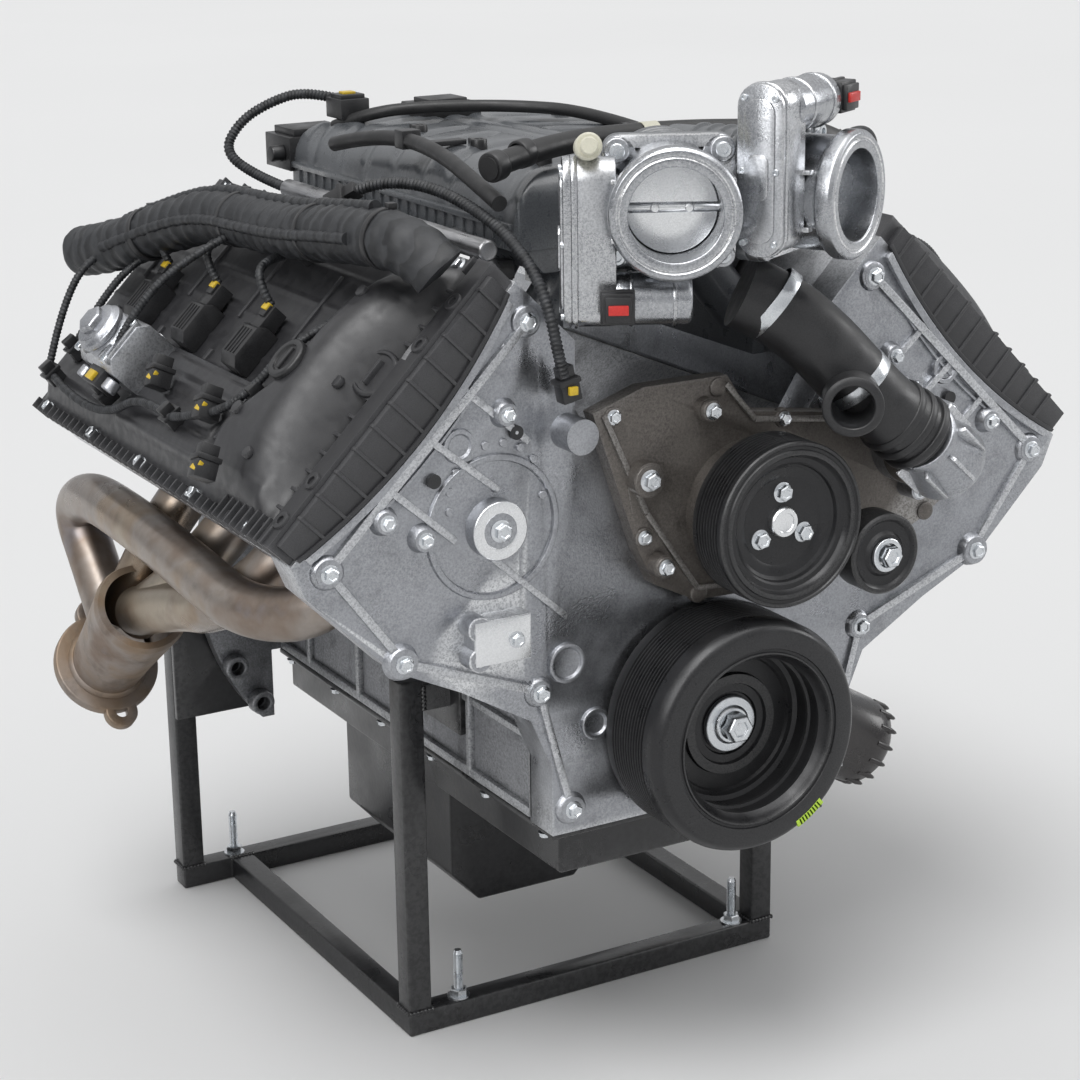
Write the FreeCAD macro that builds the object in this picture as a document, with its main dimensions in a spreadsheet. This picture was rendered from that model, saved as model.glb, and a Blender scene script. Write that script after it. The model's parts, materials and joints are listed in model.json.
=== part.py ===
"""V8 engine on its shipping stand, in millimetres.

The origin is the centre of the crankshaft flange's rear face.  +Y points to the rear, so the
engine's front faces -Y, +Z is up, and +X is on the right of somebody who faces the front.
Bank 2 leans towards +X and bank 1 towards -X.

Bank pieces are drawn in a frame of their own, with X across the bank (outwards is side * across),
Y along the crankshaft and Z up the cylinder, and are then leaned over by half the bank angle.
"""
import FreeCAD, Part
import math
import os
import re

import Sketcher
from FreeCAD import Placement, Rotation, Vector

X_AXIS = Vector(1, 0, 0)
Y_AXIS = Vector(0, 1, 0)
Z_AXIS = Vector(0, 0, 1)
BANKS = {"bank_1": -1, "bank_2": 1}

SIZES = {
    # crank train
    "bore": 93.0,
    "stroke": 92.7,
    "rod_length": 150.7,
    "deck_height": 227.3,
    "bore_pitch": 100.0,
    "bank_stagger": 20.0,
    "lean": 45.0,
    "front_throw": 410.0,
    "main_web": 22.0,
    "main_radius": 33.5,
    "pin_radius": 26.5,
    "running_gap": 0.05,
    "fit_gap": 0.3,
    "shell_thickness": 2.4,
    "rod_width": 19.6,
    "rod_big_end": 36.0,
    "rod_small_end": 17.0,
    "rod_beam_width": 20.0,
    "rod_beam_depth": 14.0,
    "wrist_pin_radius": 11.0,
    "wrist_pin_length": 60.0,
    "cheek_gap": 0.8,
    "cheek_thickness": 16.0,
    "pin_lobe_radius": 29.0,
    "counterweight_radius": 75.5,
    "counterweight_top": 10.0,
    "snout_radius": 14.5,
    "flange_radius": 50.0,
    "flange_thickness": 22.0,
    "flange_bolt_ring": 40.0,
    "flange_bolt_radius": 5.0,
    "pilot_radius": 11.0,
    "pilot_depth": 14.0,
    "compression_height": 30.0,
    "skirt_length": 22.0,
    "piston_gap": 0.2,
    "piston_wall": 7.0,
    "ring_height": 1.5,
    "ring_depth": 3.5,
    "ring_pitch": 6.0,
    "ring_gap": 0.1,
    # cylinder block
    "block_front": 478.0,
    "block_half": 70.0,
    "valley_height": 112.0,
    "skirt_half": 128.0,
    "rail_drop": 75.0,
    "trench_half": 105.0,
    "front_wall": 7.0,
    "cavity_radius": 88.0,
    "bore_bottom": 70.0,
    "jacket_inner": 52.0,
    "jacket_outer": 57.0,
    "jacket_depth": 85.0,
    "rear_seal_radius": 58.0,
    "rear_wall": 49.0,
    "bell_radius": 205.0,
    "bell_thickness": 14.0,
    "bell_bolt_ring": 196.0,
    "bell_bolt_radius": 5.5,
    "ear_drop": 138.0,
    "ear_inside": 140.0,
    "cap_height": 60.0,
    "seal_width": 8.0,
    "front_hole": 36.0,
    # heads
    "gasket": 1.0,
    "head_rear": 8.0,
    "rail_height": 356.5,
    "head_inner_low": 98.0,
    "head_inner": 134.0,
    "head_foot_inner": 76.0,
    "head_foot_outer": 80.0,
    "intake_face": 110.0,
    "exhaust_face": 88.0,
    "exhaust_face_low": 240.0,
    "exhaust_face_high": 285.0,
    "head_outer": 114.0,
    "head_outer_low": 318.0,
    "gallery_floor": 278.0,
    "gallery_inner": 80.0,
    "gallery_outer": 76.0,
    "head_end_wall": 12.0,
    "chamber_radius": 43.5,
    "chamber_depth": 10.0,
    "plug_thread": 7.0,
    "plug_shoulder": 258.0,
    "plug_well": 13.0,
    "plug_tube_wall": 3.0,
    "port_radius": 12.5,
    "intake_port_inner": 24.0,
    "exhaust_port_inner": 24.0,
    "port_inner_height": 256.0,
    "intake_port_height": 268.0,
    "exhaust_port_height": 262.0,
    # valve train
    "cam_height": 332.0,
    "intake_cam": 52.0,
    "exhaust_cam": 48.0,
    "cam_journal": 13.0,
    "cam_base": 15.0,
    "lobe_lift": 11.0,
    "lobe_nose": 6.0,
    "lobe_width": 11.0,
    "cam_shaft_radius": 11.0,
    "bearing_half": 20.0,
    "bearing_width": 18.0,
    "cap_rise": 20.0,
    "valve_across": 18.0,
    "valve_along": 17.5,
    "seat_height": 239.0,
    "intake_valve_radius": 16.4,
    "exhaust_valve_radius": 14.4,
    "throat_gap": 0.4,
    "stem_radius": 2.75,
    "guide_radius": 3.0,
    "spring_outer": 12.5,
    "spring_inner": 9.0,
    "follower_radius": 13.0,
    "follower_height": 5.5,
    "lobe_clearance": 0.6,
    # timing drive
    "row_1": 491.5,
    "row_2": 483.5,
    "chain_pitch": 8.0,
    "crank_teeth": 15,
    "cam_teeth": 30,
    "cross_teeth": 23,
    "tooth_height": 2.0,
    "sprocket_width": 5.0,
    "chain_width": 6.0,
    "chain_gap": 0.5,
    "chain_thickness": 5.0,
    "phaser_radius": 27.0,
    "phaser_front": 503.0,
    "pump_front": 504.8,
    "pump_thickness": 8.4,
    "pump_radius": 50.0,
    "pump_rotor": 29.7,
    "pump_leg_ring": 43.0,
    "pump_leg_radius": 5.5,
    # timing cover
    "cover_front": 511.6,
    "cover_skin": 6.0,
    "cover_wall": 8.0,
    "cover_valley": 124.0,
    "cover_valley_half": 28.0,
    "cover_outer": 118.0,
    "cover_tip": 128.0,
    "front_seal": 30.0,
    # crank damper
    "damper_radius": 90.0,
    "damper_front": 587.4,
    "damper_back": 515.0,
    "damper_mouth": 64.0,
    "damper_cavity": 61.0,
    "damper_web_front": 545.0,
    "damper_web_back": 529.0,
    "damper_rim_length": 18.0,
    "hub_radius": 23.0,
    "groove_depth": 3.0,
    "groove_pitch": 3.56,
    "crank_bolt_radius": 11.0,
    "crank_washer": 22.0,
    # cam covers
    "cover_flange": 14.0,
    "cover_shell": 3.0,
    "cover_rear_top": 388.0,
    "dome_top": 408.0,
    "dome_front": 509.0,
    "dome_back": 400.0,
    "dome_tail": 366.0,
    "cover_rear": 10.0,
    # sump and filter
    "pan_front": 508.0,
    "pan_half": 131.0,
    "pan_rail": 6.0,
    "pan_wall": 3.0,
    "pan_shallow": 112.0,
    "pan_deep": 228.0,
    "sump_left": 104.0,
    "sump_left_low": 78.0,
    "sump_left_corner": 200.0,
    "sump_right": 70.0,
    "sump_right_low": 15.0,
    "sump_right_corner": 170.0,
    "sump_front": 290.0,
    "sump_rear": 90.0,
    "filter_radius": 38.0,
    "filter_length": 92.0,
    # water pump
    "pump_x": 27.0,
    "pump_z": 160.0,
    "pulley_front": 587.0,
    "pulley_length": 38.0,
    "pulley_radius": 62.5,
    "pulley_bowl": 51.0,
    "pulley_web": 5.0,
    "pulley_bolt_ring": 22.0,
    "pump_shaft_radius": 8.0,
    "volute_radius": 52.0,
    "volute_front": 544.0,
    "impeller_radius": 36.0,
    "impeller_front": 534.0,
    "thermostat_x": 174.0,
    "thermostat_z": 190.0,
    "thermostat_front": 550.0,
    "idler_x": 114.5,
    "idler_z": 123.0,
    "idler_radius": 31.0,
    "idler_front": 584.0,
    "idler_length": 25.0,
    # intake side
    "throttle_x": 76.5,
    "throttle_z": 396.0,
    "throttle_front": 591.0,
    "throttle_splay": 28.0,
    "throttle_ring": 46.0,
    "throttle_bore": 32.5,
    "throttle_length": 66.0,
    "throttle_shaft": 4.0,
    "plenum_half": 124.0,
    "plenum_floor": 336.0,
    "plenum_top": 410.0,
    "plenum_front": 452.0,
    "plenum_rear": 70.0,
    "plenum_wall": 4.0,
    "rail_offset": 17.0,
    "rail_z": 356.0,
    "manifold_foot_top": 300.0,
    "runner_radius": 19.0,
    "runner_bore": 13.5,
    # exhaust
    "header_tube": 21.0,
    "header_wall": 2.0,
    "header_plate": 9.0,
    "collector_radius": 31.0,
    "collector_bore": 28.0,
    # shipping stand
    "floor_drop": 302.0,
    "bar_side": 20.6,
    "stand_half": 178.0,
    "stand_front": 352.6,
    "rear_bar_front": 12.5,
    "rear_bar_half": 226.3,
    "front_post_top": 5.0,
    "rear_post_top": -37.0,
    "stud_radius": 4.0,
    "stud_rise": 42.0,
    "stud_nut": 7.5,
    "bracket_plate": 6.0,
    # cables and hoses
    "loom_radius": 21.0,
    "branch_radius": 4.0,
    "breather_radius": 8.5,
    "vapour_radius": 6.0,
    "coolant_radius": 21.0,
    "coolant_bore": 15.0,
}

doc = FreeCAD.newDocument("v8_engine")
sheet = doc.addObject("Spreadsheet::Sheet", "sizes")
for row, (alias, value) in enumerate(SIZES.items(), start=1):
    sheet.set(f"A{row}", alias)
    sheet.set(f"B{row}", str(value))
    sheet.setAlias(f"B{row}", alias)
doc.recompute()

WORD = re.compile(r"[a-z]\w*")
PARTS = {}


# ---------------------------------------------------------------- expressions and primitives

def formula(text):
    """Write a rule in the sheet's aliases as a FreeCAD expression."""
    return WORD.sub(lambda word: "sizes." + word.group() if word.group() in SIZES
                    else word.group(), str(text))


def number(text):
    """Work out a rule written in the sheet's aliases."""
    value = sheet.evalExpression(formula(text))
    return float(getattr(value, "Value", value))


def bind(item, **rules):
    """Tie properties of an object to rules."""
    for name, text in rules.items():
        item.setExpression(name, formula(text))


def put(item, x, y, z, axis=Z_AXIS, angle=0):
    """Place an object by rules, turned about an axis."""
    item.Placement = Placement(Vector(), Rotation(axis, number(angle)))
    for name, text in zip("xyz", (x, y, z)):
        item.setExpression(f".Placement.Base.{name}", formula(text))
    return item


def box(name, x, y, z, length, width, height):
    """A box from its lowest corner."""
    item = doc.addObject("Part::Box", name)
    bind(item, Length=length, Width=width, Height=height)
    return put(item, x, y, z)


def slab(name, half, y, z, width, height):
    """A box across the engine, centred on X = 0."""
    return box(name, f"-({half})", y, z, f"2*({half})", width, height)


def rod_y(name, x, y, z, radius, length):
    """A cylinder that runs towards +Y from its front end."""
    item = doc.addObject("Part::Cylinder", name)
    bind(item, Radius=radius, Height=length)
    return put(item, x, y, z, X_AXIS, -90)


def rod_z(name, x, y, z, radius, length, axis=Z_AXIS, angle=0):
    """A cylinder that runs up from its base, leaned about an axis."""
    item = doc.addObject("Part::Cylinder", name)
    bind(item, Radius=radius, Height=length)
    return put(item, x, y, z, axis, angle)


def fuse(name, items):
    """One solid from several that touch."""
    item = doc.addObject("Part::MultiFuse", name)
    item.Shapes = items
    item.Refine = True
    return item


def group(name, items):
    """Several separate solids in one object."""
    item = doc.addObject("Part::Compound", name)
    item.Links = items
    return item


def cut(name, base, tools):
    """A base less its tools."""
    item = doc.addObject("Part::Cut", name)
    item.Base = base
    item.Tool = tools[0] if len(tools) == 1 else fuse(name + "_tools", tools)
    return item


def common(name, first, second):
    """What two solids share."""
    item = doc.addObject("Part::Common", name)
    item.Base = first
    item.Tool = second
    return item


def draw(sketch, points):
    """Draw a closed outline whose corners follow rules."""
    corners = [Vector(number(x), number(y), 0) for x, y in points]
    count = len(corners)
    for index, corner in enumerate(corners):
        sketch.addGeometry(Part.LineSegment(corner, corners[(index + 1) % count]), False)
    for index in range(count):
        sketch.addConstraint(Sketcher.Constraint("Coincident", index, 2, (index + 1) % count, 1))
    for index, (corner, rules) in enumerate(zip(corners, points)):
        for kind, value, rule in (("DistanceX", corner.x, rules[0]), ("DistanceY", corner.y, rules[1])):
            place = sketch.addConstraint(Sketcher.Constraint(kind, -1, 1, index, 1, value))
            sketch.setExpression(f"Constraints[{place}]", formula(rule))


def prism(name, points, y, length):
    """An outline in the XZ plane, drawn out towards +Y from a rule."""
    sketch = doc.addObject("Sketcher::SketchObject", name + "_outline")
    draw(sketch, points)
    put(sketch, "0", y, "0", X_AXIS, 90)
    item = doc.addObject("Part::Extrusion", name)
    item.Base = sketch
    item.DirMode = "Custom"
    item.Dir = Y_AXIS
    item.Solid = True
    bind(item, LengthFwd=length)
    return item


def turned(name, points):
    """A body turned about the Y axis: each point is a radius and a place along Y."""
    body = doc.addObject("PartDesign::Body", name)
    plane = [item for item in body.Origin.OriginFeatures if item.Role == "XY_Plane"][0]
    sketch = body.newObject("Sketcher::SketchObject", name + "_profile")
    sketch.AttachmentSupport = [(plane, "")]
    sketch.MapMode = "FlatFace"
    draw(sketch, points)
    doc.recompute()
    turn = body.newObject("PartDesign::Revolution", name + "_turn")
    turn.Profile = sketch
    turn.ReferenceAxis = (sketch, ["V_Axis"])
    turn.Angle = 360
    return body


def keep(label, item):
    """Name a finished sub-part."""
    item.Label = label
    PARTS[label] = item
    return item


def shape_part(label, shape):
    """A sub-part whose shape is worked out from the sheet, where no feature suits it."""
    item = doc.addObject("Part::Feature", label + "_shape")
    item.Shape = shape
    return keep(label, item)


def lean(item, side):
    """Lean a bank piece over to its side."""
    item.Placement = Placement(Vector(), Rotation(Vector(0, side, 0), number("lean")))
    item.setExpression(".Placement.Rotation.Angle", formula("lean"))
    return item


# ---------------------------------------------------------------- where things are

def bank_x(height, across, side=1):
    """X of a point given up and across a bank."""
    return f"{side}*(({height})*sin(lean) + ({across})*cos(lean))"


def bank_z(height, across):
    """Z of a point given up and across a bank."""
    return f"(({height})*cos(lean) - ({across})*sin(lean))"


def bank_point(height, across, side):
    """X and Z rules of a point given up and across a bank."""
    return (bank_x(height, across, side), bank_z(height, across))


def throw_y(index):
    """Y of a crankpin, counted from the front."""
    return f"(-front_throw + {index}*bore_pitch)"


def main_y(index):
    """Y of a main bearing, counted from the front."""
    return f"(-front_throw + ({index} - 0.5)*bore_pitch)"


def cylinder_y(index, side):
    """Y of a cylinder's axis."""
    return f"({throw_y(index)} + {side}*bank_stagger/2)"


def bearing_y(index, side):
    """Y of a camshaft bearing: the first in the head's front wall, the others behind cylinders."""
    if index == 0:
        return "(-block_front + head_end_wall/2)"
    return f"({cylinder_y(index - 1, side)} + bore_pitch/2)"


def crank_angle(index):
    """Angle of a throw from +Z towards +X: the two planes of a cross-plane crankshaft."""
    return -number("lean") + (0, 90, 270, 180)[index]


def mirrored(points):
    """A half outline at +X, joined to its mirror image."""
    return points + [(f"-({x})", z) for x, z in reversed(points)]


# ---------------------------------------------------------------- shipping stand

def stand():
    """Square-tube frame, posts, brackets and hold-down studs."""
    bars = [
        slab("front_bar", "stand_half", "-stand_front", "-floor_drop", "bar_side", "bar_side"),
        slab("rear_bar", "rear_bar_half", "rear_bar_front", "-floor_drop", "bar_side", "bar_side"),
    ]
    for name, x in (("left_bar", "-stand_half"), ("right_bar", "stand_half - bar_side")):
        bars.append(box(name, x, "-stand_front + bar_side/2", "-floor_drop", "bar_side",
                        "stand_front - bar_side/2 + rear_bar_front + bar_side/2", "bar_side"))
    keep("stand_base_frame", fuse("base_frame", bars))

    front = []
    rear = []
    for name, side in (("left", -1), ("right", 1)):
        front.append(box(f"front_post_{name}", f"{side}*(stand_half - bar_side/2) - bar_side/2", "-stand_front",
                         "-floor_drop + bar_side", "bar_side", "bar_side", "floor_drop - bar_side + front_post_top"))
        rear.append(box(f"rear_post_{name}", f"{side}*(rear_bar_half - bar_side/2) - bar_side/2", "rear_bar_front",
                        "-floor_drop + bar_side", "bar_side", "bar_side", "floor_drop - bar_side + rear_post_top"))
    keep("stand_front_posts", group("front_posts", front))
    keep("stand_rear_posts", group("rear_posts", rear))

    brackets = []
    for name, side in (("left", -1), ("right", 1)):
        plate = box(f"mount_plate_{name}", f"{side}*(skirt_half + bracket_plate/2) - bracket_plate/2",
                    "-stand_front - 16", "-42", "bracket_plate", "72", "60")
        arm = box(f"mount_arm_{name}",
                  f"{side}*(skirt_half + stand_half - bar_side)/2 - (stand_half - bar_side - skirt_half)/2",
                  "-stand_front", "-22", "stand_half - bar_side - skirt_half", "bar_side", "22")
        brackets.append(fuse(f"mount_bracket_{name}", [plate, arm]))
        web = box(f"bell_plate_{name}", f"{side}*(rear_bar_half + ear_inside)/2 - (rear_bar_half - ear_inside)/2",
                  "rear_bar_front - bracket_plate", "rear_post_top - 96", "rear_bar_half - ear_inside",
                  "bracket_plate", "96")
        solids = [web]
        for number_of, angle in enumerate((25.0, 38.0)):
            solids.append(rod_y(f"bell_spacer_{name}_{number_of}",
                                f"{side}*bell_bolt_ring*cos({angle})", "0", f"-bell_bolt_ring*sin({angle})",
                                "9", "rear_bar_front - bracket_plate"))
        brackets.append(fuse(f"bell_bracket_{name}", solids))
    keep("stand_brackets", group("brackets", brackets))

    studs = []
    places = (("front_left", "-127.6", "-stand_front + bar_side/2"), ("front_right", "142.7", "-stand_front + bar_side/2"),
              ("rear_left", "-171.5", "rear_bar_front + bar_side/2"), ("rear_right", "171.5", "rear_bar_front + bar_side/2"))
    for name, x, y in places:
        shank = rod_z(f"stud_{name}", x, y, "-floor_drop + bar_side", "stud_radius", "stud_rise")
        nut = rod_z(f"nut_{name}", x, y, "-floor_drop + bar_side", "stud_nut", "stud_nut")
        studs.append(fuse(f"stud_and_nut_{name}", [shank, nut]))
    keep("stand_studs", group("studs", studs))


# ---------------------------------------------------------------- block and crank train

def block():
    """Open-deck block with a deep skirt, cast with its bellhousing flange."""
    outline = mirrored([
        ("cover_valley_half/2", "valley_height"),
        bank_point("deck_height", "-block_half", 1),
        bank_point("deck_height", "block_half", 1),
        ("skirt_half", "(skirt_half - block_half*cos(lean))/tan(lean) - block_half*sin(lean)"),
        ("skirt_half", "-rail_drop"),
    ])
    casting = prism("block_casting", outline, "-block_front", "block_front")
    disc = rod_y("bell_disc", "0", "-bell_thickness", "0", "bell_radius", "bell_thickness")
    window = slab("bell_window", "bell_radius", "-bell_thickness", "-ear_drop", "bell_thickness",
                  "ear_drop + bell_radius")
    bell = cut("bell_flange", common("bell_limits", disc, window), [
        slab("bell_gap", "ear_inside", "-bell_thickness", "-ear_drop", "bell_thickness",
             "ear_drop - rail_drop")])
    solid = fuse("block_solid", [casting, bell])

    tools = [
        slab("trench", "trench_half", "-block_front + front_wall", "-rail_drop",
             "block_front - front_wall - rear_wall", "rail_drop"),
        rod_y("main_line", "0", "-block_front", "0", "main_radius + shell_thickness", "block_front"),
        rod_y("snout_hole", "0", "-block_front", "0", "front_hole", "front_wall"),
        rod_y("rear_seal_bore", "0", "-rear_wall", "0", "rear_seal_radius", "rear_wall"),
    ]
    for index in range(4):
        tools.append(rod_y(f"crank_bay_{index}", "0", f"{main_y(index)} + main_web/2", "0",
                           "cavity_radius", "bore_pitch - main_web"))
    for name, side in BANKS.items():
        for index in range(4):
            y = cylinder_y(index, side)
            hole = rod_z(f"bore_{name}_{index}", bank_x("bore_bottom", "0", side), y,
                         bank_z("bore_bottom", "0"), "bore/2", "deck_height - bore_bottom + 1",
                         Vector(0, side, 0), "lean")
            tools.append(hole)
    for index, angle in enumerate((-38, -25, 8, 42, 76)):
        for name, side in BANKS.items():
            tools.append(rod_y(f"bell_bolt_{name}_{index}", f"{side}*bell_bolt_ring*cos({angle})",
                               "-bell_thickness", f"bell_bolt_ring*sin({angle})", "bell_bolt_radius",
                               "bell_thickness"))
    body = cut("block_bored", solid, tools)
    jackets = []
    for name, side in BANKS.items():
        outer = []
        inner = []
        for index in range(4):
            place = ("0", cylinder_y(index, side), "deck_height - jacket_depth")
            outer.append(rod_z(f"jacket_out_{name}_{index}", *place, "jacket_outer", "jacket_depth"))
            inner.append(rod_z(f"jacket_in_{name}_{index}", *place, "jacket_inner", "jacket_depth"))
        ring = cut(f"jacket_{name}", fuse(f"jacket_outer_{name}", outer), [fuse(f"jacket_inner_{name}", inner)])
        limit = slab(f"jacket_limit_{name}", "block_half", f"{cylinder_y(0, side)} - bore/2",
                     "deck_height - jacket_depth", "block_front", "jacket_depth")
        jackets.append(lean(common(f"jacket_slot_{name}", ring, limit), side))
    keep("cylinder_block", cut("block", body, jackets))


def main_bearings():
    """Bearing caps, shells and crankshaft seals."""
    caps = []
    shells = []
    for index in range(5):
        front = f"{main_y(index)} - main_web/2"
        cap = slab(f"cap_block_{index}", "trench_half - fit_gap", front, "-cap_height", "main_web", "cap_height")
        hole = rod_y(f"cap_bore_{index}", "0", front, "0", "main_radius + shell_thickness", "main_web")
        caps.append(cut(f"main_cap_{index}", cap, [hole]))
        ring = rod_y(f"shell_out_{index}", "0", f"{front} + 1", "0",
                     "main_radius + shell_thickness - running_gap", "main_web - 2")
        bore = rod_y(f"shell_in_{index}", "0", f"{front} + 1", "0", "main_radius + running_gap", "main_web - 2")
        shells.append(cut(f"main_shell_{index}", ring, [bore]))
    keep("main_bearing_caps", group("main_caps", caps))
    keep("main_bearing_shells", group("main_shells", shells))

    seals = []
    for name, front, outer, inner, width in (
            ("front", "-cover_front", "front_seal - running_gap", "hub_radius + running_gap", "cover_skin"),
            ("rear", "-seal_width - 4", "rear_seal_radius - running_gap", "flange_radius + running_gap",
             "seal_width")):
        ring = rod_y(f"seal_out_{name}", "0", front, "0", outer, width)
        bore = rod_y(f"seal_in_{name}", "0", front, "0", inner, width)
        seals.append(cut(f"seal_{name}", ring, [bore]))
    keep("crankshaft_seals", group("seals", seals))


def crank_cheek(name, front):
    """One web of the crankshaft with its counterweight, for a pin that points along +Z."""
    disc = rod_y(f"weight_disc_{name}", "0", front, "0", "counterweight_radius", "cheek_thickness")
    lower = slab(f"weight_limit_{name}", "counterweight_radius*0.9", front,
                 "-counterweight_radius", "cheek_thickness", "counterweight_radius - counterweight_top")
    weight = common(f"weight_{name}", disc, lower)
    arm = slab(f"arm_{name}", "pin_lobe_radius", front, "-counterweight_top - 8", "cheek_thickness",
               "stroke/2 + counterweight_top + 8")
    lobe = rod_y(f"lobe_{name}", "0", front, "stroke/2", "pin_lobe_radius", "cheek_thickness")
    return [weight, arm, lobe]


def crankshaft():
    """Cross-plane crankshaft with four throws, a snout and a flywheel flange."""
    solids = []
    half_pin = "(rod_width + cheek_gap)"
    for index in range(4):
        middle = throw_y(index)
        pin = rod_y(f"crankpin_{index}", "0", f"{middle} - {half_pin}", "stroke/2", "pin_radius",
                    f"2*{half_pin}")
        pieces = [pin]
        pieces += crank_cheek(f"front_{index}", f"{middle} - {half_pin} - cheek_thickness")
        pieces += crank_cheek(f"rear_{index}", f"{middle} + {half_pin}")
        throw = fuse(f"throw_{index}", pieces)
        throw.Placement = Placement(Vector(), Rotation(Y_AXIS, crank_angle(index)))
        solids.append(throw)
    journal_half = "(bore_pitch/2 - rod_width - cheek_gap - cheek_thickness)"
    for index in range(5):
        solids.append(rod_y(f"journal_{index}", "0", f"{main_y(index)} - {journal_half}", "0",
                            "main_radius", f"2*{journal_half}"))
    nose = f"{main_y(0)} - {journal_half}"
    tail = f"{main_y(4)} + {journal_half}"
    solids.append(rod_y("snout", "0", "-damper_web_front + 1", "0", "snout_radius",
                        f"damper_web_front - 1 + {nose}"))
    solids.append(rod_y("rear_neck", "0", tail, "0", "main_radius + 3", f"-({tail}) - flange_thickness"))
    solids.append(rod_y("flywheel_flange", "0", "-flange_thickness", "0", "flange_radius", "flange_thickness"))
    holes = [rod_y("pilot_hole", "0", "-pilot_depth", "0", "pilot_radius", "pilot_depth"),
             rod_y("crank_bolt_hole", "0", "-damper_web_front", "0", "crank_bolt_radius - 2.8", "50")]
    for index in range(8):
        holes.append(rod_y(f"flange_hole_{index}", f"flange_bolt_ring*cos({index}*45)", "-flange_thickness",
                           f"flange_bolt_ring*sin({index}*45)", "flange_bolt_radius", "flange_thickness"))
    keep("crankshaft", cut("crank", fuse("crank_solid", solids), holes))


def rod_geometry(index, side):
    """Crankpin place, piston-pin place and lean of a connecting rod, as numbers."""
    radius = number("stroke")/2
    length = number("rod_length")
    pin_angle = math.radians(crank_angle(index))
    bank_angle = math.radians(side*number("lean"))
    offset = pin_angle - bank_angle
    height = radius*math.cos(offset) + math.sqrt(length**2 - (radius*math.sin(offset))**2)
    pin = Vector(radius*math.sin(pin_angle), 0, radius*math.cos(pin_angle))
    top = Vector(height*math.sin(bank_angle), 0, height*math.cos(bank_angle))
    reach = top - pin
    return pin, height, math.degrees(math.atan2(reach.x, reach.z))


def pistons_and_rods():
    """Pistons with rings, their pins and the connecting rods, at the crankshaft's rest angle."""
    pistons = []
    pins = []
    rods = []
    for name, side in BANKS.items():
        for index in range(4):
            key = f"{name}_{index}"
            pin, height, swing = rod_geometry(index, side)
            y = cylinder_y(index, side)
            crown = "compression_height"
            skirt = rod_z(f"piston_body_{key}", "0", "0", "-skirt_length", "bore/2 - piston_gap",
                          f"skirt_length + {crown}")
            tools = [
                box(f"piston_slot_{key}", "-(bore/2 - piston_wall)", "-rod_width/2 - 3", "-skirt_length",
                    "bore - 2*piston_wall", "rod_width + 6", "skirt_length + compression_height - piston_wall"),
                rod_y(f"piston_pin_hole_{key}", "0", "-bore/2", "0", "wrist_pin_radius + running_gap", "bore"),
            ]
            for level in range(1, 4):
                land = f"{crown} - {level}*ring_pitch"
                full = rod_z(f"groove_full_{key}_{level}", "0", "0", land, "bore/2", "ring_height + ring_gap")
                core = rod_z(f"groove_core_{key}_{level}", "0", "0", land,
                             "bore/2 - ring_depth - ring_gap", "ring_height + ring_gap")
                tools.append(cut(f"groove_{key}_{level}", full, [core]))
            solids = [cut(f"piston_{key}", skirt, tools)]
            for level in range(1, 4):
                land = f"{crown} - {level}*ring_pitch + ring_gap/2"
                full = rod_z(f"ring_full_{key}_{level}", "0", "0", land, "bore/2 - running_gap", "ring_height")
                core = rod_z(f"ring_core_{key}_{level}", "0", "0", land, "bore/2 - ring_depth", "ring_height")
                solids.append(cut(f"ring_{key}_{level}", full, [core]))
            whole = group(f"piston_set_{key}", solids)
            turn = Rotation(Y_AXIS, side*number("lean"))
            place = turn.multVec(Vector(0, 0, height)) + Vector(0, number(y), 0)
            whole.Placement = Placement(place, turn)
            pistons.append(whole)
            wrist = rod_y(f"wrist_pin_{key}", "0", "-wrist_pin_length/2", "0", "wrist_pin_radius",
                          "wrist_pin_length")
            pin_group = group(f"pin_set_{key}", [wrist])
            pin_group.Placement = Placement(place, turn)
            pins.append(pin_group)
            half = "-rod_width/2"
            rod_solid = fuse(f"rod_solid_{key}", [
                rod_y(f"rod_big_{key}", "0", half, "0", "rod_big_end", "rod_width"),
                rod_y(f"rod_small_{key}", "0", half, "rod_length", "rod_small_end", "rod_width"),
                box(f"rod_beam_{key}", "-rod_beam_width/2", "-rod_beam_depth/2", "rod_big_end - 4",
                    "rod_beam_width", "rod_beam_depth", "rod_length - rod_big_end - rod_small_end + 8"),
            ])
            rod = cut(f"rod_{key}", rod_solid, [
                rod_y(f"rod_eye_{key}", "0", half, "0", "pin_radius + 2*running_gap", "rod_width"),
                rod_y(f"rod_pin_eye_{key}", "0", half, "rod_length", "wrist_pin_radius + running_gap",
                      "rod_width"),
            ])
            rod.Placement = Placement(pin + Vector(0, number(y), 0), Rotation(Y_AXIS, swing))
            rods.append(rod)
    keep("pistons", group("pistons_all", pistons))
    keep("piston_pins", group("piston_pins_all", pins))
    keep("connecting_rods", group("connecting_rods_all", rods))


# ---------------------------------------------------------------- heads and valve train

def valve_lean(kind):
    """Lean of a valve away from the cylinder's axis, in degrees."""
    return f"atan(({kind}_cam - valve_across)/(cam_height - seat_height))"


def valve_reach(kind):
    """Distance from a valve's seat to its camshaft's axis."""
    return f"sqrt(({kind}_cam - valve_across)^2 + (cam_height - seat_height)^2)"


def valve_places(side):
    """Each valve of a bank as its kind, its direction across, its Y and a key."""
    places = []
    for index in range(4):
        for kind, way in (("intake", -1), ("exhaust", 1)):
            for pair in (-1, 1):
                y = f"({cylinder_y(index, side)} + {pair}*valve_along)"
                places.append((kind, way, y, f"{kind}_{index}_{pair + 1}"))
    return places


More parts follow.
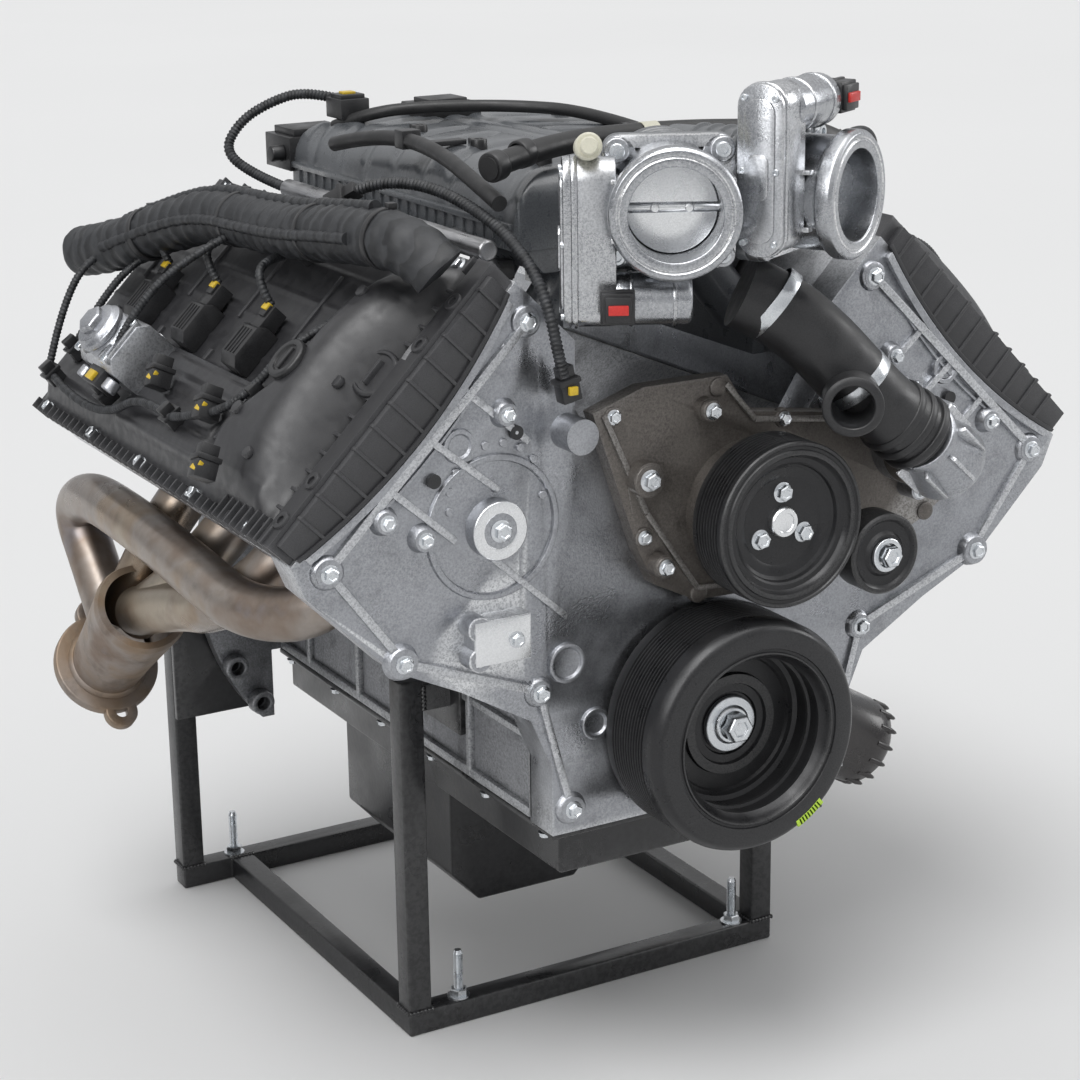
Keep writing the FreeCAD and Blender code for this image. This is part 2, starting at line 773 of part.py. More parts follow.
def along_valve(name, kind, way, side, y, start, radius, length):
    """A cylinder on a valve's axis, from a distance above its seat."""
    tilt = valve_lean(kind)
    x = f"{side}*{way}*(valve_across + ({start})*sin({tilt}))"
    z = f"seat_height + ({start})*cos({tilt})"
    return rod_z(name, x, y, z, radius, length, Vector(0, side*way, 0), tilt)


def port(name, way, side, y, start, end, start_height, end_height, radius):
    """A straight port from the valves to a face of the head."""
    rise = f"({end_height} - ({start_height}))"
    run = f"({end} - ({start}))"
    return rod_z(name, f"{side}*{way}*({start})", y, start_height, radius, f"sqrt({run}^2 + {rise}^2)",
                 Vector(0, side*way, 0), f"90 deg - atan({rise}/{run})")


def intake_face_across():
    """Distance across the bank of the intake port's middle on the upright intake face."""
    return "(intake_port_height - intake_face/sin(lean))"


def cylinder_head(name, side):
    """Four-valve head with ports, plug wells and camshaft bearings."""
    def across(value, height):
        return (f"{side}*({value})", height)

    face = "intake_face/sin(lean)"
    outline = [
        across("-head_foot_inner", "deck_height + gasket"),
        across("head_foot_outer", "deck_height + gasket"),
        across("exhaust_face", "exhaust_face_low"),
        across("exhaust_face", "exhaust_face_high"),
        across("head_outer", "head_outer_low"),
        across("head_outer", "rail_height"),
        across("-head_inner", "rail_height"),
        across("-head_inner", f"{face} + head_inner"),
        across("-head_inner_low", f"{face} + head_inner_low"),
    ]
    casting = prism(f"head_casting_{name}", outline, "-block_front", "block_front - head_rear")
    wide = "gallery_inner + gallery_outer"
    low = f"{side}*(gallery_outer - gallery_inner)/2 - ({wide})/2"
    tools = [
        box(f"gallery_{name}", low, "-block_front + head_end_wall", "gallery_floor", wide,
            "block_front - head_rear - 2*head_end_wall", "rail_height - gallery_floor"),
        box(f"gallery_front_{name}", low, "-block_front", "cam_height", wide, "head_end_wall",
            "rail_height - cam_height"),
    ]
    inside = []
    for index in range(4):
        y = cylinder_y(index, side)
        key = f"{name}_{index}"
        tools += [
            rod_z(f"chamber_{key}", "0", y, "deck_height + gasket", "chamber_radius", "chamber_depth"),
            rod_z(f"plug_hole_{key}", "0", y, "deck_height + gasket", "plug_thread + running_gap",
                  "plug_shoulder - deck_height"),
            rod_z(f"plug_seat_{key}", "0", y, "plug_shoulder", "plug_well",
                  "cover_rear_top - plug_shoulder"),
            port(f"intake_port_{key}", -1, side, y, "intake_port_inner",
                 intake_face_across(), "port_inner_height", "intake_port_height", "port_radius"),
            port(f"exhaust_port_{key}", 1, side, y, "exhaust_port_inner", "exhaust_face",
                 "port_inner_height", "exhaust_port_height", "port_radius"),
        ]
        inside.append(rod_z(f"plug_tube_{key}", "0", y, "gallery_floor - 1", "plug_well + plug_tube_wall",
                            "cover_rear_top - cover_shell - fit_gap - gallery_floor + 1"))
    for kind, way, y, key in valve_places(side):
        radius = f"{kind}_valve_radius + throat_gap"
        tools.append(along_valve(f"throat_{name}_{key}", kind, way, side, y, "-8", radius, "26"))
        tools.append(along_valve(f"guide_{name}_{key}", kind, way, side, y, "0", "guide_radius", "60"))
    towers = []
    for index in range(1, 5):
        for kind, way in (("intake", -1), ("exhaust", 1)):
            towers.append(box(f"tower_{name}_{kind}_{index}", f"{side*way}*{kind}_cam - bearing_half",
                              f"{bearing_y(index, side)} - bearing_width/2", "gallery_floor - 1",
                              "2*bearing_half", "bearing_width", "cam_height - gallery_floor + 1"))
    lines = []
    for kind, way in (("intake", -1), ("exhaust", 1)):
        lines.append(rod_y(f"cam_line_{name}_{kind}", f"{side*way}*{kind}_cam", "-block_front",
                           "cam_height", "cam_journal + running_gap", "block_front"))
    hollow = cut(f"head_hollow_{name}", casting, [tools[0], tools[1]])
    filled = fuse(f"head_filled_{name}", [hollow] + inside + towers)
    keep(f"cylinder_head_{name}", lean(cut(f"head_{name}", filled, tools[2:] + lines), side))


def head_gaskets():
    """Head gaskets and exhaust gaskets."""
    plates = []
    for name, side in BANKS.items():
        plate = box(f"gasket_plate_{name}", f"{side}*(head_foot_outer - head_foot_inner)/2 - block_half",
                    "-block_front", "deck_height", "2*block_half", "block_front - head_rear", "gasket")
        holes = [rod_z(f"gasket_hole_{name}_{index}", "0", cylinder_y(index, side), "deck_height",
                       "bore/2 + 1", "gasket") for index in range(4)]
        plates.append(lean(cut(f"gasket_{name}", plate, holes), side))
        for index in range(4):
            y = cylinder_y(index, side)
            sheet_box = box(f"exhaust_gasket_plate_{name}_{index}",
                            f"{side}*(exhaust_face + gasket/2) - gasket/2", f"{y} - 38",
                            "exhaust_port_height - 20", "gasket", "76", "40")
            hole = port(f"exhaust_gasket_hole_{name}_{index}", 1, side, y, "exhaust_face - 5",
                        "exhaust_face + gasket + 5", "exhaust_port_height", "exhaust_port_height",
                        "port_radius + 1")
            plates.append(lean(cut(f"exhaust_gasket_{name}_{index}", sheet_box, [hole]), side))
    keep("head_and_exhaust_gaskets", group("gaskets", plates))


def valve_train():
    """Valves, springs, followers and camshaft bearing caps of both banks."""
    valves = []
    springs = []
    followers = []
    caps = []
    for name, side in BANKS.items():
        for kind, way, y, key in valve_places(side):
            key = f"{name}_{key}"
            reach = valve_reach(kind)
            drop = "(cam_base + lobe_lift + lobe_clearance)"
            top = f"({reach} - {drop})"
            head = along_valve(f"valve_head_{key}", kind, way, side, y, "0", f"{kind}_valve_radius", "3")
            stem = along_valve(f"valve_stem_{key}", kind, way, side, y, "2", "stem_radius",
                               f"{top} - follower_height - 2")
            valves.append(lean(fuse(f"valve_{key}", [head, stem]), side))
            bucket = along_valve(f"follower_{key}", kind, way, side, y, f"{top} - follower_height",
                                 "follower_radius", "follower_height")
            followers.append(lean(group(f"follower_set_{key}", [bucket]), side))
            seat = f"((gallery_floor - seat_height)/cos({valve_lean(kind)}) + spring_outer*tan({valve_lean(kind)}))"
            length = f"{top} - follower_height - {seat}"
            coil = along_valve(f"spring_out_{key}", kind, way, side, y, seat, "spring_outer", length)
            core = along_valve(f"spring_in_{key}", kind, way, side, y, seat, "spring_inner", length)
            springs.append(lean(cut(f"spring_{key}", coil, [core]), side))
        for index in range(5):
            for kind, way in (("intake", -1), ("exhaust", 1)):
                key = f"{name}_{kind}_{index}"
                width = "head_end_wall" if index == 0 else "bearing_width"
                y = f"{bearing_y(index, side)} - {width}/2"
                lump = box(f"cap_{key}", f"{side*way}*{kind}_cam - bearing_half", y, "cam_height",
                           "2*bearing_half", width, "cap_rise")
                hole = rod_y(f"cap_line_{key}", f"{side*way}*{kind}_cam", y, "cam_height",
                             "cam_journal + running_gap", width)
                caps.append(lean(cut(f"cam_cap_{key}", lump, [hole]), side))
    keep("valves", group("valve_set", valves))
    keep("valve_springs", group("spring_set", springs))
    keep("cam_followers", group("follower_group", followers))
    keep("camshaft_bearing_caps", group("cap_set", caps))


def sprocket(teeth, width, y, bore=0):
    """A toothed wheel about the Y axis whose teeth follow the chain's pitch."""
    pitch_radius = number("chain_pitch")/2/math.sin(math.pi/teeth)
    tip = pitch_radius + number("tooth_height")
    root = pitch_radius - number("tooth_height")
    corners = []
    for tooth in range(teeth):
        middle = 2*math.pi*tooth/teeth
        for radius, part in ((root, -0.38), (tip, -0.14), (tip, 0.14), (root, 0.38)):
            angle = middle + part*2*math.pi/teeth
            corners.append(Vector(radius*math.sin(angle), y, radius*math.cos(angle)))
    wheel = Part.Face(Part.makePolygon(corners + corners[:1])).extrude(Vector(0, width, 0))
    if bore:
        wheel = wheel.cut(Part.makeCylinder(bore, width, Vector(0, y, 0), Y_AXIS))
    return wheel


def row_y(side):
    """Y of the middle of a bank's primary chain and of its cross chain."""
    rows = (-number("row_1"), -number("row_2"))
    return rows if side < 0 else rows[::-1]


def camshaft(name, side, kind, way):
    """One camshaft with its lobes, and the phaser and sprockets on its nose."""
    primary, cross = row_y(side)
    width = number("sprocket_width")
    place = Vector(side*way*number(f"{kind}_cam"), 0, number("cam_height"))
    front = -number("phaser_front")
    rear = number(f"{bearing_y(4, side)} + bearing_width/2")
    nose_end = -number("block_front") - 0.5
    shaft = Part.makeCylinder(number("cam_shaft_radius"), rear - nose_end, Vector(0, nose_end, 0), Y_AXIS)
    solids = []
    for index in range(5):
        half = number("head_end_wall" if index == 0 else "bearing_width")/2
        middle = number(bearing_y(index, side))
        solids.append(Part.makeCylinder(number("cam_journal"), 2*half, Vector(0, middle - half, 0), Y_AXIS))
    base = number("cam_base")
    nose = number("lobe_nose")
    offset = base + number("lobe_lift") - nose
    for index in range(4):
        for pair in (-1, 1):
            middle = number(f"{cylinder_y(index, side)} + {pair}*valve_along")
            start = Vector(0, middle - number("lobe_width")/2, 0)
            angle = index*135 + (0 if kind == "intake" else 110) + (45 if side > 0 else 0)
            lobe = wrapped_face(Vector(0, 0, 0), base, Vector(0, 0, offset), nose)
            lobe = lobe.extrude(Vector(0, number("lobe_width"), 0))
            lobe.rotate(Vector(), Y_AXIS, angle)
            lobe.translate(start)
            solids.append(lobe)
    shaft = shaft.fuse(solids).removeSplitter()
    phaser = Part.makeCylinder(number("phaser_radius"), nose_end - front, Vector(0, front, 0), Y_AXIS)
    wheels = [sprocket(SIZES["cross_teeth"], width, cross - width/2)]
    if kind == "intake":
        wheels.append(sprocket(SIZES["cam_teeth"], width, primary - width/2))
    phaser = phaser.fuse(wheels).removeSplitter()
    whole = Part.makeCompound([shaft, phaser])
    whole.translate(place)
    whole.rotate(Vector(), Y_AXIS, side*number("lean"))
    shape_part(f"{kind}_camshaft_{name}", whole)


def wrapped_face(first, first_radius, second, second_radius):
    """The face inside a band pulled round two circles in a plane square to Y."""
    line = second - first
    length = line.Length
    heading = math.atan2(line.x, line.z)
    swing = math.acos((first_radius - second_radius)/length)

    def on(centre, radius, angle):
        return centre + Vector(radius*math.sin(angle), 0, radius*math.cos(angle))

    a = on(first, first_radius, heading + swing)
    b = on(second, second_radius, heading + swing)
    c = on(second, second_radius, heading - swing)
    d = on(first, first_radius, heading - swing)
    far = on(second, second_radius, heading)
    near = on(first, first_radius, heading + math.pi)
    edges = [Part.LineSegment(a, b).toShape(), Part.Arc(b, far, c).toShape(),
             Part.LineSegment(c, d).toShape(), Part.Arc(d, near, a).toShape()]
    return Part.Face(Part.Wire(edges))


def chain_loop(first, first_teeth, second, second_teeth, y):
    """A closed chain as a flat band that clears the teeth of both wheels."""
    width = number("chain_width")
    thickness = number("chain_thickness")
    radii = [number("chain_pitch")/2/math.sin(math.pi/teeth) + number("tooth_height + chain_gap")
             for teeth in (first_teeth, second_teeth)]
    outer = wrapped_face(first, radii[0] + thickness, second, radii[1] + thickness)
    inner = wrapped_face(first, radii[0], second, radii[1])
    band = outer.cut(inner).extrude(Vector(0, width, 0))
    band.translate(Vector(0, y - width/2, 0))
    return band


def timing_drive():
    """Camshafts, chains, guides, crank sprocket and oil pump."""
    loops = []
    guides = []
    for name, side in BANKS.items():
        for kind, way in (("intake", -1), ("exhaust", 1)):
            camshaft(name, side, kind, way)
        primary, cross = row_y(side)
        intake = Vector(-side*number("intake_cam"), 0, number("cam_height"))
        exhaust = Vector(side*number("exhaust_cam"), 0, number("cam_height"))
        for first, teeth, y in ((Vector(), SIZES["crank_teeth"], primary), (exhaust, SIZES["cross_teeth"], cross)):
            far_teeth = SIZES["cam_teeth"] if teeth == SIZES["crank_teeth"] else SIZES["cross_teeth"]
            loop = chain_loop(first, teeth, intake, far_teeth, y)
            loop.rotate(Vector(), Y_AXIS, side*number("lean"))
            loops.append(loop)
        low = number("chain_pitch")/2/math.sin(math.pi/SIZES["crank_teeth"])
        high = number("chain_pitch")/2/math.sin(math.pi/SIZES["cam_teeth"])
        band = number("tooth_height + chain_gap + chain_thickness")
        reach = intake.Length
        swing = math.acos((low - high)/reach)
        heading = math.atan2(intake.x, intake.z)
        spine = Vector(math.sin(heading), 0, math.cos(heading))
        outward = Vector(math.sin(heading + side*swing), 0, math.cos(heading + side*swing))
        near = 0.22*reach
        far = 0.8*reach
        corners = []
        for distance, lift in ((near, 0.4), (far, 0.4), (far - 8, 9.4), (near + 8, 9.4)):
            radius = low + (high - low)*distance/reach + band
            corners.append(spine*distance + outward*(radius + lift))
        guide = Part.Face(Part.makePolygon(corners + corners[:1]))
        guide = guide.extrude(Vector(0, -primary - number("block_front") + 3, 0))
        guide.translate(Vector(0, primary - 3, 0))
        guide.rotate(Vector(), Y_AXIS, side*number("lean"))
        guides.append(guide)
    shape_part("timing_chains", Part.makeCompound(loops))
    shape_part("chain_guides", Part.makeCompound(guides))

    width = number("sprocket_width")
    bore = number("snout_radius + running_gap")
    rear = number("-row_2 + sprocket_width/2")
    front = number("-row_1 - sprocket_width/2")
    hub = Part.makeCylinder(18.0, rear - front, Vector(0, front, 0), Y_AXIS)
    hub = hub.cut(Part.makeCylinder(bore, rear - front, Vector(0, front, 0), Y_AXIS))
    teeth = SIZES["crank_teeth"]
    wheels = [sprocket(teeth, width, row - width/2, bore) for row in row_y(-1)]
    shape_part("crank_sprocket", hub.fuse(wheels).removeSplitter())

    back = "(-pump_front + pump_thickness)"
    housing = [rod_y("pump_disc", "0", "-pump_front", "0", "pump_radius", "pump_thickness")]
    for index, angle in enumerate((-18, -90, 198)):
        housing.append(rod_y(f"pump_leg_{index}", f"pump_leg_ring*cos({angle})", back,
                             f"pump_leg_ring*sin({angle})", "pump_leg_radius",
                             f"-block_front - {back}"))
    keep("oil_pump_housing", cut("oil_pump", fuse("oil_pump_solid", housing), [
        rod_y("pump_eye", "0", "-pump_front", "0", "hub_radius + 1", "pump_thickness"),
        rod_y("pump_chamber", "0", "-pump_front + 1.4", "0", "pump_rotor + fit_gap", "pump_thickness - 2.8"),
    ]))
    keep("oil_pump_rotor", cut("rotor", rod_y("rotor_disc", "0", "-pump_front + 1.7", "0", "pump_rotor",
                                              "pump_thickness - 3.4"),
                               [rod_y("rotor_eye", "0", "-pump_front", "0", "snout_radius + running_gap",
                                      "pump_thickness")]))


# ---------------------------------------------------------------- timing cover and damper

def timing_cover():
    """Cast front cover with a rim that seats on the block and heads."""
    face = "intake_face/sin(lean)"

    def outline(wall, open_top):
        top = f"rail_height + {open_top}"
        low = f"-rail_drop - {open_top}"
        return mirrored([
            ("cover_valley_half", f"cover_valley - {wall}"),
            bank_point("150", f"-77 + {wall}", 1),
            bank_point(f"{face} + head_inner_low", f"-head_inner_low + {wall}", 1),
            bank_point(f"{face} + head_inner", f"-head_inner + {wall}", 1),
            bank_point(top, f"-head_inner + {wall}", 1),
            bank_point(top, f"cover_outer - {wall}", 1),
            bank_point("332", f"cover_tip - {wall}", 1),
            bank_point("240", f"cover_tip - {wall}", 1),
            (f"208 - {wall}/2", f"54 + {wall}"),
            (f"150 - {wall}/2", f"20 + {wall}"),
            (f"pan_half + 2 - {wall}", f"-20 + {wall}/2"),
            (f"pan_half + 2 - {wall}", low),
        ])

    body = prism("cover_body", outline("0", "0"), "-cover_front", "cover_front - block_front")
    chest = prism("cover_chest", outline("cover_wall", "5"), "-cover_front + cover_skin",
                  "cover_front - cover_skin - block_front + 1")
    shell = cut("cover_shell_cut", body, [chest])
    bosses = []
    for name, side in BANKS.items():
        for index, (x, z, radius, rise) in enumerate((
                (309, 161, 10, 5), (255, 86, 11, 7), (265, 191, 8, 8), (236, 174, 8, 8), (169, 255, 8, 8),
                (144, 42, 9, 5), (118, -55, 10, 5), (150, 318, 9, 4), (118, 235, 13, 24))):
            bosses.append(rod_y(f"boss_{name}_{index}", f"{side}*{x}", f"-cover_front - {rise}", str(z),
                                str(radius), f"{rise} + cover_skin/2"))
    bosses.append(rod_y("phaser_boss_left", "-179", "-cover_front - 12", "173", "22", "12 + cover_skin/2"))
    bosses.append(box("tensioner_pad", "-204", "-cover_front - 16", "76", "46", "16 + cover_skin/2", "34"))
    whole = fuse("cover_whole", [shell] + bosses)
    keep("timing_cover", cut("cover", whole, [
        rod_y("cover_seal_bore", "0", "-cover_front - 1", "0", "front_seal", "cover_skin + 2"),
        rod_y("pad_hole_low", "-196", "-cover_front - 16", "84", "3.5", "14"),
        rod_y("pad_hole_high", "-196", "-cover_front - 16", "103", "3.5", "14"),
    ]))


def grooved_rim(radius, start, stop, depth, pitch):
    """Profile points of a rim with V-grooves between two places along Y, going rearwards."""
    count = int((number(stop) - number(start))/number(pitch))
    points = []
    for index in range(count):
        points.append((f"{radius} - {depth}", f"{start} + ({index} + 0.5)*{pitch}"))
        points.append((radius, f"{start} + ({index} + 1)*{pitch}"))
    return points


def damper():
    """Crankshaft damper with its deep cavity, hub and grooved belt track, and its bolt."""
    front = "-damper_front"
    back = "-damper_back"
    track = f"({front} + damper_rim_length)"
    points = [
        ("snout_radius + running_gap", "-damper_web_front"),
        ("damper_cavity - 4", "-damper_web_front"),
        ("damper_cavity", "-damper_web_front - 8"),
        ("damper_cavity", f"{front} + 8"),
        ("damper_mouth", f"{front} + 3"),
        ("damper_mouth", front),
        ("damper_radius - 5", front),
        ("damper_radius", f"{front} + 5"),
        ("damper_radius", track),
    ]
    points += grooved_rim("damper_radius", track, f"{back} - 14", "groove_depth", "groove_pitch")
    points += [
        ("damper_radius", back),
        ("damper_radius - 14", back),
        ("damper_radius - 14", "-damper_web_back"),
        ("hub_radius", "-damper_web_back"),
        ("hub_radius", "-pump_front - fit_gap"),
        ("snout_radius + running_gap", "-pump_front - fit_gap"),
    ]
    keep("crankshaft_damper", turned("damper", points))
    head = [
        ("0.0001", "-damper_web_front - crank_washer/2 - 10"),
        ("crank_bolt_radius", "-damper_web_front - crank_washer/2 - 10"),
        ("crank_bolt_radius", "-damper_web_front - 6"),
        ("crank_washer", "-damper_web_front - 6"),
        ("crank_washer", "-damper_web_front"),
        ("crank_bolt_radius - 3", "-damper_web_front"),
        ("crank_bolt_radius - 3", "-damper_web_front + 40"),
        ("0.0001", "-damper_web_front + 40"),
    ]
    keep("crankshaft_bolt", turned("crank_bolt", head))


# ---------------------------------------------------------------- cam covers, coils and plugs

def cam_cover(name, side):
    """Cam cover with a tall front dome over the phasers and wells for the coils."""
    def section(points):
        return [(f"{side}*({x})", z) for x, z in points]

    low = "rail_height"
    top = "rail_height + cover_flange"
    flange = prism(f"cover_flange_{name}", section([
        ("-head_inner + 1", low), ("cover_outer - 1", low), ("cover_outer - 1", top),
        ("-head_inner + 1", top)]), "-dome_front", "dome_front - cover_rear")

    def dome_points(top):
        return lambda wall, base: [
            (f"-124 + {wall}", base), (f"-112 + {wall}", f"378 - {wall}/2"),
            (f"-84 + {wall}/2", f"{top} - 10 - {wall}"), ("-24", f"{top} - {wall}"),
            ("24", f"{top} - {wall}"), (f"88 - {wall}", f"{top} - 22 - {wall}/2"),
            (f"108 - {wall}", base)]

    def rear_points(wall, base):
        return [
            (f"-120 + {wall}", base), (f"-104 + {wall}/2", f"cover_rear_top - {wall}"),
            (f"70 - {wall}/2", f"cover_rear_top - {wall}"), (f"106 - {wall}", base)]

    def tail_points(wall, base):
        return [
            (f"30 + {wall}", base), (f"34 + {wall}", f"dome_top - 9 - {wall}"),
            (f"46 - {wall}/2", f"dome_top - 10 - {wall}"), (f"88 - {wall}", f"dome_top - 24 - {wall}/2"),
            (f"108 - {wall}", base)]

    # each span: outline, start, length, and how far its space opens into the span ahead and behind
    through = "(2*cover_shell + 2)"
    spans = (
        (dome_points("(dome_top - 25)"), "-dome_front", "11", "0", through),
        (dome_points("(dome_top - 10)"), "-dome_front + 11", "24", "0", through),
        (dome_points("dome_top"), "-dome_front + 35", "dome_front - 35 - dome_back", "0", "0"),
        (rear_points, "-dome_back", "dome_back - cover_rear - 4", through, "0"),
        (tail_points, "-dome_back", "dome_back - dome_tail", through, "0"),
    )
    outer = [flange]
    inner = []
    for index, (points, start, length, ahead, behind) in enumerate(spans):
        outer.append(prism(f"cover_out_{name}_{index}", section(points("0", "rail_height + 2")),
                           start, length))
        inner.append(prism(f"cover_in_{name}_{index}", section(points("cover_shell", "rail_height - 1")),
                           f"{start} + cover_shell - {ahead}",
                           f"{length} - 2*cover_shell + {ahead} + {behind}"))
    for index in range(4):
        inner.append(rod_z(f"coil_hole_{name}_{index}", "0", cylinder_y(index, side), "rail_height",
                           "plug_well", "dome_top - rail_height"))
    keep(f"cam_cover_{name}", lean(cut(f"cam_cover_solid_{name}", fuse(f"cam_cover_outer_{name}", outer),
                                       inner), side))


def ignition():
    """Coils on the cam covers and the spark plugs below them."""
    coils = []
    plugs = []
    for name, side in BANKS.items():
        for index in range(4):
            y = cylinder_y(index, side)
            key = f"{name}_{index}"
            plug_end = "plug_shoulder + 46"
            top = "dome_top" if index == 0 else "cover_rear_top"
            stalk = rod_z(f"coil_stalk_{key}", "0", y, plug_end, "plug_well - 3", f"{top} + 4 - ({plug_end})")
            if index == 0:
                head = [rod_z(f"coil_cap_{key}", "0", y, f"{top} + fit_gap", "17", "7")]
            else:
                head = [
                    box(f"coil_case_{key}", "-19", f"{y} - 14", f"{top} + fit_gap", "38", "28", "20"),
                    box(f"coil_socket_{key}", f"{-side}*26 - 10", f"{y} - 8", f"{top} + 4", "20", "16", "13"),
                ]
            coils.append(lean(fuse(f"coil_{key}", [stalk] + head), side))
            thread = rod_z(f"plug_thread_{key}", "0", y, "plug_shoulder - 20", "plug_thread", "20")
            nut = rod_z(f"plug_hex_{key}", "0", y, "plug_shoulder", "plug_well - 3.5", "16")
            neck = rod_z(f"plug_neck_{key}", "0", y, "plug_shoulder + 16", "5", "29")
            plugs.append(lean(fuse(f"plug_{key}", [thread, nut, neck]), side))
    keep("ignition_coils", group("coil_set", coils))
    keep("spark_plugs", group("plug_set", plugs))


# ---------------------------------------------------------------- sump, pickup and filter

def oil_system():
    """Oil pan, pickup pipe and spin-on filter with its adapter."""
    def sump(wall):
        return [("-sump_left + " + wall, "-rail_drop"), ("sump_right - " + wall, "-rail_drop"),
                ("sump_right - " + wall, "-sump_right_corner + " + wall),
                ("sump_right_low - " + wall, "-pan_deep + " + wall),
                ("-sump_left_low + " + wall, "-pan_deep + " + wall),
                ("-sump_left + " + wall, "-sump_left_corner + " + wall)]

    shell = fuse("pan_outer", [
        slab("pan_rail_plate", "pan_half", "-pan_front", "-rail_drop - pan_rail", "pan_front - cover_rear",
             "pan_rail"),
        slab("pan_tray", "pan_half - 9", "-pan_front + 6", "-pan_shallow", "pan_front - cover_rear - 12",
             "pan_shallow - rail_drop"),
        prism("pan_sump", sump("0"), "-sump_front", "sump_front - sump_rear"),
    ])
    keep("oil_pan", cut("pan", shell, [
        slab("pan_tray_space", "pan_half - 9 - pan_wall", "-pan_front + 6 + pan_wall",
             "-pan_shallow + pan_wall", "pan_front - cover_rear - 12 - 2*pan_wall",
             "pan_shallow - pan_wall - rail_drop"),
        prism("pan_sump_space", sump("pan_wall"), "-sump_front + pan_wall",
              "sump_front - sump_rear - 2*pan_wall"),
    ]))
    low = -number("rail_drop + pan_shallow")/2
    cap = number(main_y(0))
    mouth = Vector(-44, -200, -number("pan_deep") + 14)
    pipe = tube_along([mouth + Vector(0, 0, 10), Vector(-44, -200, low), Vector(-60, cap, low),
                       Vector(-60, cap, -number("cap_height"))], 9, 0.49)
    bell = Part.makeCylinder(26, 18, mouth, Z_AXIS)
    shape_part("oil_pickup_pipe", pipe.fuse(bell).removeSplitter())

    tilt = Rotation(Z_AXIS, Vector(0.86, -0.12, -0.5))
    seat = Vector(150, -412, -62)
    axis = tilt.multVec(Z_AXIS)
    radius = number("filter_radius")
    length = number("filter_length")
    can = Part.makeCylinder(radius, length - 8, Vector(), Z_AXIS)
    can = can.fuse(Part.makeCone(radius, radius - 7, 8, Vector(0, 0, length - 8), Z_AXIS)).removeSplitter()
    can.Placement = Placement(seat, tilt)
    shape_part("oil_filter", can)
    reach = 60
    boss = Part.makeCylinder(radius - 8, reach, seat - axis*reach, axis)
    block_side = number("skirt_half")
    boss = boss.cut(Part.makeBox(2*block_side, 300, 400, Vector(-block_side, seat.y - 150, -200)))
    rail = number("pan_half") + 0.4
    boss = boss.cut(Part.makeBox(2*rail, 300, 400, Vector(-rail, seat.y - 150, -400 - number("rail_drop") + 0.5)))
    shape_part("oil_filter_adapter", boss)


# ---------------------------------------------------------------- water pump and idler

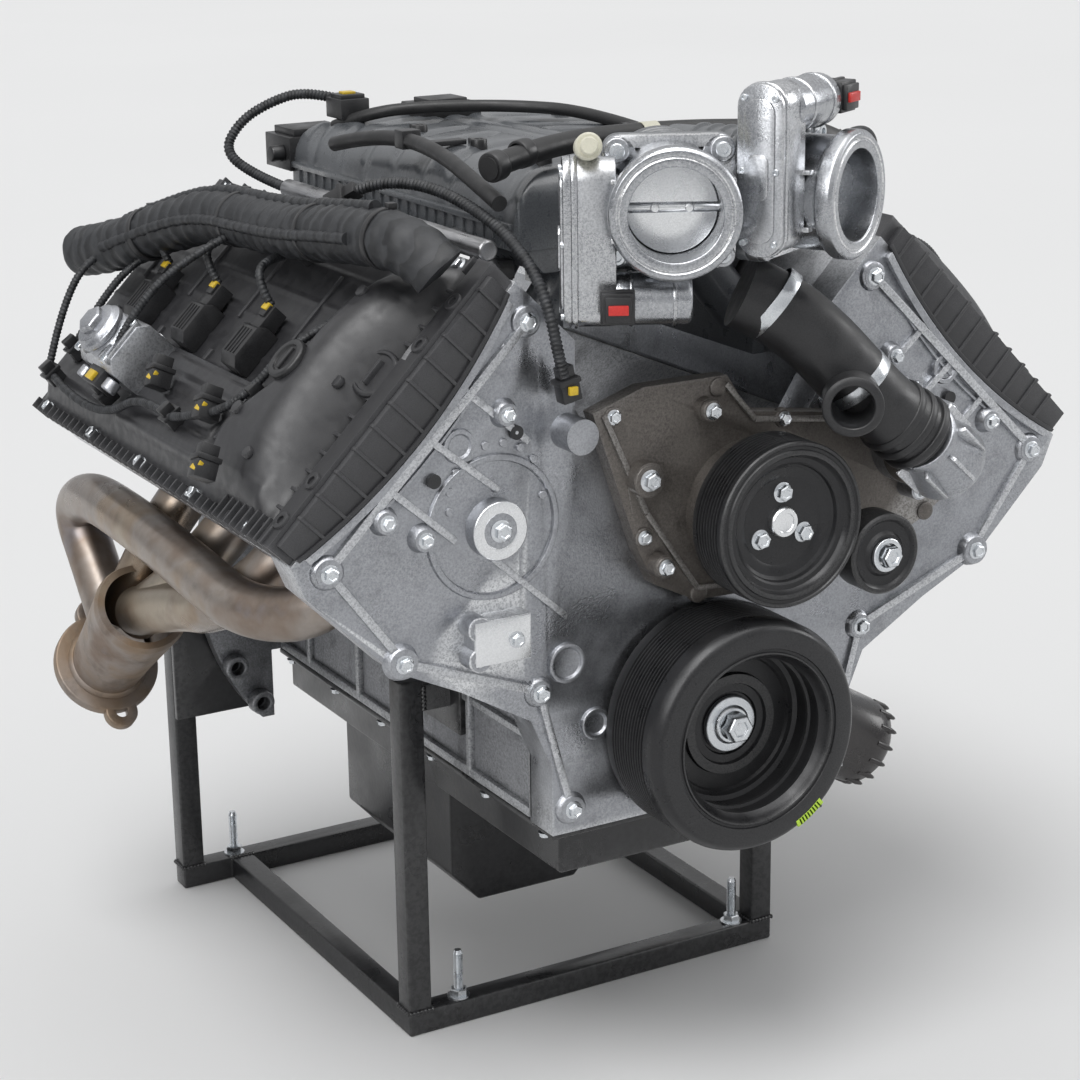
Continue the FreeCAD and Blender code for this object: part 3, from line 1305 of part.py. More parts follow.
def water_pump():
    """Pump housing with its volute, the shaft with an impeller, both pulleys and their bolts."""
    back = "-cover_front"
    depth = "14"
    plate = prism("pump_plate", [
        ("-104", "248"), ("-62", "262"), ("10", "262"), ("30", "232"), ("160", "214"), ("208", "214"),
        ("236", "186"), ("228", "148"), ("192", "124"), ("128", "98"), ("60", "92"), ("-16", "94"),
        ("-52", "112"), ("-66", "140")], f"{back} - {depth}", depth)
    clear = [rod_y(f"pump_boss_gap_{index}", x, f"{back} - 60", z, radius, "60")
             for index, (x, z, radius) in enumerate((("-118", "235", "13 + fit_gap"),
                                                     ("118", "235", "13 + fit_gap"),
                                                     ("211", "101", "12"), ("236", "174", "9"),
                                                     ("265", "191", "9"), ("169", "255", "9")))]
    solid = fuse("pump_solid", [
        plate,
        rod_y("volute", "pump_x", "-volute_front", "pump_z", "volute_radius", "volute_front - cover_front - 1"),
        rod_y("pump_nose", "pump_x", "-volute_front - 6", "pump_z", "20", "20"),
        rod_y("idler_boss", "idler_x", "-idler_front + idler_length + 1", "idler_z", "14",
              "idler_front - idler_length - 1 - cover_front - 2"),
        rod_y("thermostat_house", "thermostat_x", "-thermostat_front", "thermostat_z", "31",
              "thermostat_front - cover_front - 2"),
        rod_y("pump_foot_left", "-64", f"{back} - 26", "196", "13", "20"),
        rod_y("pump_foot_low", "-50", f"{back} - 24", "128", "9", "20"),
        rod_y("pump_foot_high", "-10", f"{back} - 22", "240", "9", "20"),
    ])
    keep("water_pump_housing", cut("pump_housing", solid, [
        rod_y("pump_chamber_space", "pump_x", "-impeller_front - 2", "pump_z", "impeller_radius + 2",
              "impeller_front + 2 - cover_front"),
        rod_y("pump_bearing", "pump_x", "-volute_front - 6", "pump_z", "pump_shaft_radius + running_gap",
              "volute_front + 6 - cover_front"),
        rod_y("thermostat_bore", "thermostat_x", "-thermostat_front", "thermostat_z", "20", "24"),
        rod_y("idler_thread", "idler_x", "-idler_front + idler_length", "idler_z", "6", "20"),
    ] + clear))

    web_front = "-pulley_front + 14"
    web_back = f"{web_front} + pulley_web"
    vane_length = "(impeller_radius - 8)"
    keep("water_pump_shaft", fuse("pump_shaft_solid", [
        rod_y("pump_shaft_bar", "pump_x", web_back, "pump_z", "pump_shaft_radius",
              f"-impeller_front + 14 - ({web_back})"),
        rod_y("impeller_disc", "pump_x", "-impeller_front + 10", "pump_z", "impeller_radius", "4"),
        box("vane_right", "pump_x + 6", "-impeller_front", "pump_z - 1.5", vane_length, "10", "3"),
        box("vane_left", f"pump_x - 6 - {vane_length}", "-impeller_front", "pump_z - 1.5", vane_length,
            "10", "3"),
        box("vane_up", "pump_x - 1.5", "-impeller_front", "pump_z + 6", "3", "10", vane_length),
        box("vane_down", "pump_x - 1.5", "-impeller_front", f"pump_z - 6 - {vane_length}", "3", "10",
            vane_length),
    ]))

    front = "-pulley_front"
    rim = "pulley_radius"
    points = [("0.0001", web_front), ("pulley_bowl - 6", web_front), ("pulley_bowl", f"{front} + 8"),
              ("pulley_bowl + 3", front), (rim, front), (rim, f"{front} + 4")]
    points += grooved_rim(rim, f"{front} + 4", f"{front} + pulley_length - 4", "groove_depth", "groove_pitch")
    points += [(rim, f"{front} + pulley_length"), (f"{rim} - 7", f"{front} + pulley_length"),
               ("pulley_bowl + 1", f"{front} + 20"), ("pulley_bowl - 8", web_back), ("0.0001", web_back)]
    solids = [put(turned("pump_pulley_body", points), "pump_x", "0", "pump_z")]
    for index, angle in enumerate((90, 210, 330)):
        solids.append(rod_y(f"pulley_bolt_{index}", f"pump_x + pulley_bolt_ring*cos({angle})", f"{web_front} - 7",
                            f"pump_z + pulley_bolt_ring*sin({angle})", "6.5", "7"))
    solids.append(rod_y("pulley_hub", "pump_x", f"{web_front} - 6", "pump_z", "10", "6"))
    keep("water_pump_pulley", group("pump_pulley", solids))

    wheel = [("10 + running_gap", "-idler_front"), ("16", "-idler_front"), ("18", "-idler_front + 3"),
             ("idler_radius - 5", "-idler_front + 3"), ("idler_radius", "-idler_front"),
             ("idler_radius", "-idler_front + idler_length"),
             ("10 + running_gap", "-idler_front + idler_length")]
    keep("idler_pulley", put(turned("idler_wheel", wheel), "idler_x", "0", "idler_z"))
    keep("idler_bolt", fuse("idler_bolt_solid", [
        rod_y("idler_axle", "idler_x", "-idler_front - 1", "idler_z", "10", "idler_length + 2"),
        rod_y("idler_washer", "idler_x", "-idler_front - 3", "idler_z", "13", "2"),
        rod_y("idler_head", "idler_x", "-idler_front - 11", "idler_z", "8.5", "9"),
        rod_y("idler_screw", "idler_x", "-idler_front + idler_length", "idler_z", "5.8", "14"),
    ]))


# ---------------------------------------------------------------- intake side

def throttle_centre(side):
    """Middle of a throttle body's rear flange."""
    return (f"{side}*(throttle_x - throttle_length*sin(throttle_splay))",
            "-throttle_front + throttle_length*cos(throttle_splay)", "throttle_z")


def throttle_body(name, side, flip):
    """Throttle body whose gear case and motor hang on one side, turned over on the other bank."""
    length = "throttle_length"
    barrel = turned(f"throttle_barrel_{name}", [
        ("throttle_bore", f"-{length}"), ("throttle_ring - 3", f"-{length}"),
        ("throttle_ring", f"-{length} + 3"), ("throttle_ring", f"-{length} + 14"),
        ("throttle_ring - 5", f"-{length} + 18"), ("throttle_ring - 5", "0"), ("throttle_bore", "0")])
    solids = [
        barrel,
        box(f"throttle_flange_{name}", "-47", "-9", "-47", "94", "9", "94"),
        box(f"gear_case_{name}", "-throttle_ring - 28", f"-{length} + 22", f"{flip}*24 - 60", "35", "36", "120"),
        rod_z(f"motor_{name}", "-throttle_ring - 4", f"-{length} + 39", f"{flip}*64", "19", "66", Y_AXIS, "90"),
        box(f"motor_socket_{name}", "-throttle_ring - 22", f"-{length} + 6", f"{flip}*66 - 11", "22", "17", "22"),
    ]
    middle = f"-{length}*0.45"
    bore = rod_y(f"throttle_bore_{name}", "0", f"-{length}", "0", "throttle_bore", length)
    spindle = rod_z(f"spindle_hole_{name}", f"-{length}", middle, "0", "throttle_shaft + running_gap",
                    f"2*{length}", Y_AXIS, "90")
    limit = box(f"spindle_limit_{name}", "-throttle_ring", f"-{length}", "-10", "2*throttle_ring - 4", length, "20")
    body = cut(f"throttle_{name}", fuse(f"throttle_solid_{name}", solids),
               [bore, common(f"spindle_cut_{name}", spindle, limit)])
    disc = rod_y(f"plate_disc_{name}", "0", f"{middle} - 1", "0", "throttle_bore - fit_gap", "2")
    shaft = rod_z(f"plate_shaft_{name}", "-throttle_ring + 2", middle, "0", "throttle_shaft",
                  "2*throttle_ring - 8", Y_AXIS, "90")
    plate = fuse(f"throttle_plate_solid_{name}", [disc, shaft])
    x, y, z = throttle_centre(side)
    for label, item in ((f"throttle_body_{name}", body), (f"throttle_plate_{name}", plate)):
        keep(label, put(item, x, y, z, Z_AXIS, f"{side}*throttle_splay"))


def intake():
    """Plastic intake manifold with runners, fuel rails and injectors, and the fuel pump."""
    def section(wall):
        return mirrored([
            ("0.5", f"plenum_floor + {wall}"), (f"plenum_half - 24 - {wall}", f"plenum_floor + {wall}"),
            (f"plenum_half - {wall}", f"plenum_floor + 24 + {wall}"),
            (f"plenum_half - {wall}", f"plenum_top - 26 - {wall}"),
            (f"plenum_half - 34 - {wall}", f"plenum_top - {wall}"), ("0.5", f"plenum_top - {wall}")])

    outer = [prism("plenum", section("0"), "-plenum_front", "plenum_front - plenum_rear"),
             box("plenum_box", "-plenum_half - 4", "-plenum_rear - 4", "plenum_top - 44", "62", "50", "34")]
    inner = [prism("plenum_space", section("plenum_wall"), "-plenum_front + plenum_wall",
                   "plenum_front - plenum_rear - 2*plenum_wall")]
    for side in (-1, 1):
        x, y, z = throttle_centre(side)
        for items, name, radius, length in (
                (outer, "snout_out", "throttle_bore + 8", 88), (inner, "snout_in", "throttle_bore", 84)):
            item = doc.addObject("Part::Cylinder", f"{name}_{side + 1}")
            bind(item, Radius=radius, Height=length)
            put(item, x, y, z)
            turn = Rotation(Z_AXIS, side*number("throttle_splay")).multiply(Rotation(X_AXIS, -90))
            item.Placement = Placement(item.Placement.Base, turn)
            items.append(item)
        rail = box(f"runner_rail_{side + 1}", f"{side}*(intake_face - fit_gap - 6) - 6",
                   f"{cylinder_y(0, side)} - 30", "manifold_foot_top - 52", "12", "3*bore_pitch + 60", "52")
        outer.append(rail)
        for index in range(4):
            y = cylinder_y(index, side)
            port_z = bank_z("intake_port_height", f"-{intake_face_across()}")
            lift = f"(plenum_floor + 8 - {port_z})"
            run = "47"
            key = f"{side + 1}_{index}"
            tilt = f"atan({run}/{lift})"
            start = f"{side}*(intake_face - 17)"
            outer.append(rod_z(f"runner_{key}", start, y, port_z, "runner_radius",
                               f"sqrt({run}^2 + {lift}^2)", Vector(0, -side, 0), tilt))
            inner.append(rod_z(f"runner_space_{key}", start, y, port_z, "runner_bore",
                               f"sqrt({run}^2 + {lift}^2) + 6", Vector(0, -side, 0), tilt))
            inner.append(rod_z(f"runner_mouth_{key}", f"{side}*(intake_face - 19)", y, port_z, "runner_bore",
                               "24", Vector(0, side, 0), "90"))
    keep("intake_manifold", cut("manifold", fuse("manifold_outer", outer), inner))

    rails = []
    for side in (-1, 1):
        rail_x = f"{side}*(plenum_half + rail_offset)"
        pieces = [rod_y(f"fuel_tube_{side + 1}", rail_x, f"{cylinder_y(0, side)} - 24", "rail_z", "8",
                        "3*bore_pitch + 48")]
        for index in range(4):
            y = cylinder_y(index, side)
            rise = "(rail_z - manifold_foot_top - fit_gap)"
            run = "(plenum_half + rail_offset - intake_face + 7)"
            pieces.append(rod_z(f"injector_{side + 1}_{index}", f"{side}*(intake_face - 7)", y,
                                "manifold_foot_top + fit_gap + 3", "5", f"sqrt({rise}^2 + {run}^2) - 4",
                                Vector(0, side, 0), f"atan({run}/{rise})"))
        for index in range(2):
            pieces.append(box(f"rail_bracket_{side + 1}_{index}",
                              f"{side}*(plenum_half + fit_gap + rail_offset/2) - rail_offset/2",
                              f"{cylinder_y(0, side)} + {index}*2*bore_pitch + bore_pitch/2 - 8",
                              "rail_z - 4", "rail_offset", "16", "8"))
        rails.append(fuse(f"fuel_rail_{side + 1}", pieces))
    keep("fuel_rails", group("fuel_rail_pair", rails))

    block_low = "cover_rear_top + fit_gap"
    keep("high_pressure_pump", lean(fuse("fuel_pump", [
        box("fuel_pump_block", "-70", "-206", block_low, "48", "70", "40"),
        rod_z("fuel_pump_drum", "-45", "-171", block_low, "20", "56"),
        box("fuel_pump_socket", "-84", "-190", "cover_rear_top + 14", "14", "30", "18"),
    ]), -1))


# ---------------------------------------------------------------- exhaust

def bent_route(points, ratio=0.45):
    """Straight runs joined by tangent arcs, each as large as its two runs allow."""
    edges = []
    radii = []
    last = points[0]
    for before, corner, after in zip(points, points[1:], points[2:]):
        first = corner - before
        second = after - corner
        shorter = min(first.Length, second.Length)
        half_turn = first.getAngle(second)/2
        cut_back = ratio*shorter
        radii.append(cut_back/math.tan(half_turn))
        start = corner - first.normalize()*cut_back
        end = corner + second.normalize()*cut_back
        inward = ((start + end)*0.5 - corner).normalize()
        centre = corner + inward*(radii[-1]/math.cos(half_turn))
        middle = centre + (corner - centre)*(radii[-1]/(corner - centre).Length)
        if (start - last).Length > 1e-6:
            edges.append(Part.LineSegment(last, start).toShape())
        edges.append(Part.Arc(start, middle, end).toShape())
        last = end
    edges.append(Part.LineSegment(last, points[-1]).toShape())
    return Part.Wire(edges), radii


def tube_along(points, radius, ratio=0.45):
    """A round solid along a route, with its volume compared with its section times its length."""
    wire, radii = bent_route([Vector(*point) for point in points], ratio)
    heading = Vector(*points[1]) - Vector(*points[0])
    circle = Part.Wire(Part.makeCircle(radius, Vector(*points[0]), heading))
    solid = wire.makePipeShell([circle], True, False)
    expected = math.pi*radius**2*wire.Length
    print(f"tube r{radius:.1f}: length {wire.Length:.0f}, radii "
          f"{' '.join(f'{value:.0f}' for value in radii)}, volume ratio {solid.Volume/expected:.4f}")
    return solid


def headers():
    """Four-into-one exhaust headers."""
    for name, side in BANKS.items():
        radius = number("header_tube")
        wall = number("header_wall")
        outer = []
        inner = []
        plates = []
        slope = number(bank_z("exhaust_port_height", "exhaust_face + gasket"))
        reach = abs(number(bank_x("exhaust_port_height", "exhaust_face + gasket")))
        aim = number("sin(lean)")

        def place(x, y, z):
            return (side*x, y, z)

        for index in range(4):
            y = number(cylinder_y(index, side))
            start = (reach, y, slope)
            points = [place(*start)]
            points.append(place(reach + 34*aim, y, slope - 34*aim))
            if index == 0:
                points += [place(reach + 56, y + 70, slope - 38), place(reach + 64, y + 150, slope - 22),
                           place(reach + 68, y + 260, slope - 12), place(reach + 66, y + 370, slope - 14),
                           place(reach + 62, y + 418, slope - 40), place(reach + 58, y + 392, slope - 82),
                           place(309, -72, 2)]
            elif index == 1:
                points += [place(reach + 44, y + 60, slope - 62), place(reach + 50, y + 116, slope - 72),
                           place(306, -128, 24)]
            elif index == 2:
                points += [place(reach + 42, y + 46, slope - 70), place(305, -122, 18)]
            else:
                points += [place(reach + 42, y + 20, slope - 74), place(306, -84, 8)]
            outer.append(tube_along(points, radius))
            inner.append(tube_along(points, radius - wall))
            height = number("exhaust_port_height")
            across = number("exhaust_face + gasket")
            plate = Part.makeBox(number("header_plate"), 72, 38,
                                 Vector(across if side > 0 else -across - number("header_plate"),
                                        y - 36, height - 19))
            plate.rotate(Vector(), Y_AXIS, side*number("lean"))
            plates.append(plate)
        collector_start = Vector(*place(306, -138, 30))
        collector_end = Vector(*place(308, -44, -48))
        axis = (collector_end - collector_start).normalize()
        length = (collector_end - collector_start).Length
        big = number("collector_radius")
        bore = number("collector_bore")
        cone = Part.makeCone(big + 8, big, length, collector_start, axis)
        cone_in = Part.makeCone(big + 8 - wall, bore, length + 10, collector_start + axis*wall, axis)
        flange = Part.makeCylinder(big + 14, 10, collector_end - axis*6, axis)
        across = axis.cross(Vector(1, 0, 0)).normalize()
        for way in (-1, 1):
            ear = Part.makeCylinder(14, 10, collector_end - axis*6 + across*(way*44), axis)
            flange = flange.fuse(ear)
        solid = outer[0].fuse(outer[1:] + plates + [cone, flange])
        holes = [Part.makeCylinder(5.5, 14, collector_end - axis*8 + across*(way*46), axis) for way in (-1, 1)]
        mouths = []
        for index in range(4):
            y = number(cylinder_y(index, side))
            base = Vector(side*reach, y, slope)
            outward = Vector(side*aim, 0, -aim)
            mouths.append(Part.makeCylinder(radius - wall, 14, base - outward*1, outward))
        solid = solid.cut(inner + [cone_in] + holes + mouths)
        shape_part(f"exhaust_header_{name}", solid)


# ---------------------------------------------------------------- hoses, pipes and looms

def coolant_parts():
    """Moulded coolant elbow with an open branch."""
    radius = number("coolant_radius")
    bore = number("coolant_bore")
    end_x = number("thermostat_x")
    end_y = -number("thermostat_front")
    end_z = number("thermostat_z")
    route = [(24, -522, 322), (50, -536, 308), (74, -552, 284), (98, -564, 254), (126, -570, 226),
             (152, -574, 206), (end_x, end_y - 24, end_z)]
    aim = Vector(0.55, 0.83, 0.05)
    mouth = Part.makeCylinder(radius, 44, Vector(66, -604, 246), aim)
    socket = Part.makeCylinder(26, 24, Vector(end_x, end_y - 24, end_z), Y_AXIS)
    whole = tube_along(route, radius + 1).fuse([mouth, socket])
    whole = whole.cut(Part.makeCylinder(bore, 36, Vector(66, -604, 246), aim))
    shape_part("coolant_elbow", whole)


def bank_place(height, across, y, side=-1):
    """A point given up and across a bank, as numbers."""
    lean_angle = math.radians(number("lean"))
    along = height*math.sin(lean_angle) + across*math.cos(lean_angle)
    return (side*along, y, height*math.cos(lean_angle) - across*math.sin(lean_angle))


def lines():
    """Breather hose, vapour pipe, main loom and its branches."""
    top = number("plenum_top")
    seat = top + number("fit_gap")
    breather = number("breather_radius")
    hose = tube_along([
        (-150, -462, top + 8), (-112, -446, top + 14), (-44, -418, top + 16), (40, -416, top + 15),
        (100, -436, top + 13), (136, -470, top + 14), (150, -500, 404)], breather)
    shape_part("breather_hose", hose.fuse(Part.makeCylinder(5, 14, Vector(-20, -417.5, seat), Z_AXIS)))
    vapour = number("vapour_radius")
    pipe = tube_along([
        (-136, -180, top - 8), (-132, -225, top + 2), (-126, -290, top + 8), (-132, -360, top + 4),
        (-140, -420, top - 6), (-146, -470, 394)], vapour)
    shape_part("vapour_pipe", pipe.fuse(Part.makeBox(52, 12, 4, Vector(-130, -296, seat))))
    loom = number("loom_radius")
    bundle = tube_along([
        bank_place(418, -11, 0), bank_place(418, -30, -62), bank_place(419, -62, -118),
        bank_place(418, -84, -180), bank_place(416, -88, -250), bank_place(418, -92, -320),
        bank_place(424, -100, -386), bank_place(424, -112, -446), bank_place(412, -126, -500)], loom, 0.44)
    upward = Vector(-math.sin(math.radians(number("lean"))), 0, math.cos(math.radians(number("lean"))))
    cover_top = number("cover_rear_top + fit_gap")
    clips = [Part.makeCylinder(6, 16, Vector(*bank_place(cover_top, -84, y)), upward) for y in (-200, -300)]
    shape_part("wiring_loom", bundle.fuse(clips))
    branch = number("branch_radius")
    front_edge = -number("cover_front")
    routes = (
        [(-141, -93.5, 356), (-152, -60, 362), (-168, -26, 380), (-150, -22, 404), (-128, -36, 420),
         (-104, -56, 430), (-84, -82, 424)],
        [(-212.9, -330, 378.9), (-196, -352, 398), (-168, -400, 402), (-150, -462, 384), (-143, -508, 358),
         (-141, front_edge - 20, 326), (-136, front_edge - 22, 294), (-126, front_edge - 20, 262)],
        [(150, -452, 408), (186, -436, 416), (224, -408, 408), (258, -368, 380), (272, -326, 346),
         (247, -318, 303.9)],
        [(232, -300, 317.1), (258, -300, 343), (296, -290, 350), (330, -272, 326), (346, -256, 290),
         (341, -250, 256), (317, -250, 232.1)],
    )
    looms = [tube_along(route, branch) for route in routes]
    looms[0] = looms[0].fuse(Part.makeBox(26, 30, 20, Vector(-97, -112, seat)))
    shape_part("wiring_branches", Part.makeCompound(looms))


def fasteners():
    """Bolts of the timing cover, cam covers and oil pan."""
    bolts = []
    heads = ((309, 161, 5), (255, 86, 7), (265, 191, 8), (236, 174, 8), (169, 255, 8), (144, 42, 5),
             (118, -55, 5), (150, 318, 4))
    for name, side in BANKS.items():
        for index, (x, z, rise) in enumerate(heads):
            bolts.append(rod_y(f"cover_bolt_{name}_{index}", f"{side}*{x}", f"-cover_front - {rise} - 7",
                               str(z), "6", "7"))
        for index in range(5):
            for row, across in (("in", "-head_inner + 8"), ("out", "cover_outer - 7")):
                x = f"{side}*({across})"
                y = f"-block_front + 20 + {index}*(block_front - 60)/4"
                bolts.append(lean(group(f"rail_bolt_set_{name}_{index}_{row}", [
                    rod_z(f"rail_bolt_{name}_{index}_{row}", x, y, "rail_height + cover_flange", "5.5", "7")]),
                    side))
    for name, side in BANKS.items():
        for index in range(6):
            bolts.append(rod_z(f"pan_bolt_{name}_{index}", f"{side}*(pan_half - 4.5)",
                             f"-pan_front + 20 + {index}*(pan_front - 50)/5",
                             "-rail_drop - pan_rail - 5", "4", "5"))
    keep("cover_bolts", group("bolt_set", bolts))


# ---------------------------------------------------------------- build, check and write

stand()
block()
main_bearings()
crankshaft()
pistons_and_rods()
for bank, bank_side in BANKS.items():
    cylinder_head(bank, bank_side)
    cam_cover(bank, bank_side)
head_gaskets()
valve_train()
timing_drive()
timing_cover()
damper()
ignition()
oil_system()
water_pump()
throttle_body("left", -1, -1)
throttle_body("right", 1, 1)
intake()
headers()
coolant_parts()
lines()
fasteners()
doc.recompute()

failed = [item.Label for item in doc.Objects if "Invalid" in item.State or "Error" in item.State]
if failed:
    raise RuntimeError("failed: " + ", ".join(failed))
os.makedirs("parts", exist_ok=True)
for label, item in PARTS.items():
    if item.Shape.isNull() or not item.Shape.isValid():
        raise RuntimeError(f"{label} has no valid shape")
for label, item in PARTS.items():
    item.Shape.exportStep(f"parts/{label}.step")
print(f"{len(PARTS)} sub-parts")
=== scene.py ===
"""Finishes and fine shapes for a V8 engine on its shipping stand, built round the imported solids.

Sizes are in millimetres and become metres when a mesh is finished.  The origin is the centre of the
crankshaft's rear flange, +Y points to the rear, +Z is up and +X is on the right of somebody who
faces the front.  Bank pieces are built upright, with X across, and are then leaned to their side.
"""
from __future__ import annotations

import json
import logging
from math import atan2, cos, exp, floor, pi, radians, sin, sqrt
from dataclasses import dataclass, field
from enum import Enum
from typing import Callable, Iterable, Optional, Sequence

import bmesh
import bpy
from mathutils import Matrix, Vector


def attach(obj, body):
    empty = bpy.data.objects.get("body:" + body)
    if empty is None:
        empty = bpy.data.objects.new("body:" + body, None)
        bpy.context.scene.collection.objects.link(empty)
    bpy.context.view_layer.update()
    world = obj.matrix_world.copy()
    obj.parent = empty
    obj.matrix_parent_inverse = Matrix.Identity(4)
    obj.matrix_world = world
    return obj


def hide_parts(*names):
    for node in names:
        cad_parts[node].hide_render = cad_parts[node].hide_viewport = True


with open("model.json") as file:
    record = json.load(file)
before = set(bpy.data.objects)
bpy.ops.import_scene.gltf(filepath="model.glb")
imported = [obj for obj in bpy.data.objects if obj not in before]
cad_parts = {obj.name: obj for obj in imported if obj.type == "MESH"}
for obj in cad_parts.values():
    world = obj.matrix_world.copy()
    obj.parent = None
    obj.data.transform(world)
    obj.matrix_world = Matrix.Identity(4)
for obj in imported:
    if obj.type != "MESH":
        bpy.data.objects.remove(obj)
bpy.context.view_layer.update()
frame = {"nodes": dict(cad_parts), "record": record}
LOG = logging.getLogger("engine")
MM = 0.001
ROOT = "engine"
FRONT = (0, -1, 0)
UP = (0, 0, 1)
LEAN = 45.0
BORE_PITCH = 100.0
FIRST_BORE = -410.0
BANK_SHIFT = 10.0

Thing = bpy.types.Object
Socket = bpy.types.NodeSocket
Colour = tuple[float, float, float]
Point = Sequence[float]


class Side(Enum):
    """The two banks, by the way that they lean."""

    ONE = -1
    TWO = 1

    @property
    def label(self) -> str:
        """The bank's name in the node names."""
        return "bank_1" if self is Side.ONE else "bank_2"

    @property
    def turn(self) -> Matrix:
        """The rotation that leans an upright bank piece to its side."""
        return Matrix.Rotation(self.value*radians(LEAN), 4, "Y")

    def place(self, height: float, across: float, y: float) -> Vector:
        """A point given up and across the bank."""
        return self.turn @ Vector((self.value*across, y, height))

    def bore(self, index: int) -> float:
        """How far back a cylinder of this bank is."""
        return FIRST_BORE + BORE_PITCH*index + BANK_SHIFT*self.value

    def facing(self, across: float, y: float, height: float) -> Vector:
        """A direction given in the upright bank's own axes."""
        return self.turn.to_3x3() @ Vector((across, y, height))


# ------------------------------------------------------------------------------------ materials

class NodeSheet:
    """Short ways to fill a node tree."""

    def __init__(self, tree: bpy.types.NodeTree) -> None:
        """Empties the tree and keeps it."""
        self.tree = tree
        tree.nodes.clear()

    def add(self, kind: str, inputs: Optional[dict] = None, **settings) -> bpy.types.Node:
        """Adds a node.

        Args:
            kind: the node's type name.
            inputs: values or output sockets for its inputs, by name or index.
            settings: properties of the node.

        Returns:
            The new node.
        """
        node = self.tree.nodes.new(kind)
        for name, value in settings.items():
            setattr(node, name, value)
        for name, value in (inputs or {}).items():
            socket = node.inputs[name]
            if isinstance(value, Socket):
                self.tree.links.new(value, socket)
            else:
                socket.default_value = value
        return node

    def out(self, kind: str, inputs: Optional[dict] = None, **settings) -> Socket:
        """The first output of a new node."""
        return self.add(kind, inputs, **settings).outputs[0]

    def math(self, operation: str, first, second=0.0) -> Socket:
        """The result of a Math node."""
        return self.out("ShaderNodeMath", {0: first, 1: second}, operation=operation)

    def spread(self, value, low: float, high: float, to_low: float, to_high: float) -> Socket:
        """A value mapped from one range to another and held within it."""
        node = self.add("ShaderNodeMapRange", {"Value": value, "From Min": low, "From Max": high, "To Min": to_low,
            "To Max": to_high})
        return node.outputs["Result"]

    def blend(self, amount, first, second) -> Socket:
        """Two colours mixed by an amount."""
        node = self.add("ShaderNodeMix", data_type="RGBA")
        for socket, value in ((node.inputs[0], amount), (node.inputs[6], first), (node.inputs[7], second)):
            if isinstance(value, Socket):
                self.tree.links.new(value, socket)
            elif isinstance(value, tuple):
                socket.default_value = (*value, 1.0)
            else:
                socket.default_value = value
        return node.outputs[2]


class Grain(Enum):
    """How a finish's fine pattern runs."""

    CAST = "cast"
    BRUSHED = "brushed"
    MOULDED = "moulded"
    TAPED = "taped"
    TINTED = "tinted"


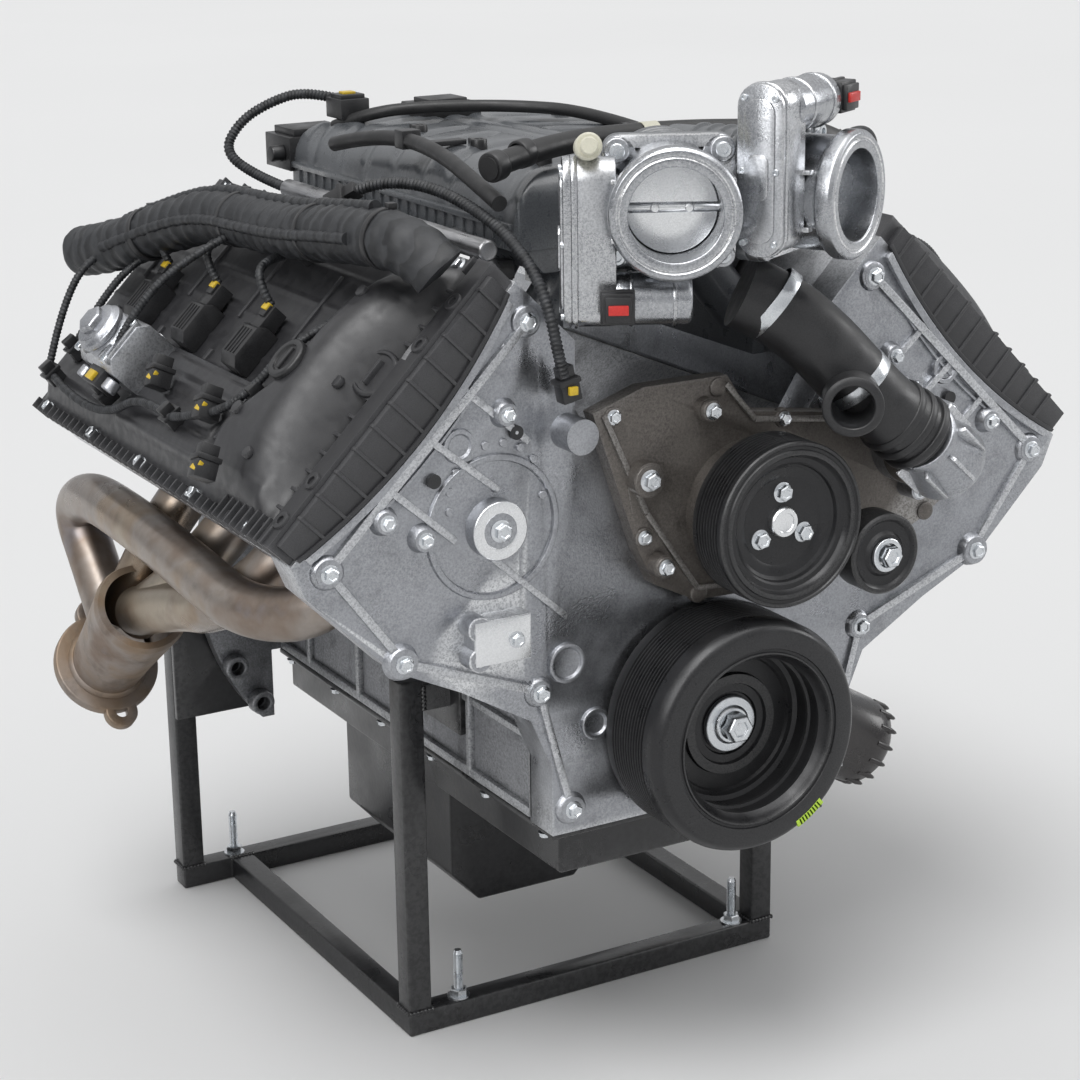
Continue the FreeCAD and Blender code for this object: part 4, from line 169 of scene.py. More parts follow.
@dataclass(frozen=True)
class Finish:
    """One surface, with its two shades, its gloss and its grain."""

    name: str
    shade: Colour
    second: Colour
    metallic: float = 0.0
    gloss: tuple[float, float] = (0.35, 0.6)
    grain: Grain = Grain.MOULDED
    scale: float = 300.0
    relief: float = 0.0001
    coat: float = 0.0
    specular: float = 0.5
    wear: Optional[Colour] = None
    grime: float = 0.0

    def material(self) -> bpy.types.Material:
        """The finish as a material, made on first use."""
        known = bpy.data.materials.get(self.name)
        if known:
            return known
        material = bpy.data.materials.new(self.name)
        material.use_nodes = True
        sheet = NodeSheet(material.node_tree)
        coords = sheet.add("ShaderNodeTexCoord").outputs["Object"]
        fine = self._fine(sheet, coords)
        patches = sheet.out("ShaderNodeTexNoise", {"Vector": coords, "Scale": self.scale/14, "Detail": 3.0})
        colour = sheet.blend(sheet.spread(fine, 0.3, 0.7, 0.0, 1.0), self.shade, self.second)
        colour = sheet.blend(sheet.spread(patches, 0.42, 0.68, 0.0, 0.45), colour, self.second)
        if self.grain is Grain.TINTED:
            colour = self._tint(sheet, coords, colour)
        if self.grime:
            dirt = sheet.out("ShaderNodeTexNoise", {"Vector": coords, "Scale": 38.0, "Detail": 8.0,
                "Roughness": 0.65})
            dark = tuple(value*0.35 for value in self.shade)
            colour = sheet.blend(sheet.spread(dirt, 0.52, 0.72, 0.0, self.grime), colour, dark)
        # Convex edges are lightened towards this colour: partly real rubbed wear, partly a painted highlight along
        # the edges.
        if self.wear:
            edge = sheet.add("ShaderNodeNewGeometry").outputs["Pointiness"]
            rub_and_highlight = sheet.math("MULTIPLY", sheet.spread(edge, 0.53, 0.6, 0.0, 0.8),
                sheet.spread(fine, 0.4, 0.6, 0.3, 1.0))
            colour = sheet.blend(rub_and_highlight, colour, self.wear)
        rough = sheet.spread(patches, 0.35, 0.65, *self.gloss)
        bump = sheet.add("ShaderNodeBump", {"Height": fine, "Strength": 0.6, "Distance": self.relief})
        shader = sheet.add("ShaderNodeBsdfPrincipled", {"Base Color": colour, "Roughness": rough,
            "Normal": bump.outputs[0]})
        shader.inputs["Metallic"].default_value = self.metallic
        shader.inputs["Coat Weight"].default_value = self.coat
        shader.inputs["Coat Roughness"].default_value = 0.12
        shader.inputs["Specular IOR Level"].default_value = self.specular
        sheet.add("ShaderNodeOutputMaterial", {"Surface": shader.outputs[0]})
        return material

    def _fine(self, sheet: NodeSheet, coords: Socket) -> Socket:
        """The fine pattern of the finish, from 0 to 1."""
        if self.grain is Grain.BRUSHED:
            moved = sheet.out("ShaderNodeMapping", {"Vector": coords, "Scale": (1.0, 0.06, 1.0)})
            return sheet.out("ShaderNodeTexNoise", {"Vector": moved, "Scale": self.scale*3, "Detail": 4.0})
        if self.grain is Grain.TAPED:
            along = sheet.add("ShaderNodeAttribute", attribute_name="along").outputs["Fac"]
            wobble = sheet.out("ShaderNodeTexNoise", {"Vector": coords, "Scale": 45.0})
            lap = sheet.math("FRACT", sheet.math("MULTIPLY_ADD", along, 70.0))
            lap = sheet.math("FRACT", sheet.math("ADD", lap, sheet.math("MULTIPLY", wobble, 1.6)))
            weave = sheet.out("ShaderNodeTexNoise", {"Vector": coords, "Scale": self.scale*4})
            return sheet.math("ADD", sheet.math("MULTIPLY", lap, 0.7), sheet.math("MULTIPLY", weave, 0.3))
        detail = 8.0 if self.grain in (Grain.CAST, Grain.TINTED) else 2.0
        noise = sheet.out("ShaderNodeTexNoise", {"Vector": coords, "Scale": self.scale, "Detail": detail,
            "Roughness": 0.6})
        if self.grain is Grain.CAST:
            cells = sheet.out("ShaderNodeTexVoronoi", {"Vector": coords, "Scale": self.scale*1.7})
            return sheet.math("ADD", sheet.math("MULTIPLY", noise, 0.75), sheet.math("MULTIPLY", cells, 0.3))
        return noise

    def _tint(self, sheet: NodeSheet, coords: Socket, colour: Socket) -> Socket:
        """Straw, brown and blue bands that heat leaves on stainless pipe."""
        noise = sheet.out("ShaderNodeTexNoise", {"Vector": coords, "Scale": 9.0, "Detail": 4.0, "Roughness": 0.55})
        ramp = sheet.add("ShaderNodeValToRGB", {"Fac": noise})
        stops = ((0.30, (0.42, 0.36, 0.28)), (0.42, (0.30, 0.22, 0.15)), (0.5, (0.34, 0.30, 0.27)),
            (0.58, (0.22, 0.16, 0.12)), (0.66, (0.26, 0.25, 0.28)), (0.75, (0.38, 0.33, 0.24)))
        elements = ramp.color_ramp.elements
        while len(elements) < len(stops):
            elements.new(0.5)
        for element, (place, shade) in zip(elements, stops):
            element.position = place
            element.color = (*shade, 1.0)
        return sheet.blend(0.72, colour, ramp.outputs[0])


CAST = Finish("cast aluminium", (0.25, 0.258, 0.275), (0.43, 0.44, 0.465), 0.92, (0.26, 0.44), Grain.CAST, 420.0,
    0.00035, grime=0.35, wear=(0.86, 0.87, 0.88))
BLOCK_CAST = Finish("block casting", (0.13, 0.134, 0.142), (0.30, 0.305, 0.32), 0.85, (0.38, 0.6), Grain.CAST,
    360.0, 0.0005, grime=0.6, wear=(0.66, 0.67, 0.68))
PUMP_CAST = Finish("pump casting", (0.085, 0.075, 0.07), (0.17, 0.155, 0.14), 0.55, (0.35, 0.6), Grain.CAST, 420.0,
    0.0003, wear=(0.4, 0.39, 0.38))
BRIGHT_CAST = Finish("bright casting", (0.24, 0.25, 0.265), (0.52, 0.53, 0.55), 0.96, (0.18, 0.34), Grain.CAST,
    500.0, 0.0002, wear=(0.9, 0.9, 0.9))
MACHINED = Finish("machined aluminium", (0.66, 0.67, 0.68), (0.86, 0.87, 0.88), 1.0, (0.16, 0.3), Grain.BRUSHED,
    300.0, 0.00006)
ZINC = Finish("zinc plate", (0.52, 0.55, 0.58), (0.74, 0.76, 0.78), 1.0, (0.2, 0.4), Grain.CAST, 900.0, 0.00005)
STEEL = Finish("ground steel", (0.36, 0.36, 0.37), (0.52, 0.52, 0.53), 1.0, (0.25, 0.45), Grain.BRUSHED, 400.0,
    0.00004)
IRON = Finish("cast iron", (0.17, 0.165, 0.16), (0.28, 0.27, 0.26), 0.7, (0.5, 0.7), Grain.CAST, 300.0, 0.0005)
DAMPER = Finish("black damper coat", (0.012, 0.012, 0.013), (0.028, 0.028, 0.03), 0.25, (0.26, 0.42), Grain.CAST,
    700.0, 0.00008, specular=0.45, wear=(0.12, 0.12, 0.12))
FRAME_PAINT = Finish("black frame paint", (0.010, 0.010, 0.011), (0.022, 0.022, 0.024), 0.0, (0.22, 0.42),
    Grain.MOULDED, 240.0, 0.0002, coat=0.15, specular=0.5, wear=(0.10, 0.10, 0.10))
COVER = Finish("charcoal cover plastic", (0.018, 0.018, 0.02), (0.034, 0.034, 0.037), 0.0, (0.32, 0.48), Grain.CAST,
    1500.0, 0.00007, specular=0.55, wear=(0.09, 0.09, 0.095))
INTAKE = Finish("grey intake plastic", (0.062, 0.067, 0.074), (0.115, 0.122, 0.132), 0.0, (0.24, 0.4),
    Grain.MOULDED, 900.0, 0.00006, coat=0.25, specular=0.6, wear=(0.16, 0.17, 0.18))
RUBBER = Finish("hose rubber", (0.010, 0.010, 0.011), (0.022, 0.022, 0.023), 0.0, (0.36, 0.55), Grain.MOULDED,
    800.0, 0.0001, specular=0.45)
TAPE = Finish("loom tape", (0.012, 0.013, 0.015), (0.034, 0.036, 0.04), 0.0, (0.4, 0.6), Grain.TAPED, 500.0, 0.0012,
    specular=0.45)
PLUG = Finish("connector plastic", (0.014, 0.014, 0.015), (0.028, 0.028, 0.03), 0.0, (0.3, 0.5), Grain.MOULDED,
    900.0, 0.00005)
RED_LOCK = Finish("red lock", (0.55, 0.02, 0.02), (0.68, 0.04, 0.03), 0.0, (0.3, 0.45), Grain.MOULDED, 900.0,
    0.00005)
YELLOW_LOCK = Finish("yellow lock", (0.62, 0.42, 0.02), (0.75, 0.52, 0.04), 0.0, (0.3, 0.45), Grain.MOULDED, 900.0,
    0.00005)
CREAM = Finish("cream fitting", (0.62, 0.60, 0.48), (0.72, 0.70, 0.58), 0.0, (0.3, 0.5), Grain.MOULDED, 700.0,
    0.00005)
HEADER = Finish("heat tinted stainless", (0.23, 0.21, 0.19), (0.35, 0.32, 0.29), 0.85, (0.26, 0.44), Grain.TINTED,
    160.0, 0.0001, grime=0.3)
RUSTY = Finish("rusted collector", (0.11, 0.075, 0.055), (0.20, 0.15, 0.115), 0.6, (0.4, 0.62), Grain.TINTED, 220.0,
    0.0004, grime=0.5)
FILTER_PAINT = Finish("filter paint", (0.016, 0.014, 0.014), (0.03, 0.026, 0.026), 0.0, (0.2, 0.34), Grain.MOULDED,
    500.0, 0.00005, coat=0.2)
LIME = Finish("lime paint mark", (0.42, 0.66, 0.03), (0.52, 0.76, 0.08), 0.0, (0.4, 0.6), Grain.MOULDED, 900.0,
    0.00005)
GASKET = Finish("gasket steel", (0.34, 0.33, 0.31), (0.46, 0.45, 0.42), 0.9, (0.3, 0.5), Grain.BRUSHED, 300.0,
    0.00004)


# ------------------------------------------------------------------------------------ meshes

def placed(name: str, data: Optional[bpy.types.ID]) -> Thing:
    """A new object in the scene that shows some data."""
    item = bpy.data.objects.new(name, data)
    bpy.context.scene.collection.objects.link(item)
    return item


class Shape:
    """Collects plain solids, in millimetres, into one mesh."""

    def __init__(self) -> None:
        """Starts empty."""
        self.bm = bmesh.new()

    def _moved(self, verts: Iterable[bmesh.types.BMVert], matrix: Matrix) -> None:
        """Moves new vertices into place."""
        for vert in verts:
            vert.co = matrix @ vert.co

    def lathe(self, profile: Sequence[tuple[float, float]], centre: Point = (0, 0, 0), axis: Point = (0, 1, 0),
            sides: int = 72) -> "Shape":
        """Turns a profile about an axis.

        Args:
            profile: radius and place along the axis of each point.
            centre: where the axis starts.
            axis: which way it runs.
            sides: faces round it.

        Returns:
            This shape.
        """
        turn = Vector(UP).rotation_difference(Vector(axis)).to_matrix().to_4x4()
        matrix = Matrix.Translation(Vector(centre)) @ turn
        rings = []
        for radius, along in profile:
            if radius < 1e-4:
                rings.append([self.bm.verts.new((0, 0, along))])
                continue
            rings.append([self.bm.verts.new((radius*cos(2*pi*step/sides), radius*sin(2*pi*step/sides),
                along)) for step in range(sides)])
        for first, second in zip(rings, rings[1:]):
            for step in range(sides):
                after = (step + 1) % sides
                corners = [first[step % len(first)], first[after % len(first)], second[after % len(second)],
                    second[step % len(second)]]
                unique = list(dict.fromkeys(corners))
                if len(unique) > 2:
                    self.bm.faces.new(unique)
        self._moved([vert for ring in rings for vert in ring], matrix)
        return self

    def rod(self, start: Point, end: Point, radius: float, far_radius: Optional[float] = None, sides: int = 28,
            edge: float = 0.0) -> "Shape":
        """A round bar, tapered or with eased ends if asked."""
        far = radius if far_radius is None else far_radius
        line = Vector(end) - Vector(start)
        length = line.length
        profile = [(0, 0), (radius - edge, 0), (radius, edge), (far, length - edge), (far - edge, length),
            (0, length)]
        if edge == 0:
            profile = [(0, 0), (radius, 0), (far, length), (0, length)]
        return self.lathe(profile, start, line.normalized(), sides)

    def box(self, low: Point, high: Point, matrix: Matrix = Matrix()) -> "Shape":
        """A box between two opposite corners, given in either order."""
        made = bmesh.ops.create_cube(self.bm, size=1.0)["verts"]
        middle = (Vector(low) + Vector(high))/2
        size = [abs(value) for value in Vector(high) - Vector(low)]
        self._moved(made, matrix @ Matrix.Translation(middle) @ Matrix.Diagonal((*size, 1.0)))
        return self

    def prism(self, outline: Sequence[tuple[float, float]], start: float, length: float,
            matrix: Matrix = Matrix()) -> "Shape":
        """An outline in the XZ plane, drawn out along +Y."""
        near = [self.bm.verts.new((x, start, z)) for x, z in outline]
        far = [self.bm.verts.new((x, start + length, z)) for x, z in outline]
        self.bm.faces.new(near)
        self.bm.faces.new(far[::-1])
        for index in range(len(outline)):
            after = (index + 1) % len(outline)
            self.bm.faces.new((near[index], far[index], far[after], near[after]))
        self._moved(near + far, matrix)
        return self

    def grid(self, columns: Sequence[float], rows: Sequence[float], height: Callable[[float, float], float],
            skirt: float) -> "Shape":
        """A surface over a grid with a skirt down to a level."""
        net = [[self.bm.verts.new((x, y, height(x, y))) for y in rows] for x in columns]
        for i in range(len(columns) - 1):
            for j in range(len(rows) - 1):
                self.bm.faces.new((net[i][j], net[i + 1][j], net[i + 1][j + 1], net[i][j + 1]))
        last_i, last_j = len(columns) - 1, len(rows) - 1
        rim = [(i, 0) for i in range(last_i)] + [(last_i, j) for j in range(last_j)]
        rim += [(i, last_j) for i in range(last_i, 0, -1)] + [(0, j) for j in range(last_j, 0, -1)]
        top = [net[i][j] for i, j in rim]
        low = [self.bm.verts.new((vert.co.x, vert.co.y, skirt)) for vert in top]
        for index in range(len(top)):
            after = (index + 1) % len(top)
            self.bm.faces.new((top[index], low[index], low[after], top[after]))
        return self

    def mesh_object(self, name: str, matrix: Matrix = Matrix(), ease: float = 0.0, flat_angle: float = 32.0,
            wall: float = 0.0, steps: int = 2) -> Thing:
        """Finishes the mesh.

        Args:
            name: the piece's name.
            matrix: moves it into place, in millimetres.
            ease: width of the bevel on its sharp edges.
            flat_angle: edges sharper than this stay crisp.
            wall: thickness given to an open skin.
            steps: segments of the bevel.

        Returns:
            The object, at the origin, in metres.
        """
        bmesh.ops.remove_doubles(self.bm, verts=self.bm.verts, dist=1e-4)
        bmesh.ops.recalc_face_normals(self.bm, faces=self.bm.faces)
        self.bm.transform(Matrix.Scale(MM, 4) @ matrix)
        mesh = bpy.data.meshes.new(name)
        self.bm.to_mesh(mesh)
        self.bm.free()
        item = placed(name, mesh)
        if wall:
            shell = item.modifiers.new("wall", "SOLIDIFY")
            shell.thickness = wall*MM
            shell.offset = -1.0
        return eased(item, ease, flat_angle, steps)

    def piece(self, name: str, finish: Finish, matrix: Matrix = Matrix(), **how: float) -> Thing:
        """The finished mesh in one finish, with mesh_object's settings for its edges and wall."""
        return painted(self.mesh_object(name, matrix, **how), finish)


def eased(item: Thing, width: float, flat_angle: float = 32.0, steps: int = 2) -> Thing:
    """Bevels sharp edges, applies the modifiers and smooths the shading.

    Args:
        item: the object.
        width: bevel width in millimetres, or 0 for none.
        flat_angle: edges sharper than this, in degrees, are bevelled or stay crisp.
        steps: segments of the bevel.

    Returns:
        The same object with a plain mesh.
    """
    if width:
        bevel = item.modifiers.new("ease", "BEVEL")
        bevel.width = width*MM
        bevel.segments = steps
        bevel.limit_method = "ANGLE"
        bevel.angle_limit = radians(flat_angle)
        bevel.use_clamp_overlap = True
        bevel.harden_normals = False
    if item.modifiers:
        plain(item)
    item.data.set_sharp_from_angle(angle=radians(flat_angle))
    for face in item.data.polygons:
        face.use_smooth = True
    return item


def plain(item: Thing) -> Thing:
    """Turns the evaluated object into a plain mesh without modifiers."""
    graph = bpy.context.evaluated_depsgraph_get()
    mesh = bpy.data.meshes.new_from_object(item.evaluated_get(graph), preserve_all_data_layers=True,
        depsgraph=graph)
    item.modifiers.clear()
    old = item.data
    item.data = mesh
    mesh.name = item.name
    if old.users == 0 and isinstance(old, bpy.types.Mesh):
        bpy.data.meshes.remove(old)
    return item


def joined(name: str, items: Sequence[Thing]) -> Thing:
    """One object from several, which keep their own materials.

    Args:
        name: the new name.
        items: mesh objects at the origin.

    Returns:
        The joined object.
    """
    base = bmesh.new()
    materials: list[bpy.types.Material] = []
    for item in items:
        slots = []
        for material in item.data.materials:
            if material not in materials:
                materials.append(material)
            slots.append(materials.index(material))
        start = len(base.faces)
        base.from_mesh(item.data)
        base.faces.ensure_lookup_table()
        for face in base.faces[start:]:
            face.material_index = slots[face.material_index] if slots else 0
    mesh = bpy.data.meshes.new(name)
    base.to_mesh(mesh)
    base.free()
    for material in materials:
        mesh.materials.append(material)
    for item in items:
        old = item.data
        bpy.data.objects.remove(item)
        bpy.data.meshes.remove(old)
    whole = placed(name, mesh)
    return whole


def painted(item: Thing, finish: Finish) -> Thing:
    """Gives an object one finish."""
    item.data.materials.clear()
    item.data.materials.append(finish.material())
    return item


def settle(item: Thing, replaced: Sequence[str] = (), body: str = ROOT) -> Thing:
    """Says what a finished piece is.

    Args:
        item: the piece.
        replaced: the CAD nodes that it stands for.
        body: the body that it moves with.

    Returns:
        The piece.
    """
    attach(item, body)
    if replaced:
        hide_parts(*replaced)
    LOG.info("%s: %d faces on %s", item.name, len(item.data.polygons), body)
    return item


def softened(node: str, name: str, ease: float, flat_angle: float = 30.0, steps: int = 2) -> Thing:
    """A merged copy of a CAD node with eased edges."""
    mesh = frame["nodes"][node].data.copy()
    mesh.name = name
    mesh.materials.clear()
    bm = bmesh.new()
    bm.from_mesh(mesh)
    bmesh.ops.remove_doubles(bm, verts=bm.verts, dist=2e-5)
    bmesh.ops.dissolve_limit(bm, angle_limit=radians(0.6), verts=bm.verts, edges=bm.edges)
    bm.to_mesh(mesh)
    bm.free()
    item = placed(name, mesh)
    return eased(item, ease, flat_angle, steps)


# ------------------------------------------------------------------------------------ geometry nodes

class NodeTree:
    """A Geometry Nodes tree with named inputs that is applied to an object and taken off again."""

    name = "tree"
    inputs: tuple[tuple[str, str], ...] = ()

    def __init__(self) -> None:
        """Builds the tree."""
        self.group = bpy.data.node_groups.new(self.name, "GeometryNodeTree")
        self.group.interface.new_socket("Geometry", in_out="INPUT", socket_type="NodeSocketGeometry")
        for label, kind in self.inputs:
            self.group.interface.new_socket(label, in_out="INPUT", socket_type=kind)
        self.group.interface.new_socket("Geometry", in_out="OUTPUT", socket_type="NodeSocketGeometry")
        self.sheet = NodeSheet(self.group)
        self.source = self.sheet.add("NodeGroupInput")
        result = self.sheet.add("GeometryNodeSetMaterial",
            {"Geometry": self.build(), "Material": self.source.outputs["Finish"]})
        self.sheet.add("NodeGroupOutput", {0: result.outputs[0]})

    def build(self) -> Socket:
        """Adds the tree's own nodes and returns their geometry."""
        raise NotImplementedError

    def apply(self, item: Thing, **values) -> Thing:
        """Runs the tree on an object.

        Args:
            item: the object that carries the points or the curve.
            values: the tree's inputs, by name with underscores for spaces.

        Returns:
            A plain mesh object.
        """
        modifier = item.modifiers.new(self.name, "NODES")
        modifier.node_group = self.group
        for socket in self.group.interface.items_tree:
            key = socket.name.replace(" ", "_")
            if socket.item_type == "SOCKET" and socket.in_out == "INPUT" and key in values:
                modifier[socket.identifier] = values[key]
        graph = bpy.context.evaluated_depsgraph_get()
        mesh = bpy.data.meshes.new_from_object(item.evaluated_get(graph), preserve_all_data_layers=True,
            depsgraph=graph)
        result = bpy.data.objects.new(item.name, mesh)
        name = item.name
        bpy.data.objects.remove(item)
        result.name = name
        bpy.context.scene.collection.objects.link(result)
        return result


class CopiesTree(NodeTree):
    """Sets a small template on points, turned along each point's own direction."""

    name = "copies on points"
    inputs = (("Template", "NodeSocketObject"), ("Seed", "NodeSocketInt"), ("Spin", "NodeSocketFloat"),
        ("Finish", "NodeSocketMaterial"))

    def build(self) -> Socket:
        """Points, aim and size give the instances."""
        sheet, source = self.sheet, self.source
        template = sheet.add("GeometryNodeObjectInfo", {"Object": source.outputs["Template"]})
        aim = sheet.add("GeometryNodeInputNamedAttribute", {"Name": "aim"}, data_type="FLOAT_VECTOR")
        size = sheet.add("GeometryNodeInputNamedAttribute", {"Name": "size"}, data_type="FLOAT")
        spin = sheet.add("FunctionNodeRandomValue", {"Seed": source.outputs["Seed"]}, data_type="FLOAT")
        self.group.links.new(source.outputs["Spin"], spin.inputs[3])
        turned = sheet.add("FunctionNodeAxisAngleToRotation", {"Axis": (0.0, 0.0, 1.0), "Angle": spin.outputs[1]})
        pointed = sheet.add("FunctionNodeAlignRotationToVector", {"Vector": aim.outputs[0]}, axis="Z")
        whole = sheet.add("FunctionNodeRotateRotation",
            {"Rotation": pointed.outputs[0], "Rotate By": turned.outputs[0]}, rotation_space="LOCAL")
        copies = sheet.add("GeometryNodeInstanceOnPoints",
            {"Points": source.outputs["Geometry"], "Instance": template.outputs["Geometry"],
            "Rotation": whole.outputs[0], "Scale": size.outputs[0]})
        return sheet.out("GeometryNodeRealizeInstances", {"Geometry": copies.outputs[0]})


class HoseTree(NodeTree):
    """Sweeps a circle along a curve, with ripples along it for laps of tape or corrugations."""

    name = "round along a curve"
    crease_scale = 62.0
    inputs = (("Radius", "NodeSocketFloat"), ("Ripple", "NodeSocketFloat"), ("Pitch", "NodeSocketFloat"),
        ("Step", "NodeSocketFloat"), ("Sides", "NodeSocketInt"), ("Lump", "NodeSocketFloat"),
        ("Finish", "NodeSocketMaterial"))

    def build(self) -> Socket:
        """The curve's length drives the radius."""
        sheet, source = self.sheet, self.source
        even = sheet.add("GeometryNodeResampleCurve",
            {"Curve": source.outputs["Geometry"], "Length": source.outputs["Step"]}, mode="LENGTH")
        length = sheet.add("GeometryNodeSplineParameter").outputs["Length"]
        wave = sheet.math("SINE", sheet.math("MULTIPLY", sheet.math("DIVIDE", length, source.outputs["Pitch"]),
            2*pi))
        swell = sheet.math("ADD", 1.0, sheet.math("MULTIPLY", wave, source.outputs["Ripple"]))
        radius = sheet.math("MULTIPLY", swell, source.outputs["Radius"])
        noted = sheet.add("GeometryNodeStoreNamedAttribute", {"Geometry": even.outputs[0], "Name": "along",
            "Value": length}, data_type="FLOAT", domain="POINT")
        circle = sheet.add("GeometryNodeCurvePrimitiveCircle", {"Resolution": source.outputs["Sides"],
            "Radius": 1.0})
        swept = sheet.add("GeometryNodeCurveToMesh", {"Curve": noted.outputs[0], "Profile Curve": circle.outputs[0],
            "Scale": radius, "Fill Caps": True})
        place = sheet.out("GeometryNodeInputPosition")
        cloud = sheet.out("ShaderNodeTexNoise", {"Vector": place, "Scale": self.crease_scale})
        push = sheet.math("MULTIPLY", sheet.math("SUBTRACT", cloud, 0.5), source.outputs["Lump"])
        facing = sheet.out("GeometryNodeInputNormal")
        offset = sheet.out("ShaderNodeVectorMath", {"Vector": facing, "Scale": push}, operation="SCALE")
        creased = sheet.add("GeometryNodeSetPosition", {"Geometry": swept.outputs[0], "Offset": offset})
        return sheet.out("GeometryNodeRealizeInstances", {"Geometry": creased.outputs[0]})


COPIES = CopiesTree()
HOSE = HoseTree()


@dataclass
class Spot:
    """Where a repeated piece goes: its foot, which way it points and how large it is."""

    at: Point
    aim: Point = (0.0, -1.0, 0.0)
    size: float = 1.0


def repeated(name: str, template: Thing, spots: Sequence[Spot], finish: Finish, spin: float = 6.28,
        seed: int = 3) -> Thing:
    """Copies of a template at spots, as one mesh.

    Args:
        name: the piece's name.
        template: a mesh in metres that stands on the origin along +Z, which is then deleted.
        spots: where the copies go.
        finish: their finish.
        spin: the largest random turn about each copy's own axis.
        seed: fixes the turns.

    Returns:
        The piece.
    """
    mesh = bpy.data.meshes.new(name)
    mesh.from_pydata([tuple(value*MM for value in spot.at) for spot in spots], [], [])
    mesh.attributes.new("aim", "FLOAT_VECTOR", "POINT")
    mesh.attributes.new("size", "FLOAT", "POINT")
    for index, spot in enumerate(spots):
        mesh.attributes["aim"].data[index].vector = spot.aim
        mesh.attributes["size"].data[index].value = spot.size
    carrier = placed(name, mesh)
    made = COPIES.apply(carrier, Template=template, Seed=seed, Spin=spin, Finish=finish.material())
    old = template.data
    bpy.data.objects.remove(template)
    bpy.data.meshes.remove(old)
    return eased(made, 0.0)


def swept(name: str, route: Sequence[Point], radius: float, finish: Finish, ripple: float = 0.0, pitch: float = 4.0,
        sides: int = 24, step: float = 2.5, lump: float = 0.0) -> Thing:
    """A round piece along a smooth route.

    Args:
        name: the piece's name.
        route: the control points of its line.
        radius: its radius.
        finish: its finish.
        ripple: share of the radius that it swells by.
        pitch: distance between ripples.
        sides: faces round it.
        step: distance between its rings.
        lump: depth of the creases and lumps in it.

    Returns:
        The piece.
    """
    curve = bpy.data.curves.new(name, "CURVE")
    curve.dimensions = "3D"
    spline = curve.splines.new("NURBS")
    spline.points.add(len(route) - 1)
    for point, place in zip(spline.points, route):
        point.co = (*(value*MM for value in place), 1.0)
    spline.order_u = 3
    spline.use_endpoint_u = True
    spline.resolution_u = 16
    item = placed(name, curve)
    return eased(HOSE.apply(item, Radius=radius*MM, Ripple=ripple, Pitch=pitch*MM, Step=step*MM, Sides=sides,
        Lump=lump*MM, Finish=finish.material()), 0.0, 50.0)


def hex_bolt(name: str = "bolt") -> Thing:
    """A hexagon head on its flange, one millimetre in head radius, standing on the origin."""
    shape = Shape()
    shape.lathe([(0, 0), (1.28, 0), (1.28, 0.12), (0.95, 0.3), (0, 0.3)], axis=UP, sides=24)
    shape.lathe([(0, 0.25), (1.0, 0.25), (1.0, 0.95), (0.86, 1.05), (0.6, 1.05), (0.52, 0.95), (0, 0.95)], axis=UP,
        sides=6)
    return shape.mesh_object(name)


def bolted(name: str, spots: Sequence[Spot], replaced: Sequence[str] = (), body: str = ROOT) -> None:
    """Plated hexagon bolts at spots, as one piece."""
    settle(repeated(name, hex_bolt(), spots, ZINC), replaced, body)


def cap_screw(name: str = "screw") -> Thing:
    """A round head with a six-sided socket, one millimetre in head radius."""
    shape = Shape()
    shape.lathe([(0, 0), (1.0, 0), (1.0, 0.75), (0.9, 0.85), (0.55, 0.85), (0.55, 0.4), (0, 0.4)], axis=UP,
        sides=24)
    return shape.mesh_object(name)


# ------------------------------------------------------------------------------------ sub-assemblies

def ease_between(low: float, high: float, value: float) -> float:
    """Rises smoothly from 0 to 1 between two values."""
    share = min(max((value - low)/(high - low), 0.0), 1.0)
    return share*share*(3.0 - 2.0*share)


def steps(start: float, stop: float, count: int) -> list[float]:
    """Evenly spaced values, both ends included."""
    return [start + (stop - start)*index/(count - 1) for index in range(count)]


def blend_max(first: float, second: float, width: float) -> float:
    """The larger of two values, rounded where they meet."""
    share = max(width - abs(first - second), 0.0)/width
    return max(first, second) + share*share*width/4.0


